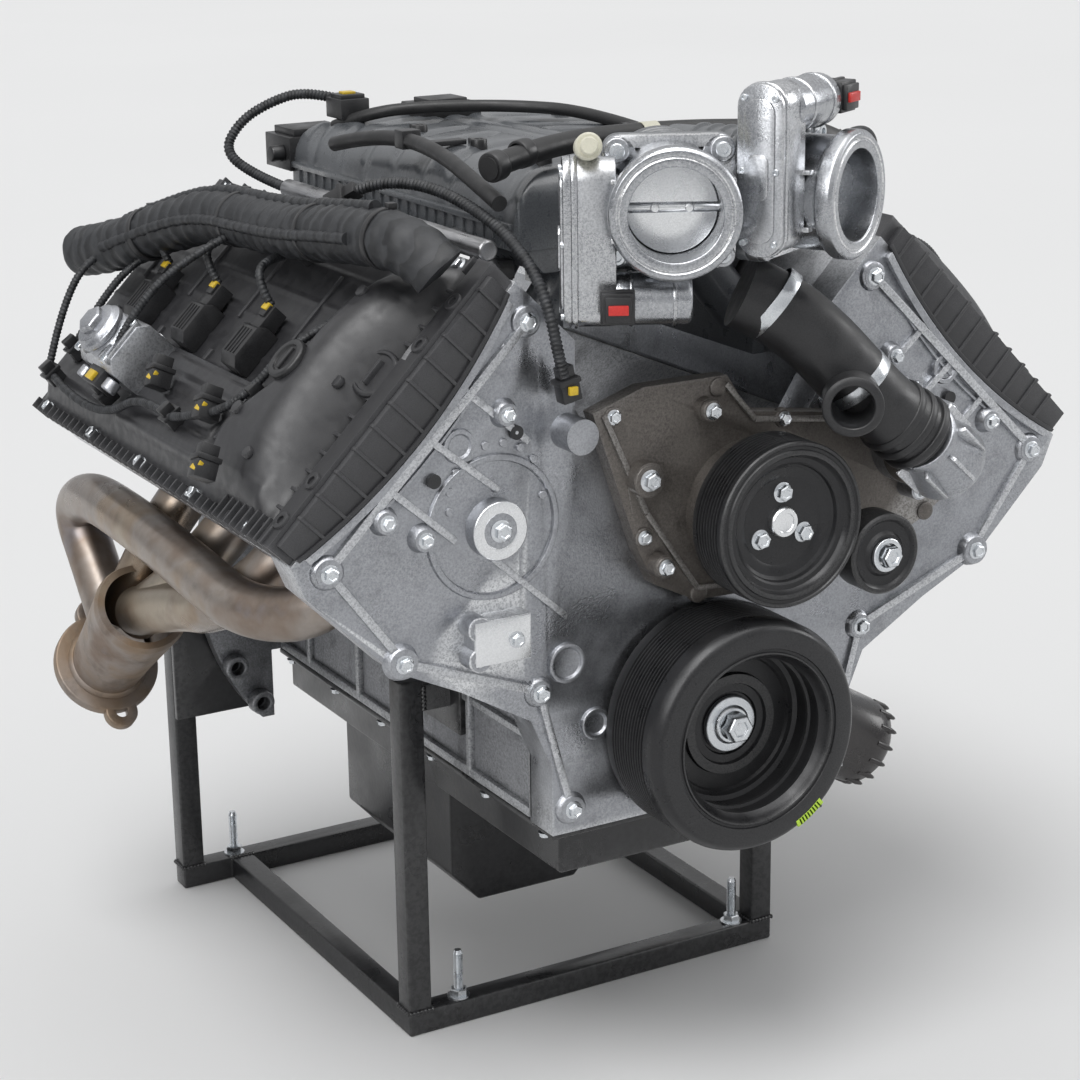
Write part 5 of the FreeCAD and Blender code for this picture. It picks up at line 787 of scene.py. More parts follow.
@dataclass
class CamCovers:
    """Both cam covers with their front domes, fins, bolts, plugs and coils."""

    rail: float = 356.5
    flange: float = 370.0
    deck: float = 385.0
    dome: float = 408.0
    front: float = 509.0
    rear: float = 14.0
    inner: float = 133.0
    outer: float = 117.0
    coil_rows: tuple[int, ...] = (1, 2, 3)
    dome_front: tuple[float, float] = (-476.0, -436.0)
    dome_back: float = -404.0
    dome_sweep: float = 42.0
    dome_middle: float = -4.0
    dome_half: float = 106.0
    band_back: float = -484.0
    band_rise: float = 7.0
    groove_depth: float = 5.0
    plateau_rise: float = 4.2
    lip_drop: float = 17.0

    def skin(self, w: float, y: float) -> float:
        """Height of the skin: a flat deck, a low front band and an egg-shaped dome."""
        rear_fade = 1 - ease_between(-self.rear - 16, -self.rear - 1, y)
        rise = self.deck - self.flange
        deck_start = ease_between(-472, -458, y)
        deck = self.flange + rise*ease_between(-131, -106, w)*(1 - ease_between(86, 112, w))*rear_fade*deck_start
        on_plateau = ease_between(18, 22, w)*(1 - ease_between(91, 97, w))
        on_plateau *= ease_between(-352, -347, y)*(1 - ease_between(-192, -187, y))
        deck += on_plateau*(self.plateau_rise - 1.8*max(0.0, cos((w - 24)*pi/8.0))**4)
        back = self.dome_back + self.dome_sweep*ease_between(0, 70, w)
        share = min(abs((w - self.dome_middle)/self.dome_half), 1.0)
        body = sqrt(max(0.0, 1 - share**2.5))
        fall = sqrt(ease_between(*self.dome_front, y))*(1 - ease_between(back - 26, back + 16, y))**0.7
        dome = self.flange - 3 + (self.dome + 5 - self.flange)*body*fall
        top = blend_max(deck, dome, 4.0)
        band_end = ease_between(self.band_back - 2, self.band_back, y)
        band = self.flange + self.band_rise*ease_between(-self.front, -self.front + 3, y)*(1 - band_end)
        groove = self.groove_depth*band_end*(1 - ease_between(-477, -474, y))
        ridge = 1.2*max(0.0, cos(w/14*pi))**12*deck_start*(1 - body*fall)*(1 - on_plateau)
        return max(top, band) - groove + ridge*ease_between(self.deck - 4, self.deck, top)

    def lip(self, w: float) -> float:
        """Height of the front lip's lower edge, which bows down over the timing cover."""
        return self.rail - self.lip_drop*(1 - ((w + 6)/122)**2)

    def build(self) -> None:
        """Makes both covers and what sits on them."""
        for side in Side:
            self._cover(side)
            self._coils(side)
        self._fuel_pump()

    def _cover(self, side: Side) -> None:
        """One cover's skin, its fins, bosses and front plug."""
        sign = side.value
        columns = steps(-self.inner, self.outer, 126)
        rows = steps(-self.front + 1, -self.rear, 240)
        shape = Shape().grid([sign*w for w in columns], rows, lambda x, y: self.skin(sign*x, y), self.rail + 0.2)
        skin = shape.piece(f"cover_skin_{side.label}", COVER, side.turn, wall=2.4, flat_angle=60)
        trim = Shape()
        for index in range(34):
            y = -self.rear - 8 - index*12.2
            self._plate(trim, sign, 108, self.outer + 0.6, y, 1.9, self.rail + 1, self.flange + 6)
        for index in range(9):
            y = -self.front + 13 + index*10.4
            self._plate(trim, sign, 98, self.outer + 0.4, y, 2.2, self.rail + 1, self.flange + 9)
        for index in range(12):
            y = -self.rear - 26 - index*40
            self._plate(trim, sign, -self.inner - 0.4, -120, y, 2.4, self.rail + 1, self.flange + 7)
        for w in range(-104, 105, 16):
            trim.box((sign*w - 1.3, -485.6, self.flange - 4), (sign*w + 1.3, -474.4, self.flange + 5.4))
        for w in (-96, -58, 62, 96):
            trim.lathe([(0, 0), (7.5, 0), (6.8, 8), (3.2, 8), (3.2, 4), (0, 4)], (sign*w, -498, self.flange + 1),
                UP, 24)
        for w, y, radius in ((46, -396, 5.5), (-6, -462, 5.0), (70, -440, 4.5), (-70, -430, 5.0)):
            trim.lathe([(0, 0), (radius, 0), (radius*0.9, 4), (0, 4)], (sign*w, y, self.skin(w, y) - 1), UP, 20)
        for y in (-355, -255, -155, -58):
            trim.box((sign*40 - 30, y - 3, self.deck - 2), (sign*40 + 30, y + 3, self.deck + 2.4))
            trim.box((sign*-52 - 30, y - 2, self.deck - 2), (sign*-52 + 30, y + 2, self.deck + 2.0))
        arc = [(sign*w, self.lip(w)) for w in steps(112, -124, 30)]
        trim.prism([(sign*-124, 374.5), (sign*112, 374.5)] + arc, -514.2, 6.4)
        for w in range(-112, 108, 20):
            trim.box((sign*w - 1.3, -515.6, self.lip(w) + 1), (sign*w + 1.3, -510, self.flange + 6))
        trim.prism([(x, z) for x, z in arc] + [(x, z + 3.2) for x, z in reversed(arc)], -516.0, 5.0)
        ribs = trim.piece(f"cover_ribs_{side.label}", COVER, side.turn, ease=0.5)
        plug = Shape()
        level = self.skin(-26, -470)
        plug.lathe([(19, -6), (19, 3), (17.5, 4.2), (15.5, 4.2), (15, 2.2), (0, 2.2)], (sign*-26, -474, level - 1),
            (0, -0.28, 0.96), 40)
        plug.box((sign*-26 - 10, -476, level), (sign*-26 + 10, -472.6, level + 5.0))
        cap = plug.piece(f"cover_plug_{side.label}", COVER, side.turn, ease=0.4)
        cover = joined(f"cam_cover_{side.label}_shell", [skin, ribs, cap])
        settle(cover, [f"cam_cover_{side.label}"])

    @staticmethod
    def _plate(shape: Shape, sign: int, near: float, far: float, y: float, thick: float, low: float,
            high: float) -> None:
        """A thin fin across the bank."""
        shape.box((sign*near, y, low), (sign*far, y + thick, high))

    def _coils(self, side: Side) -> None:
        """Coils with ribbed tops, their screws and their plugs."""
        sign = side.value
        body = Shape()
        locks = Shape()
        for index in range(4):
            y = side.bore(index)
            if index == 0:
                body.lathe([(0, -6), (16.6, -6), (16.6, 4.2), (15.4, 5.6), (11.5, 5.6), (11, 3.6), (0, 3.6)],
                    (0, y, self.dome + 0.8), UP, 40)
                body.box((-9, y - 1.6, self.dome + 3), (9, y + 1.6, self.dome + 6.4))
                continue
            low = self.deck + 0.2
            body.prism([(-19, low), (19, low), (19, low + 12), (14, low + 19), (-12, low + 19), (-19, low + 13)],
                y - 13, 26)
            for shift in (-8, -3, 2, 7):
                body.box((-11, y + shift, low + 18), (12, y + shift + 1.6, low + 20))
            body.lathe([(0, 0), (7, 0), (6.4, 8), (0, 8)], (sign*12, y + 13, low), UP, 20)
            tail = -sign
            body.box((tail*26 - 10, y - 8, low + 3), (tail*26 + 10, y + 8, low + 16))
            body.box((tail*30 - 5, y - 5, low + 15), (tail*30 + 5, y + 5, low + 18))
            locks.box((tail*33 - 3, y - 4.4, low + 16), (tail*33 + 3, y + 4.4, low + 19.4))
        body_item = body.piece(f"coil_bodies_{side.label}", PLUG, side.turn, ease=1.0)
        lock_item = locks.piece(f"coil_locks_{side.label}", YELLOW_LOCK, side.turn, ease=0.5)
        coils = joined(f"coils_{side.label}", [body_item, lock_item])
        settle(coils, ["ignition_coils"] if side is Side.ONE else [])
        spots = []
        for index in self.coil_rows:
            y = side.bore(index)
            spots.append(Spot(side.place(self.deck + 8, 12, y + 13), side.place(1, 0, 0), 3.6))
        bolted(f"coil_screws_{side.label}", spots)

    def _fuel_pump(self) -> None:
        """The fuel pump block with its drum, unions and pipes."""
        side = Side.ONE
        low = self.deck + 0.3
        body = Shape()
        body.prism([(-70, low), (-22, low), (-22, low + 32), (-30, low + 39), (-62, low + 39), (-70, low + 30)],
            -206, 70)
        body.lathe([(0, 0), (20, 0), (20, 50), (18, 54), (12, 55.5), (0, 55.5)], (-45, -171, low), UP, 48)
        body.lathe([(20, 44), (21.4, 45), (21.4, 49), (20, 50)], (-45, -171, low), UP, 48)
        for y in (-198, -144):
            body.rod((-72, y, low + 22), (-82, y, low + 22), 6.5, edge=1.0)
        for y in (-204, -190, -154, -140):
            body.box((-66, y, low + 36), (-26, y + 4, low + 41.5))
        body.lathe([(12, 55), (12, 60), (10.5, 61.4), (0, 61.4)], (-45, -171, low), UP, 6)
        for y in (-192, -171, -150):
            body.rod((-20, y, low + 12), (-25, y, low + 12), 4.2, edge=0.6, sides=20)
        block = body.piece("fuel_pump_body", CAST, side.turn, ease=1.4)
        socket = Shape().box((-84, -190, low + 14), (-68, -162, low + 31))
        plug = socket.piece("fuel_pump_socket", PLUG, side.turn, ease=1.2)
        lock = Shape().box((-82, -184, low + 30.5), (-74, -172, low + 34)).piece("fuel_pump_lock", YELLOW_LOCK,
            side.turn, ease=0.6)
        pump = joined("fuel_pump", [block, plug, lock])
        settle(pump, ["high_pressure_pump"])
        spots = [Spot(side.place(low + 39, across, y), side.place(1, 0, 0), 3.8) for across,
            y in ((64, -198), (28, -198), (64, -142), (28, -142))]
        settle(repeated("fuel_pump_screws", cap_screw(), spots, ZINC))


@dataclass
class FrontDrive:
    """Crankshaft damper, water pump pulley and idler with their bolts."""

    damper_front: float = 587.0
    damper_back: float = 515.3
    damper_radius: float = 89.7
    pump: tuple[float, float] = (27.0, 160.0)
    pulley_front: float = 586.7
    pulley_radius: float = 62.3
    idler: tuple[float, float] = (114.5, 123.0)
    groove: float = 3.0
    pitch: float = 3.56

    def grooves(self, radius: float, start: float, stop: float) -> list[tuple[float, float]]:
        """Profile of a multi-rib belt track."""
        count = int((stop - start)/self.pitch)
        points = []
        for index in range(count):
            base = start + index*self.pitch
            points += [(radius, base), (radius, base + 0.5), (radius - self.groove, base + self.pitch/2 - 0.25),
                (radius - self.groove, base + self.pitch/2 + 0.25), (radius, base + self.pitch - 0.5)]
        return points + [(radius, start + count*self.pitch)]

    def build(self) -> None:
        """Makes the wheels and the crankshaft bolt."""
        self._damper()
        self._pulley()
        self._idler()

    def _damper(self) -> None:
        """A deep cup with a wide smooth rim, rubber ring and belt track."""
        radius, front = self.damper_radius, self.damper_front
        profile = [(16, 545), (24, 545), (25, 547), (31, 547), (32, 549.6), (39, 549.6), (40, 546), (52, 546),
            (53.4, 548.4), (57, 548.4), (60.4, 550), (60.8, 556), (60.8, 561), (59.2, 562), (59.2, 565),
            (61.2, 566), (61.2, 574), (60, 575), (60, 578), (62.4, 581), (63.6, 583.6), (65.4, front),
            (66.6, front), (67.2, front - 1.2), (69.2, front - 1.2), (69.8, front), (82.4, front),
            (84.4, front - 0.8), (86.6, front - 3.0), (radius - 0.6, front - 7.4), (radius, front - 9.4),
            (radius, front - 17)]
        track = self.grooves(radius, self.damper_back + 10, front - 18)
        profile += [(r, y) for r, y in reversed(track)]
        profile += [(radius, self.damper_back + 8), (radius - 1, self.damper_back + 0.8),
            (radius - 4, self.damper_back), (76, self.damper_back), (76, 530), (23, 530), (23, 515), (16, 515)]
        shape = Shape().lathe([(r, -y) for r, y in profile], sides=144)
        damper = shape.piece("crank_damper", DAMPER, flat_angle=24)
        rim = Shape()
        for index in range(9):
            angle = radians(48 + index*1.9)
            rim.box((-2.2, -front - 0.25, radius - 9), (2.2, -front + 5, radius - 3.4),
                Matrix.Rotation(pi/2 + angle, 4, "Y"))
        mark = rim.piece("damper_mark", LIME, ease=0.2)
        settle(joined("crank_damper_and_mark", [damper, mark]), ["crankshaft_damper"], "crank")
        bolt = Shape()
        bolt.lathe([(0, 545.6), (21.5, 545.6), (22, 546.2), (22, 549), (21, 550), (11.6, 550)], axis=FRONT,
            sides=72)
        bolt.lathe([(0, 549.5), (15.2, 549.5), (15.2, 551), (13.2, 553), (11.4, 553)], axis=FRONT, sides=48)
        bolt.lathe([(0, 550), (11.3, 550), (11.3, 562.4), (10, 564), (6.4, 564), (5.8, 562.6), (0, 562.6)],
            axis=FRONT, sides=6)
        bolt.lathe([(0, 505), (8, 505), (8, 546), (0, 546)], axis=FRONT, sides=32)
        settle(bolt.piece("crank_bolt", ZINC, ease=0.3), ["crankshaft_bolt"], "crank")

    def _pulley(self) -> None:
        """The pump pulley: nested rims, a flat web, a bright hub and three bolts."""
        x, z = self.pump
        front, radius = self.pulley_front, self.pulley_radius
        profile = [(0, 572.6), (10, 572.6), (10.4, 573.2), (33, 573.2), (35, 574.4), (41, 575.4), (43.4, 577),
            (44.4, 580), (46, 581.4), (49.6, 581.8), (51.2, 583.6), (52.4, front), (55.6, front),
            (56.4, front - 1.0), (58.6, front - 1.0), (59.4, front), (61.4, front - 0.2), (radius, front - 1.4),
            (radius, front - 4.2)]
        track = self.grooves(radius, front - 33.2, front - 4.6)
        profile += [(r, y) for r, y in reversed(track)]
        profile += [(radius, front - 36.6), (radius - 1.4, front - 37.6), (56, front - 37.6), (52, front - 20),
            (43, 568.4), (0, 568.4)]
        wheel = Shape().lathe([(r, -y) for r, y in profile], (x, 0, z), sides=144).piece("pump_pulley", DAMPER,
            flat_angle=24)
        hub = Shape()
        hub.lathe([(0, 572.4), (11.6, 572.4), (11.6, 577), (10.4, 578.6), (7.4, 578.6), (7, 577.4), (0, 577.4)],
            (x, 0, z), FRONT, 48)
        bright = hub.piece("pulley_hub", MACHINED, ease=0.2)
        settle(joined("pump_pulley_and_hub", [wheel, bright]), ["water_pump_pulley"],
            "water_pump_rotor")
        spots = [Spot((x + 22*cos(radians(angle)), -573.1, z + 22*sin(radians(angle))), size=6.0) for angle in (90,
            210, 330)]
        bolted("pulley_bolts", spots, body="water_pump_rotor")

    def _idler(self) -> None:
        """A smooth idler with a stepped face, on its bolt."""
        x, z = self.idler
        profile = [(10.3, 583.4), (15.4, 583.4), (16, 582.8), (17.6, 581.2), (22, 580.8), (24.6, 581.2), (26, 583),
            (27, 583.8), (29.4, 583.8), (30.9, 582.4), (30.9, 560.4), (29.6, 559.2), (10.3, 559.2)]
        wheel = Shape().lathe([(r, -y) for r, y in profile], (x, 0, z), sides=96)
        settle(wheel.piece("idler_wheel", DAMPER, flat_angle=24), ["idler_pulley"], "idler")
        bolt = Shape()
        bolt.lathe([(0, 583.8), (13, 583.8), (13, 586.4), (12.2, 587), (9.4, 587)], (x, 0, z), FRONT, 48)
        bolt.lathe([(0, 586.8), (8.4, 586.8), (8.4, 593), (7.4, 594.4), (4.8, 594.4), (4.2, 593), (0, 593)],
            (x, 0, z), FRONT, 6)
        bolt.lathe([(0, 545.4), (5.7, 545.4), (5.7, 558.6), (9.8, 558.6), (9.8, 584), (0, 584)], (x, 0, z), FRONT,
            32)
        settle(bolt.piece("idler_fixing", ZINC, ease=0.25), ["idler_bolt"])


@dataclass
class FrontCover:
    """The cast timing cover with its ribs, bosses and bolts, and the bolts of the other joints."""

    face: float = 511.6
    bosses: tuple[tuple[float, float, float, float], ...] = ((309, 161, 10, 5), (255, 86, 11, 7), (265, 191, 8, 8),
        (236, 174, 8, 8), (169, 255, 8, 8), (144, 42, 9, 5), (118, -55, 10, 5), (150, 318, 9, 4))

    def build(self) -> None:
        """Makes the cover's copy, its raised detail and all cover bolts."""
        body = painted(softened("timing_cover", "timing_cover_body", 1.2), CAST)
        ribs = Shape()
        for sign in (-1, 1):
            self._rib(ribs, sign, (152, 316), (309, 163), 3.2, 5)
            self._rib(ribs, sign, (309, 161), (255, 88), 3.0, 5)
            self._rib(ribs, sign, (255, 86), (146, 44), 3.2, 5)
            self._rib(ribs, sign, (144, 42), (119, -52), 3.0, 4)
            self._rib(ribs, sign, (230, 245), (175, 200), 2.6, 4)
            self._rib(ribs, sign, (200, 275), (150, 232), 2.6, 4)
            self._rib(ribs, sign, (262, 214), (210, 168), 2.6, 4)
            self._rib(ribs, sign, (180, 150), (120, 96), 2.4, 3)
            for x, z, radius, rise in self.bosses:
                ribs.lathe([(radius + 3, 0), (radius + 2, 3), (radius, rise), (4, rise), (4, rise - 3),
                    (0, rise - 3)], (sign*x, -self.face + 0.4, z), FRONT, 32)
            for angle in range(0, 200, 22):
                turn = radians(angle - 10)
                ribs.lathe([(3.4, 0), (3.0, 2.4), (0, 2.4)], (sign*(176 + 38*cos(turn)), -self.face + 0.4,
                    196 + 38*sin(turn)), FRONT, 16)
        for side in Side:
            lip = [(side.value*w, CamCovers().lip(w)) for w in steps(108, -120, 30)]
            ribs.prism([(x, z - 0.4) for x, z in lip] + [(x, z - 6.4) for x, z in reversed(lip)], -self.face - 4.4,
                5.2, side.turn)
            ribs.prism([(x, z - 13.4) for x, z in lip[3:-3]] + [(x, z - 15.6) for x, z in reversed(lip[3:-3])],
                -self.face - 2.4, 3.0, side.turn)
        for x, z in ((-199, 104), (-199, 81)):
            ribs.lathe([(9.4, 0), (9.4, 15.6), (8.6, 16.4), (5, 16.4), (5, 0)], (x, -self.face, z), FRONT, 32)
        for x, z, radius in ((-120, 60, 15), (-96, 8, 12), (96, 8, 12), (150, 96, 13), (-205, 236, 12),
                (222, 238, 12)):
            ribs.lathe([(radius + 1, 0), (radius, 3.4), (radius - 3, 3.4), (radius - 4, 1), (0, 0.8)],
                (x, -self.face + 0.4, z), FRONT, 40)
        ribs.lathe([(54, 0), (53, 3.0), (49, 3.0), (48, 0)], (-179, -self.face + 0.4, 173), FRONT, 64)
        ribs.lathe([(36, 0), (35, 4.0), (30.5, 4.0), (30.2, 0)], (0, -self.face + 0.4, 0), FRONT, 72)
        detail = ribs.piece("timing_cover_ribs", CAST, ease=0.9)
        faces = Shape()
        faces.lathe([(21.6, 11.8), (21.0, 12.6), (13, 12.6), (12.4, 11.4), (7, 11.4), (6.4, 7), (0, 7)],
            (-179, -self.face, 173), FRONT, 56)
        faces.box((-203.4, -self.face - 16.6, 76.6), (-158.6, -self.face - 15.4, 109.4))
        bright = faces.piece("timing_cover_faces", MACHINED, ease=0.4)
        # Black discs fill the bolt holes: painted shade that stands for the dark inside of each hole.
        hole_shade = Shape()
        for x, z in ((-199, 104), (-199, 81), (-226, 214), (-160, 240), (226, 214)):
            hole_shade.lathe([(5.2, 0), (5.2, 16.0), (0, 15.6)], (x, -self.face + (0 if z < 120 else 12), z), FRONT, 28)
        bright = joined("timing_cover_bright", [bright, hole_shade.piece("timing_cover_holes", PLUG)])
        settle(joined("timing_cover_cast", [body, detail, bright]), ["timing_cover"])
        spots = []
        for sign in (-1, 1):
            for x, z, radius, rise in self.bosses:
                spots.append(Spot((sign*x, -self.face - rise, z), size=5.4 if radius > 8 else 4.6))
        spots += [Spot((-179, -self.face - 12.2, 173), size=6.4), Spot((-170, -self.face - 16.4, 92), size=4.8)]
        for side in Side:
            up = side.place(1, 0, 0)
            for index in range(5):
                y = -458 + index*(478 - 60)/4
                for across in (-126.0, 111.0):
                    spots.append(Spot(side.place(370.6, across, y), up, 4.9))
            for index in range(6):
                spots.append(Spot((side.value*126.5, -488 + index*(508 - 50)/5, -81.2), (0, 0, -1), 4.0))
        bolted("cover_bolt_heads", spots, ["cover_bolts"])

    def _rib(self, shape: Shape, sign: int, start: tuple[float, float], end: tuple[float, float], half: float,
            rise: float) -> None:
        """A raised rib on one side of the front face."""
        self._rib_between(shape, (sign*start[0], start[1]), (sign*end[0], end[1]), half, self.face, rise)

    @staticmethod
    def _rib_between(shape: Shape, start: tuple[float, float], end: tuple[float, float], half: float, face: float,
            rise: float) -> None:
        """A raised rib between two points of a face."""
        first = Vector((start[0], 0, start[1]))
        line = Vector((end[0], 0, end[1])) - first
        matrix = Matrix.Translation(first) @ Matrix.Rotation(atan2(-line.z, line.x), 4, "Y")
        shape.prism([(0, -half), (line.length, -half), (line.length, half), (0, half)], -face - rise + 0.3,
            rise + 0.5, matrix)


def rounded(low: tuple[float, float], high: tuple[float, float], radius: float,
        count: int = 6) -> list[tuple[float, float]]:
    """Outline of a rectangle with rounded corners."""
    points = []
    corners = ((high[0] - radius, high[1] - radius, 0), (low[0] + radius, high[1] - radius, 90),
        (low[0] + radius, low[1] + radius, 180), (high[0] - radius, low[1] + radius, 270))
    for x, z, start in corners:
        for step in range(count + 1):
            angle = radians(start + 90*step/count)
            points.append((x + radius*cos(angle), z + radius*sin(angle)))
    return points


def square_flange(shape: Shape, half: float, near: float, far: float) -> None:
    """A square flange with round corners that leaves its bore open."""
    corner = half - 11.8
    for x in (-corner, corner):
        for z in (-corner, corner):
            shape.rod((x, near, z), (x, far, z), 11.8, edge=0.8, sides=40)
    for sign in (-1, 1):
        low, high = sorted((sign*38, sign*half))
        shape.box((low, near, -corner), (high, far, corner))
        shape.box((-corner, near, low), (corner, far, high))


@dataclass
class Throttle:
    """One throttle body with its gear case, motor and plug."""

    label: str
    side: Side
    front: float = 591.0
    half_gap: float = 76.5
    level: float = 396.0
    splay: float = 28.0
    length: float = 66.0

    @property
    def socket(self) -> tuple[float, float, float, float]:
        """Ends, face and depth of the motor's socket, which the two bodies have at opposite ends."""
        return (-50, -28, -60, 17) if self.side is Side.ONE else (14, 38, -44, 26)

    @property
    def matrix(self) -> Matrix:
        """Places the body, whose own front faces -Y, on its splayed snout."""
        turn = radians(self.splay)
        middle = (self.side.value*(self.half_gap - self.length*sin(turn)), -self.front + self.length*cos(turn),
            self.level)
        return Matrix.Translation(Vector(middle)) @ Matrix.Rotation(self.side.value*turn, 4, "Z")

    def build(self) -> None:
        """Makes the body and its fittings."""
        flip = self.side.value
        barrel = Shape()
        barrel.lathe([(32.6, 65.4), (33.6, 66), (38.6, 66), (39, 65.2), (40.2, 65.2), (40.6, 66), (43.6, 66),
            (45.8, 63.8), (46, 62), (46, 54.5), (44.6, 52.4), (41.6, 51.4), (41, 49), (41, 14), (43, 9.2),
            (43, 0.2), (32.6, 0.2), (32.6, 65.4)], axis=FRONT, sides=96)
        square_flange(barrel, 46.8, -9.2, -0.2)
        for x in (-37, 37):
            for z in (-37, 37):
                barrel.rod((x, -14.5, z), (x, -8, z), 9.0, edge=0.8)
        for z in (-20, 20):
            for x in (-39.5, 39.5):
                barrel.box((x - 3.4, -48, z - 1.6), (x + 3.4, -9, z + 1.6))
        body = barrel.piece(f"throttle_barrel_{self.label}", BRIGHT_CAST, self.matrix, ease=0.7)
        across = Matrix.Rotation(-pi/2, 4, "Z")
        centre = flip*24
        case = Shape()
        case.prism(rounded((9, centre - 59), (43, centre + 59), 15), -66, 27, across)
        case.prism(rounded((7.6, centre - 60.4), (44.4, centre + 60.4), 16.4), -70, 4.4, across)
        case.rod((-48, -27, flip*64), (14, -27, flip*64), 18.6, edge=2.5, sides=48)
        case.rod((-30, -27, flip*64), (-27, -27, flip*64), 19.6, sides=48)
        case.rod((0, -27, flip*64), (3, -27, flip*64), 19.6, sides=48)
        metal = case.piece(f"throttle_case_{self.label}", BRIGHT_CAST, self.matrix, ease=1.2)
        lid = Shape()
        lid.prism(rounded((8.4, centre - 59.6), (43.6, centre + 59.6), 16), -75.6, 5.8, across)
        lid.prism(rounded((14, centre - 50), (38, centre + 50), 11), -77.4, 3, across)
        lid.prism(rounded((18, centre - 20), (34, centre + 12), 6), -79, 3, across)
        cover = lid.piece(f"throttle_lid_{self.label}", BRIGHT_CAST, self.matrix, ease=1.1)
        low, high, face, depth = self.socket
        plug = Shape().box((low, face, flip*65 - 11), (high, face + depth, flip*65 + 11))
        plug.box((low + 2, face - 3.4, flip*65 - 9), (high - 2, face + 1, flip*65 + 9))
        plug.box((low - 1, face + depth*0.35, flip*65 - 12.2), (high + 1, face + depth*0.5, flip*65 + 12.2))
        black = plug.piece(f"throttle_socket_{self.label}", PLUG, self.matrix, ease=0.9)
        if self.side is Side.ONE:
            fitting = Shape().rod((-58, -24, 41), (-58, -52, 46), 9.4, edge=1.4, sides=36)
            fitting.rod((-58, -50, 45.4), (-58, -60, 47.4), 6.2, edge=1.0, sides=30)
            cream = fitting.piece("throttle_fitting", CREAM, self.matrix)
            black = joined("throttle_fitting_and_socket", [black, cream])
        locks = Shape().box((low + 4, face - 5.6, flip*65 - 3.4), (high - 4, face - 2.8, flip*65 + 3.4))
        lock = locks.piece(f"throttle_lock_{self.label}", RED_LOCK, self.matrix, ease=0.6)
        whole = joined(f"throttle_{self.label}", [body, metal, cover, black, lock])
        settle(whole, [f"throttle_body_{self.label}"])
        spots = []
        forward = self.matrix.to_3x3() @ Vector(FRONT)
        sideways = self.matrix.to_3x3() @ Vector((-1, 0, 0))
        for x in (-37, 37):
            for z in (-37, 37):
                spots.append(Spot(self.matrix @ Vector((x, -14.6, z)), forward, 5.6))
        for y, z in ((-14, -50), (-38, -50), (-14, 50), (-38, 50), (-13, 0), (-39, 0)):
            spots.append(Spot(self.matrix @ Vector((-75.6, y, centre + z)), sideways, 2.4))
        settle(repeated(f"throttle_screws_{self.label}", cap_screw(), spots, ZINC))
        self._plate()

    def _plate(self) -> None:
        """The valve plate on its spindle, with two screws."""
        shape = Shape()
        shape.lathe([(0, 28.7), (31.6, 28.7), (32.1, 29.2), (32.1, 30.2), (31.6, 30.7), (0, 30.7)], axis=FRONT,
            sides=96)
        shape.rod((-44, -29.7, 0), (38, -29.7, 0), 3.9)
        for x in (-12, 12):
            shape.rod((x, -35.4, 0), (x, -30, 0), 3.2, edge=0.6)
        plate = shape.piece(f"throttle_valve_{self.label}", MACHINED, self.matrix, ease=0.3)
        settle(plate, [f"throttle_plate_{self.label}"], f"throttle_{self.label}")


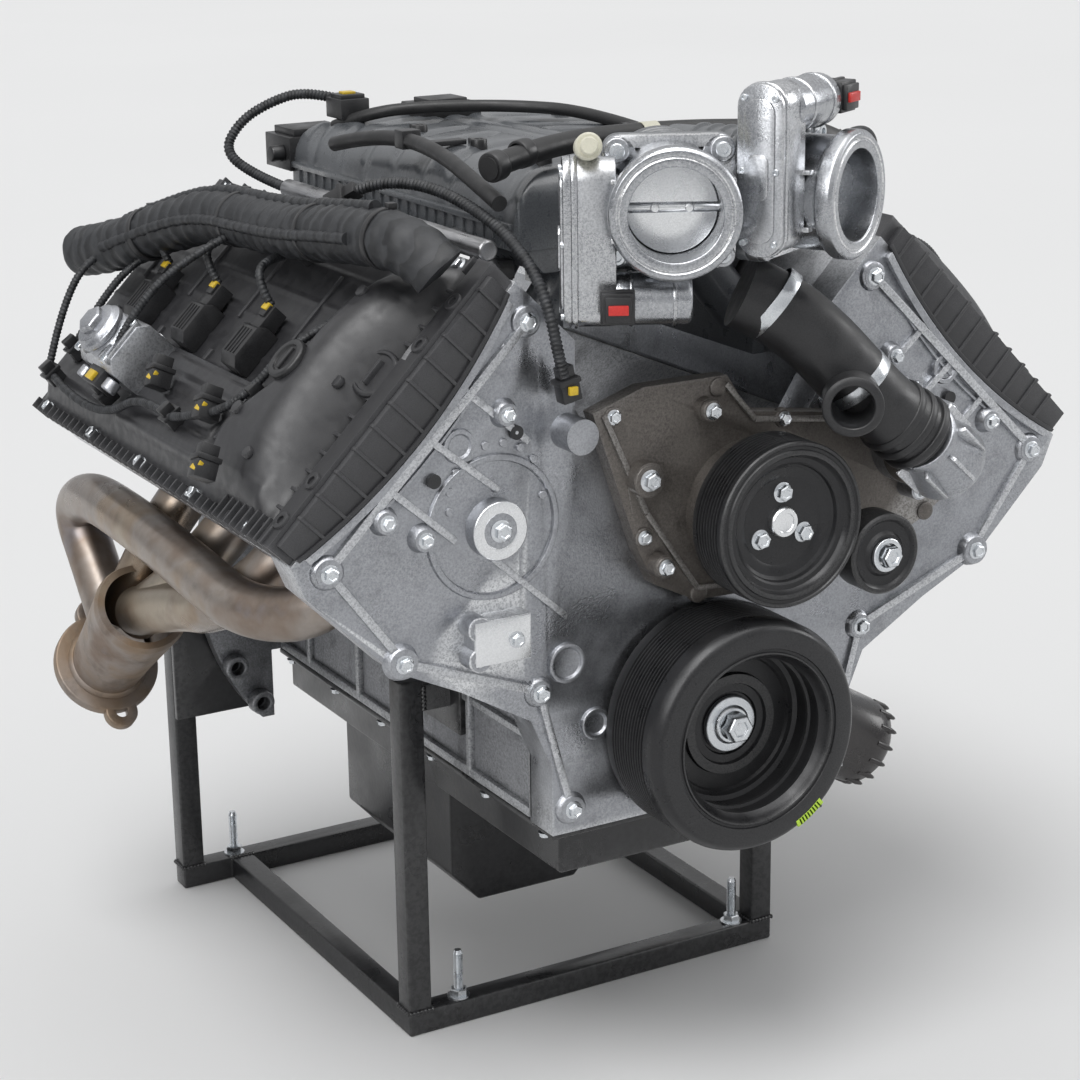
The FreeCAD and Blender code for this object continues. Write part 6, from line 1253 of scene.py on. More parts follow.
@dataclass
class Intake:
    """The moulded intake manifold, its runners, fuel rails and injectors."""

    half: float = 124.0
    floor: float = 336.4
    top: float = 409.6
    front: float = 452.0
    rear: float = 70.0
    foot: float = 103.7
    swoosh: float = 47.0
    depth: float = 4.2

    def skin(self, x: float, y: float) -> float:
        """Height of the plenum's top with its swept flutes."""
        reach = abs(x)/self.half
        shoulder = sqrt(max(0.0, 1 - max(0.0, (abs(x) - 82)/42.0)**2))
        end = min(y + self.front, -self.rear - y)
        fade = sqrt(max(0.0, 1 - max(0.0, (22 - end)/22.0)**2))
        phase = (y + self.front + 58*reach**1.7)/self.swoosh
        near = (phase - floor(phase) - 0.5)*self.swoosh
        flute = self.depth*exp(-(near/6.5)**2)*ease_between(0.12, 0.3, reach)
        spine = 3.0*exp(-((abs(x) - 11)/4.0)**2)
        return self.top - 34 + 34*min(shoulder, 0.3 + 0.7*fade) - flute - spine*fade

    def build(self) -> None:
        """Makes the manifold and what is clipped to it."""
        columns = steps(-self.half, self.half, 150)
        rows = steps(-self.front, -self.rear, 230)
        top = Shape().grid(columns, rows, self.skin, self.floor + 18).piece("plenum_skin", INTAKE, flat_angle=50,
            wall=2.0)
        lower = Shape()
        lower.prism([(-100, self.floor), (100, self.floor), (123.5, self.floor + 24), (123.5, self.floor + 26),
            (-123.5, self.floor + 26), (-123.5, self.floor + 24)], -self.front + 0.5, self.front - self.rear - 1)
        for sign in (-1, 1):
            for y in steps(-self.front + 16, -self.rear - 16, 24):
                lower.box((sign*121, y - 1.2, self.floor + 19), (sign*126, y + 1.2, self.floor + 37))
            lower.box((sign*120, -self.front + 3, self.floor + 33), (sign*127, -self.rear - 3, self.floor + 38))
            lower.box((sign*98, -440 + sign*10, 248.3), (sign*109.5, -80 + sign*10, 299.6))
        lower.box((-40, -self.front + 0.4, 352), (40, -self.front - 5, 398))
        parts = [top, lower.piece("plenum_lower", INTAKE, ease=1.4)]
        rear = Shape().box((-128, -74, 366), (-66, -24, 394))
        rear.box((-122, -70, 393), (-74, -30, 400))
        rear.rod((-128, -60, 380), (-140, -60, 380), 7, edge=1)
        parts.append(rear.piece("plenum_rear_box", PLUG, ease=1.6))
        for side in Side:
            sign = side.value
            for index in range(4):
                y = side.bore(index)
                parts.append(swept(f"runner_{side.label}_{index}", [(sign*104, y, 277), (sign*84, y, 300),
                    (sign*66, y, 324), (sign*56, y, 344)], 18.6, INTAKE, sides=32, step=4))
            parts.append(self._snout(side))
        settle(joined("intake_manifold_moulding", parts), ["intake_manifold"])
        self._fuel()
        self._fittings()

    def _snout(self, side: Side) -> Thing:
        """The neck behind one throttle body, with ribs and a clamping ring."""
        matrix = Throttle("neck", side).matrix
        shape = Shape()
        profile = [(33, 0.2), (46, 0.2), (46, 7), (41, 9)]
        for index in range(5):
            profile += [(41, 14 + index*11), (43.4, 15.4 + index*11), (43.4, 17.2 + index*11),
                (41, 18.6 + index*11)]
        shape.lathe(profile + [(41, 84), (33, 84)], axis=(0, 1, 0), sides=64)
        square_flange(shape, 46.6, 0.2, 9.2)
        return shape.piece(f"snout_{side.label}", INTAKE, matrix, ease=0.6)

    def _fuel(self) -> None:
        """Fuel rails with their injectors and collars."""
        shape = Shape()
        plastic = Shape()
        for side in Side:
            sign = side.value
            shape.rod((sign*141, -434 + sign*10, 356), (sign*141, -86 + sign*10, 356), 7.9, edge=1.5, sides=36)
            for index in range(4):
                y = side.bore(index)
                foot = Vector((sign*103, y, 303.6))
                head = Vector((sign*139, y, 354))
                line = (head - foot).normalized()
                plastic.rod(foot, foot + line*44, 5.0, sides=24)
                plastic.rod(foot + line*16, foot + line*34, 7.4, edge=1.0, sides=24)
                shape.rod(foot + line*40, foot + line*58, 8.4, edge=1.2, sides=24)
                plastic.box((sign*118 - 8, y - 6, 330), (sign*118 + 8, y + 6, 344))
            for index in range(2):
                y = -410 + sign*10 + 200*index + 50
                shape.box((sign*124.4, y - 8, 352.2), (sign*141, y + 8, 360))
        metal = shape.piece("fuel_rail_tubes", STEEL, ease=0.6)
        black = plastic.piece("injectors", PLUG, ease=0.5)
        settle(joined("fuel_rail_set", [metal, black]), ["fuel_rails"])

    def _fittings(self) -> None:
        """Sensor, bosses and clip posts on the plenum."""
        shape = Shape()
        shape.box((-28, -128, self.top - 2), (26, -84, self.top + 9))
        shape.box((-20, -122, self.top + 8), (16, -92, self.top + 13))
        for x, y in ((-70, -400), (-70, -300), (-70, -200), (74, -400), (74, -290), (74, -180)):
            shape.lathe([(0, -4), (7, -4), (6.4, 7), (3.4, 7), (3.0, 3), (0, 3)], (x, y, self.top - 2), UP, 24)
            shape.box((x - 1.2, y + 5, self.top - 4), (x + 1.2, y + 16, self.top + 4))
        parts = [shape.piece("plenum_bosses", PLUG, ease=1.0)]
        parts.append(swept("purge_pipe", [(-96, -96, 404), (-80, -130, 418), (-30, -150, 421), (30, -176, 420),
            (70, -230, 418), (84, -300, 408)], 5.0, RUBBER, step=4))
        settle(joined("plenum_fittings", parts))


@dataclass
class Wiring:
    """The main loom, its branches, plugs and clips, the breather hose and the vapour pipe."""

    loom: float = 20.6
    branch: float = 4.0
    hose: float = 8.4
    pipe: float = 5.9

    def build(self) -> None:
        """Makes the loom, the branches and both pipes."""
        one = Side.ONE
        places = ((418, -11, 0), (418, -30, -62), (419, -62, -118), (418, -84, -180), (416, -88, -250),
            (418, -92, -320), (423, -98, -380), (424, -104, -430), (420, -108, -462), (408, -108, -484),
            (396, -106, -491))
        route = [one.place(height, across, y) for height, across, y in places]
        parts = [swept("loom_bundle", route, self.loom, TAPE, ripple=0.03, pitch=15, sides=64, step=1.5, lump=4.2)]
        parts += self._strands(route)
        clips = Shape()
        for y in (-300, -200):
            matrix = one.turn
            clips.lathe([(0, 0), (6, 0), (6, 15), (0, 15)], matrix @ Vector((84, y, 388.4)),
                matrix.to_3x3() @ Vector(UP), 20)
        parts.append(clips.piece("loom_clips", PLUG, ease=0.6))
        settle(joined("main_loom", parts), ["wiring_loom"])
        self._branches()
        self._pipes()

    def _strands(self, route: list[Point]) -> list[Thing]:
        """Thin tapes, ties and breakouts that break the bundle's outline."""
        made = []
        one = Side.ONE
        lean = one.turn.to_3x3()
        for index, (shift, lift, size) in enumerate(((16, 12, 5.0), (-14, 14, 4.2))):
            offset = lean @ Vector((shift, 0, lift))
            made.append(swept(f"loom_strand_{index}", [Vector(point) + offset for point in route[1:8]], size, TAPE,
                ripple=0.08, pitch=7, sides=20, step=2.0, lump=1.6))
        ties = Shape()
        for near, far in zip(route[1:-3:2], route[2:-2:2]):
            middle = (Vector(near) + Vector(far))/2
            line = (Vector(far) - Vector(near)).normalized()
            ties.lathe([(self.loom + 0.2, -2.4), (self.loom + 1.5, -2.2), (self.loom + 1.5, 2.2),
                (self.loom + 0.2, 2.4)], middle, line, 40)
            side = line.cross(Vector(UP)).normalized()
            spot = middle + Vector((0, 0, self.loom + 1)) - side*5
            ties.box(spot - Vector((3.4, 3.4, 1.0)), spot + Vector((3.4, 3.4, 3.4)))
        made.append(ties.piece("loom_ties", PLUG, ease=0.5))
        return made

    def _plug(self, shape: Shape, at: Point, aim: Point, size: Point) -> None:
        """A connector: a stepped body with ribs and a collar."""
        length, width, height = size
        turn = Vector(UP).rotation_difference(Vector(aim)).to_matrix().to_4x4()
        matrix = Matrix.Translation(Vector(at)) @ turn
        shape.box((-width/2, -height/2, 0), (width/2, height/2, length*0.55), matrix)
        shape.box((-width/2 - 1.2, -height/2 - 1.2, length*0.5), (width/2 + 1.2, height/2 + 1.2, length*0.66),
            matrix)
        shape.box((-width/2 + 1.5, -height/2 + 1.5, length*0.6), (width/2 - 1.5, height/2 - 1.5, length), matrix)
        shape.box((-width/4, height/2 - 1, length*0.08), (width/4, height/2 + 2.4, length*0.48), matrix)

    def _branches(self) -> None:
        """Four cables with corrugated sleeves, and the plugs along the covers."""
        routes = ([(-141, -93.5, 356), (-152, -60, 362), (-168, -26, 380), (-150, -22, 404), (-128, -36, 420),
            (-104, -56, 430), (-84, -82, 424)], [(-212.9, -330, 378.9), (-196, -352, 398), (-168, -400, 402),
            (-150, -462, 384), (-143, -508, 358), (-141, -531.6, 326), (-136, -533.6, 294), (-126, -531.6, 262)],
            [(150, -452, 408), (186, -436, 416), (224, -408, 408), (258, -368, 380), (272, -326, 346),
            (247, -318, 303.9)], [(232, -300, 317.1), (258, -300, 343), (296, -290, 350), (330, -272, 326),
            (346, -256, 290), (341, -250, 256), (317, -250, 232.1)])
        parts = [swept(f"branch_{index}", route, self.branch, TAPE, ripple=0.12, pitch=3.2, sides=18,
            step=0.8) for index, route in enumerate(routes)]
        one, two = Side.ONE, Side.TWO
        leads = [[(406, -74, y + 26), (422, -58, y + 16), (418, -42, y + 4), (400, -36, y)] for y in (-320, -220,
            -120)]
        leads += [[(412, -92, -230), (436, -30, -214), (430, 30, -196), (410, 72, -182), (400, 84, -178)],
            [(398, -50, -420), (410, -10, -404), (404, 30, -392), (402, 60, -360), (399, 74, -300)],
            [(399, 74, -300), (401, 70, -240), (396, 96, -200), (396, 98, -120), (394, 90, -60)],
            [(404, -60, -100), (414, -20, -90), (408, 20, -74), (396, 60, -60)],
            [(410, -60, -60), (430, -10, -46), (420, 40, -44), (398, 84, -50)]]
        parts += [swept(f"lead_{index}", [one.place(*spot) for spot in line], 3.1, TAPE, ripple=0.12, pitch=3.2,
            sides=14, step=1.0) for index, line in enumerate(leads)]
        far = [[(392, -60, -380), (424, -30, -392), (430, 20, -386), (412, 66, -372), (398, 88, -360)],
            [(390, -70, -300), (414, -30, -290), (410, 20, -280), (392, 60, -276)],
            [(390, -70, -200), (416, -30, -196), (414, 24, -190), (392, 66, -184)]]
        parts += [swept(f"far_lead_{index}", [two.place(*spot) for spot in line], 3.1, TAPE, ripple=0.12, pitch=3.2,
            sides=14, step=1.0) for index, line in enumerate(far)]
        plugs = Shape()
        for side, spot in ((one, (390, 84, -178)), (one, (388, 74, -296)), (one, (386, 90, -58)),
                (one, (386, 62, -62)), (two, (388, 88, -358)), (two, (386, 60, -276)), (two, (386, 66, -184)),
                (one, (388, 30, -392))):
            self._plug(plugs, side.place(*spot), side.place(1, -0.15, 0), (20, 14, 11))
        plugs.box((-97, -112, 410.6), (-71, -82, 427))
        plugs.box((-95, -108, 426), (-73, -87, 430.4))
        locks = Shape()
        locks.box((-90, -103, 429.8), (-79, -93, 432.2))
        for at, aim, size in (((-212.9, -332, 380), (0.5, -0.7, 0.5), (28, 15, 12)),
                ((247, -318, 303), (0.3, -0.1, 0.94), (30, 18, 14)),
                ((317, -250, 231), (0.2, 0.1, 0.97), (32, 20, 15)),
                ((232, -300, 316), (0.5, 0.0, 0.86), (26, 16, 13)),
                ((150, -452, 407), (0.9, 0.35, 0.2), (24, 15, 12)),
                ((-126, -531, 262), (-0.2, 0.0, 0.97), (26, 15, 12))):
            self._plug(plugs, at, aim, size)
            place = Vector(at) + Vector(aim)*size[0]*0.3
            locks.box(place + Vector((-3.4, -size[2]/2 - 3.2, -2)), place + Vector((3.4, -size[2]/2, 4)))
        one = Side.ONE
        for across, y, height in ((-64, -352, 400), (-60, -248, 399), (-58, -148, 399), (-104, -420, 406)):
            start = one.place(height, -across, y)
            self._plug(plugs, start, one.facing(0.8, 0.3, 0.25), (26, 17, 13))
            spot = one.turn
            locks.box((-4, -3, -1), (4, 5, 2.6),
                Matrix.Translation(start) @ spot @ Matrix.Translation(Vector((6, 0, 8))))
        black = plugs.piece("plug_bodies", PLUG, ease=0.8)
        yellow = locks.piece("plug_locks", YELLOW_LOCK, ease=0.4)
        settle(joined("branch_cables", parts + [black, yellow]), ["wiring_branches"])

    def _pipes(self) -> None:
        """Breather hose with a pale band, and the vapour pipe on its foot."""
        route = [(-150, -462, 418), (-112, -446, 424), (-44, -418, 426), (40, -416, 425), (100, -436, 423),
            (136, -470, 424), (150, -500, 404)]
        hose = [swept("breather_tube", route, self.hose, RUBBER, ripple=0.0, sides=32, step=2.5)]
        collars = Shape()
        for at, line, reach in (((-112, -444, 423.6), (0.92, 0.36, 0.08), 8.9),
                ((100, -438, 423.4), (0.84, -0.5, 0.0), 8.9), ((-143, -459, 419), (0.92, 0.36, 0.12), 9.4)):
            collars.lathe([(self.hose, -6), (reach + 1.2, -6), (reach + 1.6, -4), (reach + 1.6, 4),
                (reach + 1.2, 6), (self.hose, 6)], at, Vector(line).normalized(), 32)
        hose.append(collars.piece("breather_collars", PLUG, ease=0.5))
        band = Shape().lathe([(self.hose, -7), (self.hose + 0.5, -7), (self.hose + 0.5, 7), (self.hose, 7)],
            (10, -417.6, 425.4), (1, 0.02, 0.0), 32)
        hose.append(band.piece("breather_band", CREAM))
        stand = Shape().lathe([(0, 0), (5, 0), (5, 8), (0, 8)], (-20, -417.5, 410.3), UP, 20)
        hose.append(stand.piece("breather_saddle", PLUG))
        settle(joined("breather", hose), ["breather_hose"])
        pipe = swept("vapour_tube", [(-136, -180, 402), (-132, -225, 412), (-126, -290, 418), (-132, -360, 414),
            (-140, -420, 404), (-146, -470, 394)], self.pipe, RUBBER, sides=28, step=2.5)
        foot = Shape().box((-130, -296, 410.3), (-78, -284, 414.3))
        foot.box((-134, -297, 410.6), (-118, -283, 424.8))
        settle(joined("vapour_line", [pipe, foot.piece("vapour_foot", PLUG, ease=0.8)]),
            ["vapour_pipe"])


@dataclass
class Coolant:
    """The pump housing, the thermostat casting and the moulded elbow."""

    face: float = 511.6
    housing: tuple[float, float] = (174.0, 190.0)

    def build(self) -> None:
        """Makes the housing and the elbow."""
        self._housing()
        self._elbow()

    def _housing(self) -> None:
        """The pump plate with its bosses and the bright thermostat seat."""
        body = painted(softened("water_pump_housing", "pump_housing_body", 1.6), PUMP_CAST)
        detail = Shape()
        for x, z, radius in ((-64, 196, 12.6), (-50, 128, 8.8), (-10, 240, 8.8)):
            detail.lathe([(radius, 23), (radius - 1, 26.6), (4, 26.6), (4, 22), (0, 22)], (x, -self.face, z), FRONT,
                36)
        for x, z in ((-88, 244), (2, 254), (60, 223), (150, 208), (216, 160), (196, 130), (120, 102), (62, 97),
                (-14, 99), (-62, 150)):
            detail.lathe([(7.6, 10), (7.2, 15.6), (4.6, 16.2), (0, 16.2)], (x, -self.face, z), FRONT, 24)
        for start, end in (((-96, 246), (-60, 168)), ((-60, 168), (-16, 104)), ((-16, 104), (58, 100)),
                ((8, 256), (34, 226)), ((34, 226), (158, 210))):
            FrontCover._rib_between(detail, start, end, 2.2, self.face + 14.4, 3.0)
        bosses = detail.piece("pump_bosses", PUMP_CAST, ease=0.7)
        x, z = self.housing
        seat = Shape()
        seat.lathe([(31.6, 4), (31.6, 26), (29.6, 31), (29.2, 37.4), (28.2, 38.8), (21, 38.8), (20.2, 37.6),
            (20.2, 16)], (x, -self.face, z), FRONT, 72)
        neck = [(20, 0), (27.4, 0), (28.6, 1.2), (28.6, 7), (27, 8.6), (25.4, 11), (26.4, 24), (30.6, 42),
            (32.4, 54), (20, 54)]
        seat.lathe(neck, (150, -573, 208.6), (0.755, 0.32, -0.57), 72)
        turned = Vector(UP).rotation_difference(Vector((0.755, 0.32, -0.57))).to_matrix().to_4x4()
        for index in range(8):
            spun = Matrix.Translation(Vector((150, -573, 208.6))) @ turned @ Matrix.Rotation(index*pi/4, 4, "Z")
            seat.box((22, -1.6, 10), (33.4, 1.6, 50), spun)
        for angle in (35, 150, 275):
            turn = radians(angle)
            seat.lathe([(9, 12), (8.4, 32), (0, 32)], (x + 36*cos(turn), -self.face, z + 36*sin(turn)), FRONT, 32)
        bright = seat.piece("thermostat_seat", CAST, ease=0.8)
        settle(joined("pump_housing_cast", [body, bosses, bright]), ["water_pump_housing"])
        spots = [Spot((x + 36*cos(radians(angle)), -self.face - 32, z + 36*sin(radians(angle))),
            size=5.2) for angle in (35, 150, 275)]
        spots += [Spot((bx, -self.face - 26.4, bz), size=size) for bx, bz,
            size in ((-64, 196, 6.4), (-50, 128, 5.0), (-10, 240, 5.0))]
        spots += [Spot((bx, -self.face - 16, bz), size=4.4) for bx, bz in ((-88, 244), (60, 223), (216, 160),
            (120, 102), (-62, 150))]
        bolted("pump_bolts", spots)

    def _elbow(self) -> None:
        """The black elbow with clamps, and its open branch."""
        route = [(24, -522, 322), (50, -536, 308), (74, -552, 284), (98, -564, 254), (122, -568, 230),
            (140, -573, 216), (152, -573, 207)]
        parts = [swept("elbow_tube", route, 27.5, PLUG, sides=48, step=2.5)]
        aim = Vector((0.55, 0.83, 0.05)).normalized()
        shape = Shape()
        shape.lathe([(15.4, 12), (15.4, 1.4), (16.4, 0), (19.6, 0), (22.4, 1.6), (22.6, 3.6), (20.4, 6), (20.2, 14),
            (21, 16), (21, 44)], (66, -604, 246), aim, 64)
        shape.lathe([(15.4, 12), (13, 34), (0, 36)], (66, -604, 246), aim, 64)
        for back, out in ((1, 30.4), (13, 29.8), (25, 29.2)):
            shape.lathe([(20, 0), (out, 0), (out + 0.8, 1.4), (out + 0.8, 5.4), (out, 6.8), (20, 6.8)],
                (146 - back*0.78, -571.6 + back*0.14, 211.6 + back*0.61), (0.77, -0.05, -0.63), 64)
        parts.append(shape.piece("elbow_rings", PLUG, ease=0.5, flat_angle=40))
        bands = Shape()
        for at, line, radius in (((44, -532.6, 312.4), (0.66, -0.4, -0.62), 27.9),
                ((98, -562, 254), (0.6, -0.2, -0.77), 27.9)):
            bands.lathe([(radius, -5), (radius + 1.0, -5), (radius + 1.0, 5), (radius, 5)], at,
                Vector(line).normalized(), 56)
        parts.append(bands.piece("elbow_bands", ZINC, ease=0.3))
        settle(joined("coolant_elbow_hose", parts), ["coolant_elbow"])


@dataclass
class Headers:
    """Four tubes a side, welded to their flanges and gathered in a collector."""

    reach: float = 248.19
    slope: float = 122.33
    tube: float = 20.8

    def build(self) -> None:
        """Makes both headers."""
        for side in Side:
            self._header(side)

    def _routes(self, y: float, index: int) -> list[Point]:
        """The line of one tube, for the bank that leans to +X."""
        reach, slope = self.reach, self.slope
        route = [(reach, y, slope), (reach + 24, y, slope - 24)]
        if index == 0:
            route += [(reach + 56, y + 70, slope - 38), (reach + 64, y + 150, slope - 22),
                (reach + 68, y + 260, slope - 12), (reach + 66, y + 370, slope - 14),
                (reach + 62, y + 418, slope - 40), (reach + 58, y + 392, slope - 82), (309, -72, 2)]
        elif index == 1:
            route += [(reach + 44, y + 60, slope - 62), (reach + 50, y + 116, slope - 72), (306, -128, 24)]
        elif index == 2:
            route += [(reach + 42, y + 46, slope - 70), (305, -122, 18)]
        else:
            route += [(reach + 42, y + 20, slope - 74), (306, -84, 8)]
        return route

    def _header(self, side: Side) -> None:
        """One bank's header."""
        sign = side.value
        parts = []
        plates = Shape()
        welds = Shape()
        spots = []
        outward = side.facing(sign, 0, 0)
        for index in range(4):
            y = side.bore(index)
            route = [(sign*x, along, z) for x, along, z in self._routes(y, index)]
            parts.append(swept(f"header_tube_{side.label}_{index}", route, self.tube, HEADER, sides=40, step=5))
            outline = rounded((-36, -19), (36, 19), 10)
            matrix = side.turn @ Matrix.Rotation(pi/2, 4, "Z")
            near = sign*89.2 if sign < 0 else sign*98.0
            plates.prism([(x + y, z + 262) for x, z in outline], -near if sign > 0 else -near, 8.8, matrix)
            centre = side.place(262, 98.4, y)
            welds.lathe([(self.tube - 1, -0.5), (self.tube + 3.6, -0.5), (self.tube + 2.8, 2.0),
                (self.tube - 1, 4.6)], centre, outward, 48)
            for shift in (-28, 28):
                spots.append(Spot(side.place(262, 98.4, y + shift), outward, 5.6))
        start = Vector((sign*306, -138, 30))
        end = Vector((sign*308, -44, -48))
        axis = (end - start).normalized()
        length = (end - start).length
        cone = Shape()
        cone.lathe([(32, -1), (37.6, -1), (39.4, 4), (39, 8), (33.4, length*0.62), (31.4, length - 12),
            (31.2, length - 6)], start, axis, 64)
        flange = Shape()
        flange.lathe([(28.6, length - 30), (28.6, length + 4.2), (29.4, length + 4.4), (44, length + 4.4),
            (45, length + 3.6), (45, length - 5), (44, length - 6), (31, length - 6)], start, axis, 72)
        across = axis.cross(Vector((1, 0, 0))).normalized()
        for way in (-1, 1):
            foot = end + across*way*46 - axis*5.8
            flange.lathe([(5.6, 0), (13.4, 0), (14, 1), (14, 9), (13.4, 10), (5.6, 10), (5.6, 0)], foot, axis, 40)
        welds.lathe([(31, length - 10.5), (34.6, length - 8), (34.4, length - 5.6), (31, length - 5)], start, axis,
            64)
        parts.append(plates.piece(f"header_plates_{side.label}", HEADER, ease=1.0))
        parts.append(welds.piece(f"header_welds_{side.label}", RUSTY, flat_angle=70))
        parts.append(cone.piece(f"collector_{side.label}", RUSTY, flat_angle=50))
        parts.append(flange.piece(f"collector_flange_{side.label}", RUSTY, ease=0.6))
        settle(joined(f"header_{side.label}", parts), [f"exhaust_header_{side.label}"])
        bolted(f"header_nuts_{side.label}", spots)


@dataclass
class Stand:
    """The welded square-tube stand with its posts, brackets, studs and welds."""

    half: float = 178.0
    rear_half: float = 226.3
    front: float = 352.6
    rear: float = 12.5
    drop: float = 302.0
    bar: float = 20.6

    def build(self) -> None:
        """Makes the painted steelwork and its studs."""
        base = painted(softened("stand_base_frame", "stand_tubes", 2.0, steps=3), FRAME_PAINT)
        top = -self.drop + self.bar
        beads = []
        for sign in (-1, 1):
            x = sign*(self.half - self.bar/2)
            self._bead(beads, [(x - 10.6, -self.front + self.bar + 0.4, top),
                (x + 10.6, -self.front + self.bar + 0.4, top)])
            self._square(beads, (x, -self.front + self.bar/2, top))
            self._square(beads, (sign*(self.rear_half - self.bar/2), self.rear + self.bar/2, top))
            self._bead(beads, [(x - 10.6, self.rear - 0.4, top), (x + 10.6, self.rear - 0.4, top)])
        settle(joined("stand_frame", [base] + beads), ["stand_base_frame"])
        for node in ("stand_front_posts", "stand_rear_posts"):
            settle(painted(softened(node, f"{node}_painted", 2.0, steps=3), FRAME_PAINT), [node])
        brackets = painted(softened("stand_brackets", "stand_bracket_plates", 1.0), FRAME_PAINT)
        settle(joined("stand_bracket_set", [brackets] + self._bracket_welds()), ["stand_brackets"])
        self._studs()

    def _bead(self, beads: list[Thing], route: list[Point], size: float = 2.0) -> None:
        """A line of weld."""
        beads.append(swept(f"bead_{len(beads)}", [route[0], (Vector(route[0]) + Vector(route[-1]))/2, route[-1]],
            size, FRAME_PAINT, ripple=0.22, pitch=3.4, sides=12, step=0.7))

    def _square(self, beads: list[Thing], foot: Point) -> None:
        """Weld round the foot of a post."""
        x, y, z = foot
        half = self.bar/2 + 0.2
        corners = [(x - half, y - half, z), (x + half, y - half, z), (x + half, y + half, z),
            (x - half, y + half, z)]
        for first, second in zip(corners, corners[1:] + corners[:1]):
            self._bead(beads, [first, second], 1.6)

    def _bracket_welds(self) -> list[Thing]:
        """Welds where the brackets meet the posts."""
        beads: list[Thing] = []
        for sign in (-1, 1):
            x = sign*(self.half - self.bar)
            self._bead(beads, [(x, -self.front + 1, 0.2), (x, -self.front + self.bar - 1, 0.2)])
            self._bead(beads, [(x, -self.front, -21), (x, -self.front, -1)])
        return beads

    def _studs(self) -> None:
        """Threaded studs with their nuts."""
        shape = Shape()
        top = -self.drop + self.bar
        for x, y in ((-127.6, -self.front + self.bar/2), (142.7, -self.front + self.bar/2),
                (-171.5, self.rear + self.bar/2), (171.5, self.rear + self.bar/2)):
            profile = [(0, 0), (3.3, 0)]
            for index in range(32):
                profile += [(3.3, 7 + index), (3.95, 7.5 + index)]
            shape.lathe(profile + [(3.3, 40), (2.8, 41.6), (0, 41.6)], (x, y, top), UP, 20)
            shape.lathe([(0, 0.2), (7.4, 0.2), (7.4, 6.4), (6.6, 7.3), (0, 7.3)], (x, y, top), UP, 6)
            shape.lathe([(0, 0.1), (9.4, 0.1), (9.4, 1.3), (0, 1.3)], (x, y, top), UP, 36)
        settle(shape.piece("stand_stud_set", ZINC, ease=0.0), ["stand_studs"])


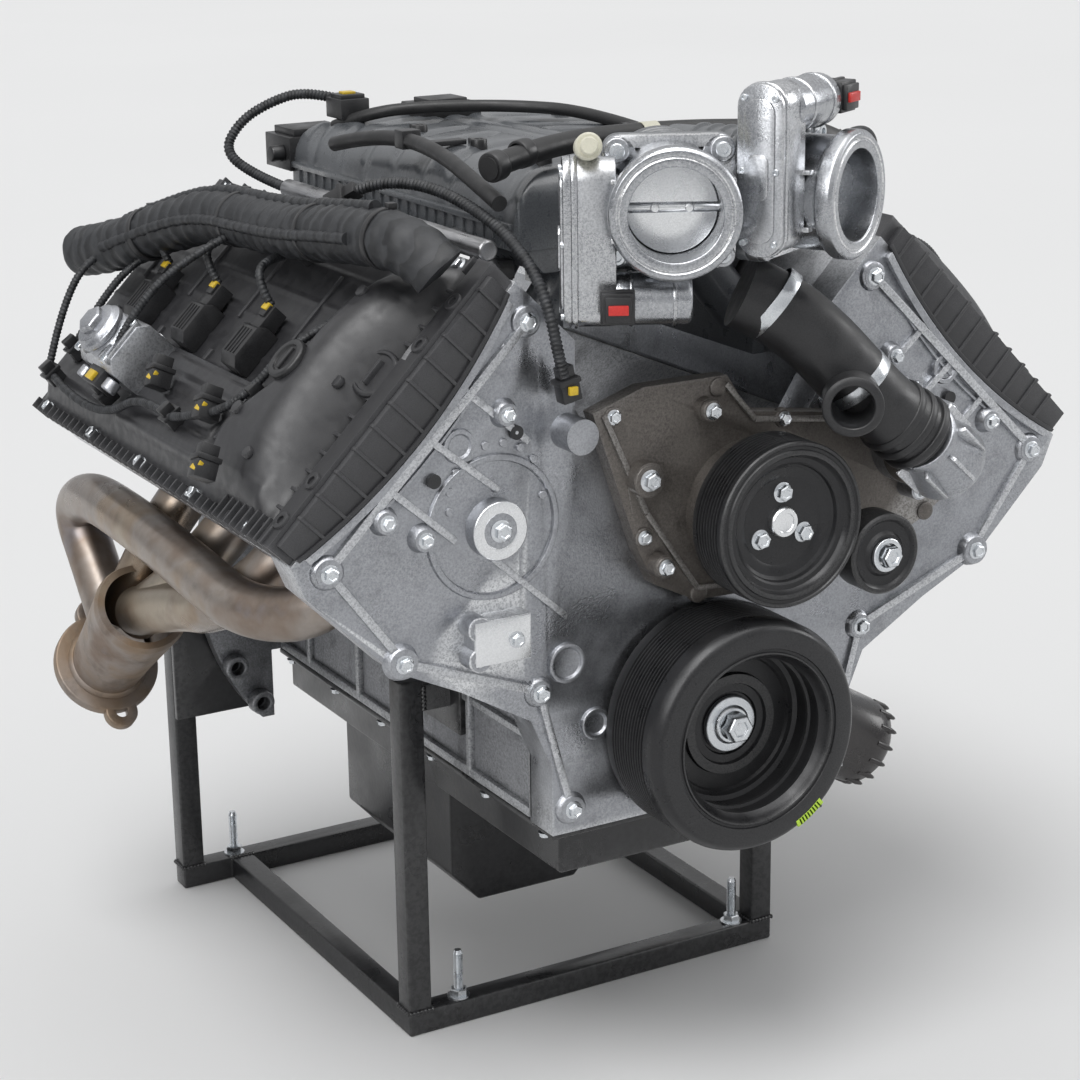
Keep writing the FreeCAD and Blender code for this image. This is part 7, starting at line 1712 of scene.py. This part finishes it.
@dataclass
class Castings:
    """The block, heads, gaskets, oil pan and filter."""

    skirt: float = 128.0
    deck: float = 227.3

    def build(self) -> None:
        """Makes the castings' copies with their raised detail."""
        self._block()
        for side in Side:
            self._head(side)
        self._pan()
        self._filter()
        settle(painted(softened("head_and_exhaust_gaskets", "gasket_set", 0.0), GASKET),
            ["head_and_exhaust_gaskets"])

    def _block(self) -> None:
        """Skirt ribs, core plugs and bosses on the block."""
        body = painted(softened("cylinder_block", "block_body", 0.8), BLOCK_CAST)
        detail = Shape()
        plugs = Shape()
        for side in Side:
            sign = side.value
            for index in range(5):
                y = -468 + index*100 + sign*10
                detail.box((sign*(self.skirt - 1), y - 3, -72), (sign*(self.skirt + 5), y + 3, 20))
            detail.box((sign*(self.skirt - 1), -474, -74), (sign*(self.skirt + 4), -16, -66))
            detail.box((sign*(self.skirt - 1), -470, -12), (sign*(self.skirt + 4), -20, -6))
            matrix = side.turn
            for index in range(4):
                y = side.bore(index)
                plugs.lathe([(19, 0), (19, 1.5), (17.4, 1.8), (16.6, -1.2), (0, -1.6)],
                    side.place(150, 70.4, y + 50), side.facing(sign, 0, 0), 36)
                detail.box((sign*69, y - 2.5, 70), (sign*75, y + 2.5, 224), matrix)
            detail.box((sign*69, -474, 214), (sign*76, -16, 226), matrix)
            for angle in (-38, -25, 8, 42, 76):
                turn = radians(angle)
                detail.lathe([(11.5, 14.0), (11, 25), (6, 25), (6, 14)], (sign*196*cos(turn), 0, 196*sin(turn)),
                    FRONT, 28)
        ribs = detail.piece("block_ribs", BLOCK_CAST, ease=1.4)
        bright = plugs.piece("core_plugs", ZINC, ease=0.3, flat_angle=50)
        settle(joined("block_cast", [body, ribs, bright]), ["cylinder_block"])

    def _head(self, side: Side) -> None:
        """Ribs and bosses on one head's outer face."""
        sign = side.value
        body = painted(softened(f"cylinder_head_{side.label}", f"head_body_{side.label}", 0.8), CAST)
        detail = Shape()
        for index in range(4):
            y = side.bore(index)
            for shift in (-40, 40):
                detail.box((sign*86, y + shift - 3, 241), (sign*93, y + shift + 3, 286), side.turn)
            detail.lathe([(11, 0), (10, 9), (5, 9), (5, 4), (0, 4)], side.place(304, 98, y + 48),
                side.facing(sign*0.8, 0, -0.6), 28)
        detail.box((sign*104, -476, 346), (sign*116.4, -10, 355), side.turn)
        ribs = detail.piece(f"head_ribs_{side.label}", CAST, ease=1.2)
        settle(joined(f"head_{side.label}", [body, ribs]), [f"cylinder_head_{side.label}"])

    def _pan(self) -> None:
        """The oil pan, as an eased copy in black frame paint."""
        body = painted(softened("oil_pan", "pan_body", 2.4, steps=3), FRAME_PAINT)
        settle(body, ["oil_pan"])

    def _filter(self) -> None:
        """The oil filter canister with its fluted end."""
        axis = Vector((0.86, -0.12, -0.5)).normalized()
        seat = Vector((150, -412, -62))
        profile = [(20, 0.2), (36, 0.2), (37.6, 2), (38, 5), (38, 8), (37.2, 9), (37.2, 70), (36.6, 76), (34, 84),
            (28, 89.6), (20, 91.4), (0, 91.8)]
        shape = Shape().lathe(profile, seat, axis, 96)
        body = shape.piece("filter_can", FILTER_PAINT, flat_angle=40)
        spots = []
        base = axis.orthogonal().normalized()
        for index in range(15):
            turn = Matrix.Rotation(2*pi*index/15, 3, axis)
            spots.append(Spot(seat + axis*70 + turn @ base*35.4, axis, 1.0))
        flute = Shape().lathe([(0, 0), (2.6, 1), (2.6, 12), (1.4, 17), (0, 19)], axis=UP, sides=12)
        flutes = repeated("filter_flutes", flute.mesh_object("flute"), spots, FILTER_PAINT, spin=0.0)
        settle(joined("oil_filter_can", [body, flutes]), ["oil_filter"])


@dataclass
class Inside:
    """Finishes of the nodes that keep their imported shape."""

    slots: dict[str, Finish] = field(default_factory=lambda: {"cast_aluminium": CAST, "pump_casting": PUMP_CAST,
        "machined_aluminium": MACHINED, "black_steel": FRAME_PAINT, "bracket_steel": FRAME_PAINT,
        "zinc_steel": ZINC, "damper_black": DAMPER, "forged_steel": STEEL, "cast_iron": IRON, "plate_steel": GASKET,
        "stainless_header": HEADER, "cover_plastic": COVER, "intake_plastic": INTAKE, "hose_rubber": RUBBER,
        "loom_tape": TAPE, "filter_black": FILTER_PAINT})
    special: dict[str, Finish] = field(default_factory=lambda: {"pistons": MACHINED, "main_bearing_shells": GASKET,
        "crankshaft_seals": RUBBER, "oil_pan": FRAME_PAINT, "spark_plugs": CREAM, "chain_guides": CREAM})

    def build(self) -> None:
        """Gives every node a finish, whether or not a piece stands for it."""
        known = frame["record"].get("materials", {})
        for name, entry in frame["nodes"].items():
            data = entry.data
            finish = self.special.get(name)
            for index in range(max(len(data.materials), 1)):
                slot = data.materials[index].name if index < len(data.materials) and data.materials[index] else ""
                chosen = finish or self._match(slot) or self._match(str(known.get(name, ""))) or STEEL
                if index < len(entry.material_slots):
                    entry.material_slots[index].material = chosen.material()
                else:
                    data.materials.append(chosen.material())

    def _match(self, word: str) -> Optional[Finish]:
        """The finish whose slot is named in a word."""
        for slot, finish in self.slots.items():
            if slot in word:
                return finish
        return None


@dataclass
class Studio:
    """Floor, soft lights, world and camera."""

    floor_level: float = -302.0
    floor_shade: float = 0.80
    azimuth: float = -29.57
    pitch: float = 16.89
    roll: float = -0.79
    lens: float = 84.0
    eye: Point = (-0.9936, -2.0151, 0.6820)
    target: Point = (0, -0.25, 0.1)
    sun: float = 1.4
    sun_spread: float = 32.0
    softboxes: tuple[tuple[str, Point, float, float], ...] = (("left_box", (-2.4, -1.6, 1.6), 1.6, 34.0),
        ("top_box", (0.4, -0.9, 2.6), 2.0, 30.0), ("right_box", (2.6, -1.2, 1.2), 1.2, 18.0))

    def build(self) -> None:
        """Makes everything that isn't the object."""
        self._floor()
        self._world()
        self._lights()
        self._camera()

    def _floor(self) -> None:
        """A wide pale floor."""
        mesh = bpy.data.meshes.new("studio_floor")
        level = self.floor_level*MM
        mesh.from_pydata([(-14, -14, level), (14, -14, level), (14, 14, level), (-14, 14, level)], [],
            [(0, 1, 2, 3)])
        floor = placed("studio_floor", mesh)
        material = bpy.data.materials.new("studio_floor")
        material.use_nodes = True
        sheet = NodeSheet(material.node_tree)
        coords = sheet.add("ShaderNodeTexCoord").outputs["Object"]
        cloud = sheet.out("ShaderNodeTexNoise", {"Vector": coords, "Scale": 0.7})
        pale = (self.floor_shade,)*3
        colour = sheet.blend(sheet.spread(cloud, 0.3, 0.7, 0.0, 1.0), pale, tuple(value*0.985 for value in pale))
        shader = sheet.add("ShaderNodeBsdfPrincipled", {"Base Color": colour})
        shader.inputs["Roughness"].default_value = 0.9
        shader.inputs["Specular IOR Level"].default_value = 0.1
        sheet.add("ShaderNodeOutputMaterial", {"Surface": shader.outputs[0]})
        mesh.materials.append(material)

    def _world(self) -> None:
        """A pale world, brighter overhead for what glossy faces see."""
        world = bpy.data.worlds.new("studio")
        bpy.context.scene.world = world
        world.use_nodes = True
        sheet = NodeSheet(world.node_tree)
        path = sheet.add("ShaderNodeLightPath")
        direction = sheet.add("ShaderNodeTexCoord").outputs["Generated"]
        height = sheet.add("ShaderNodeSeparateXYZ", {"Vector": direction}).outputs["Z"]
        gloss = sheet.blend(sheet.spread(height, -0.1, 0.85, 0.0, 1.0), (0.33, 0.34, 0.36), (1.0, 1.0, 1.0))
        seen = sheet.math("MAXIMUM", path.outputs["Is Camera Ray"], path.outputs["Is Transmission Ray"])
        shade = sheet.blend(seen, (0.62, 0.625, 0.63), (0.81, 0.81, 0.81))
        shade = sheet.blend(path.outputs["Is Glossy Ray"], shade, gloss)
        back = sheet.add("ShaderNodeBackground", {"Color": shade})
        back.inputs["Strength"].default_value = 1.0
        sheet.add("ShaderNodeOutputWorld", {"Surface": back.outputs[0]})

    def _lights(self) -> None:
        """A broad sun, and softboxes that only gloss sees."""
        sun = bpy.data.lights.new("key", "SUN")
        sun.energy = self.sun
        sun.angle = radians(self.sun_spread)
        key = bpy.data.objects.new("key", sun)
        key.rotation_euler = Vector((-0.55, -0.45, 1.5)).to_track_quat("Z", "Y").to_euler()
        bpy.context.scene.collection.objects.link(key)
        for name, place, size, energy in self.softboxes:
            lamp = bpy.data.lights.new(name, "AREA")
            lamp.energy = energy
            lamp.size = size
            item = bpy.data.objects.new(name, lamp)
            item.location = place
            item.rotation_euler = (Vector(place) - Vector(self.target)).to_track_quat("Z", "Y").to_euler()
            item.visible_diffuse = False
            item.visible_camera = False
            bpy.context.scene.collection.objects.link(item)

    def _camera(self) -> None:
        """The camera at the viewing angle."""
        azimuth, pitch, roll = (radians(value) for value in (self.azimuth, self.pitch, self.roll))
        back = Vector((sin(azimuth)*cos(pitch), -cos(azimuth)*cos(pitch), sin(pitch)))
        right = Vector((cos(azimuth), sin(azimuth), 0.0))
        upward = back.cross(right)
        across = right*cos(roll) + upward*sin(roll)
        lifted = upward*cos(roll) - right*sin(roll)
        lens = bpy.data.cameras.new("camera")
        lens.lens = self.lens
        lens.sensor_width = 36.0
        lens.clip_end = 100.0
        camera = bpy.data.objects.new("camera", lens)
        turn = Matrix((across, lifted, back)).transposed().to_4x4()
        camera.matrix_world = Matrix.Translation(Vector(self.eye)) @ turn
        bpy.context.scene.collection.objects.link(camera)
        bpy.context.scene.camera = camera
        settings = bpy.context.scene.view_settings
        settings.view_transform = "Standard"


def main() -> None:
    """Builds the finishes and every sub-assembly, in order."""
    logging.basicConfig(level=logging.INFO, format="%(name)s: %(message)s")
    Inside().build()
    for part in (CamCovers(), FrontDrive(), FrontCover(), Throttle("left", Side.ONE), Throttle("right", Side.TWO),
            Intake(), Wiring(), Coolant(), Headers(), Stand(), Castings()):
        part.build()
        LOG.info("built %s", type(part).__name__)
    Studio().build()


if __name__ == "__main__":
    main()
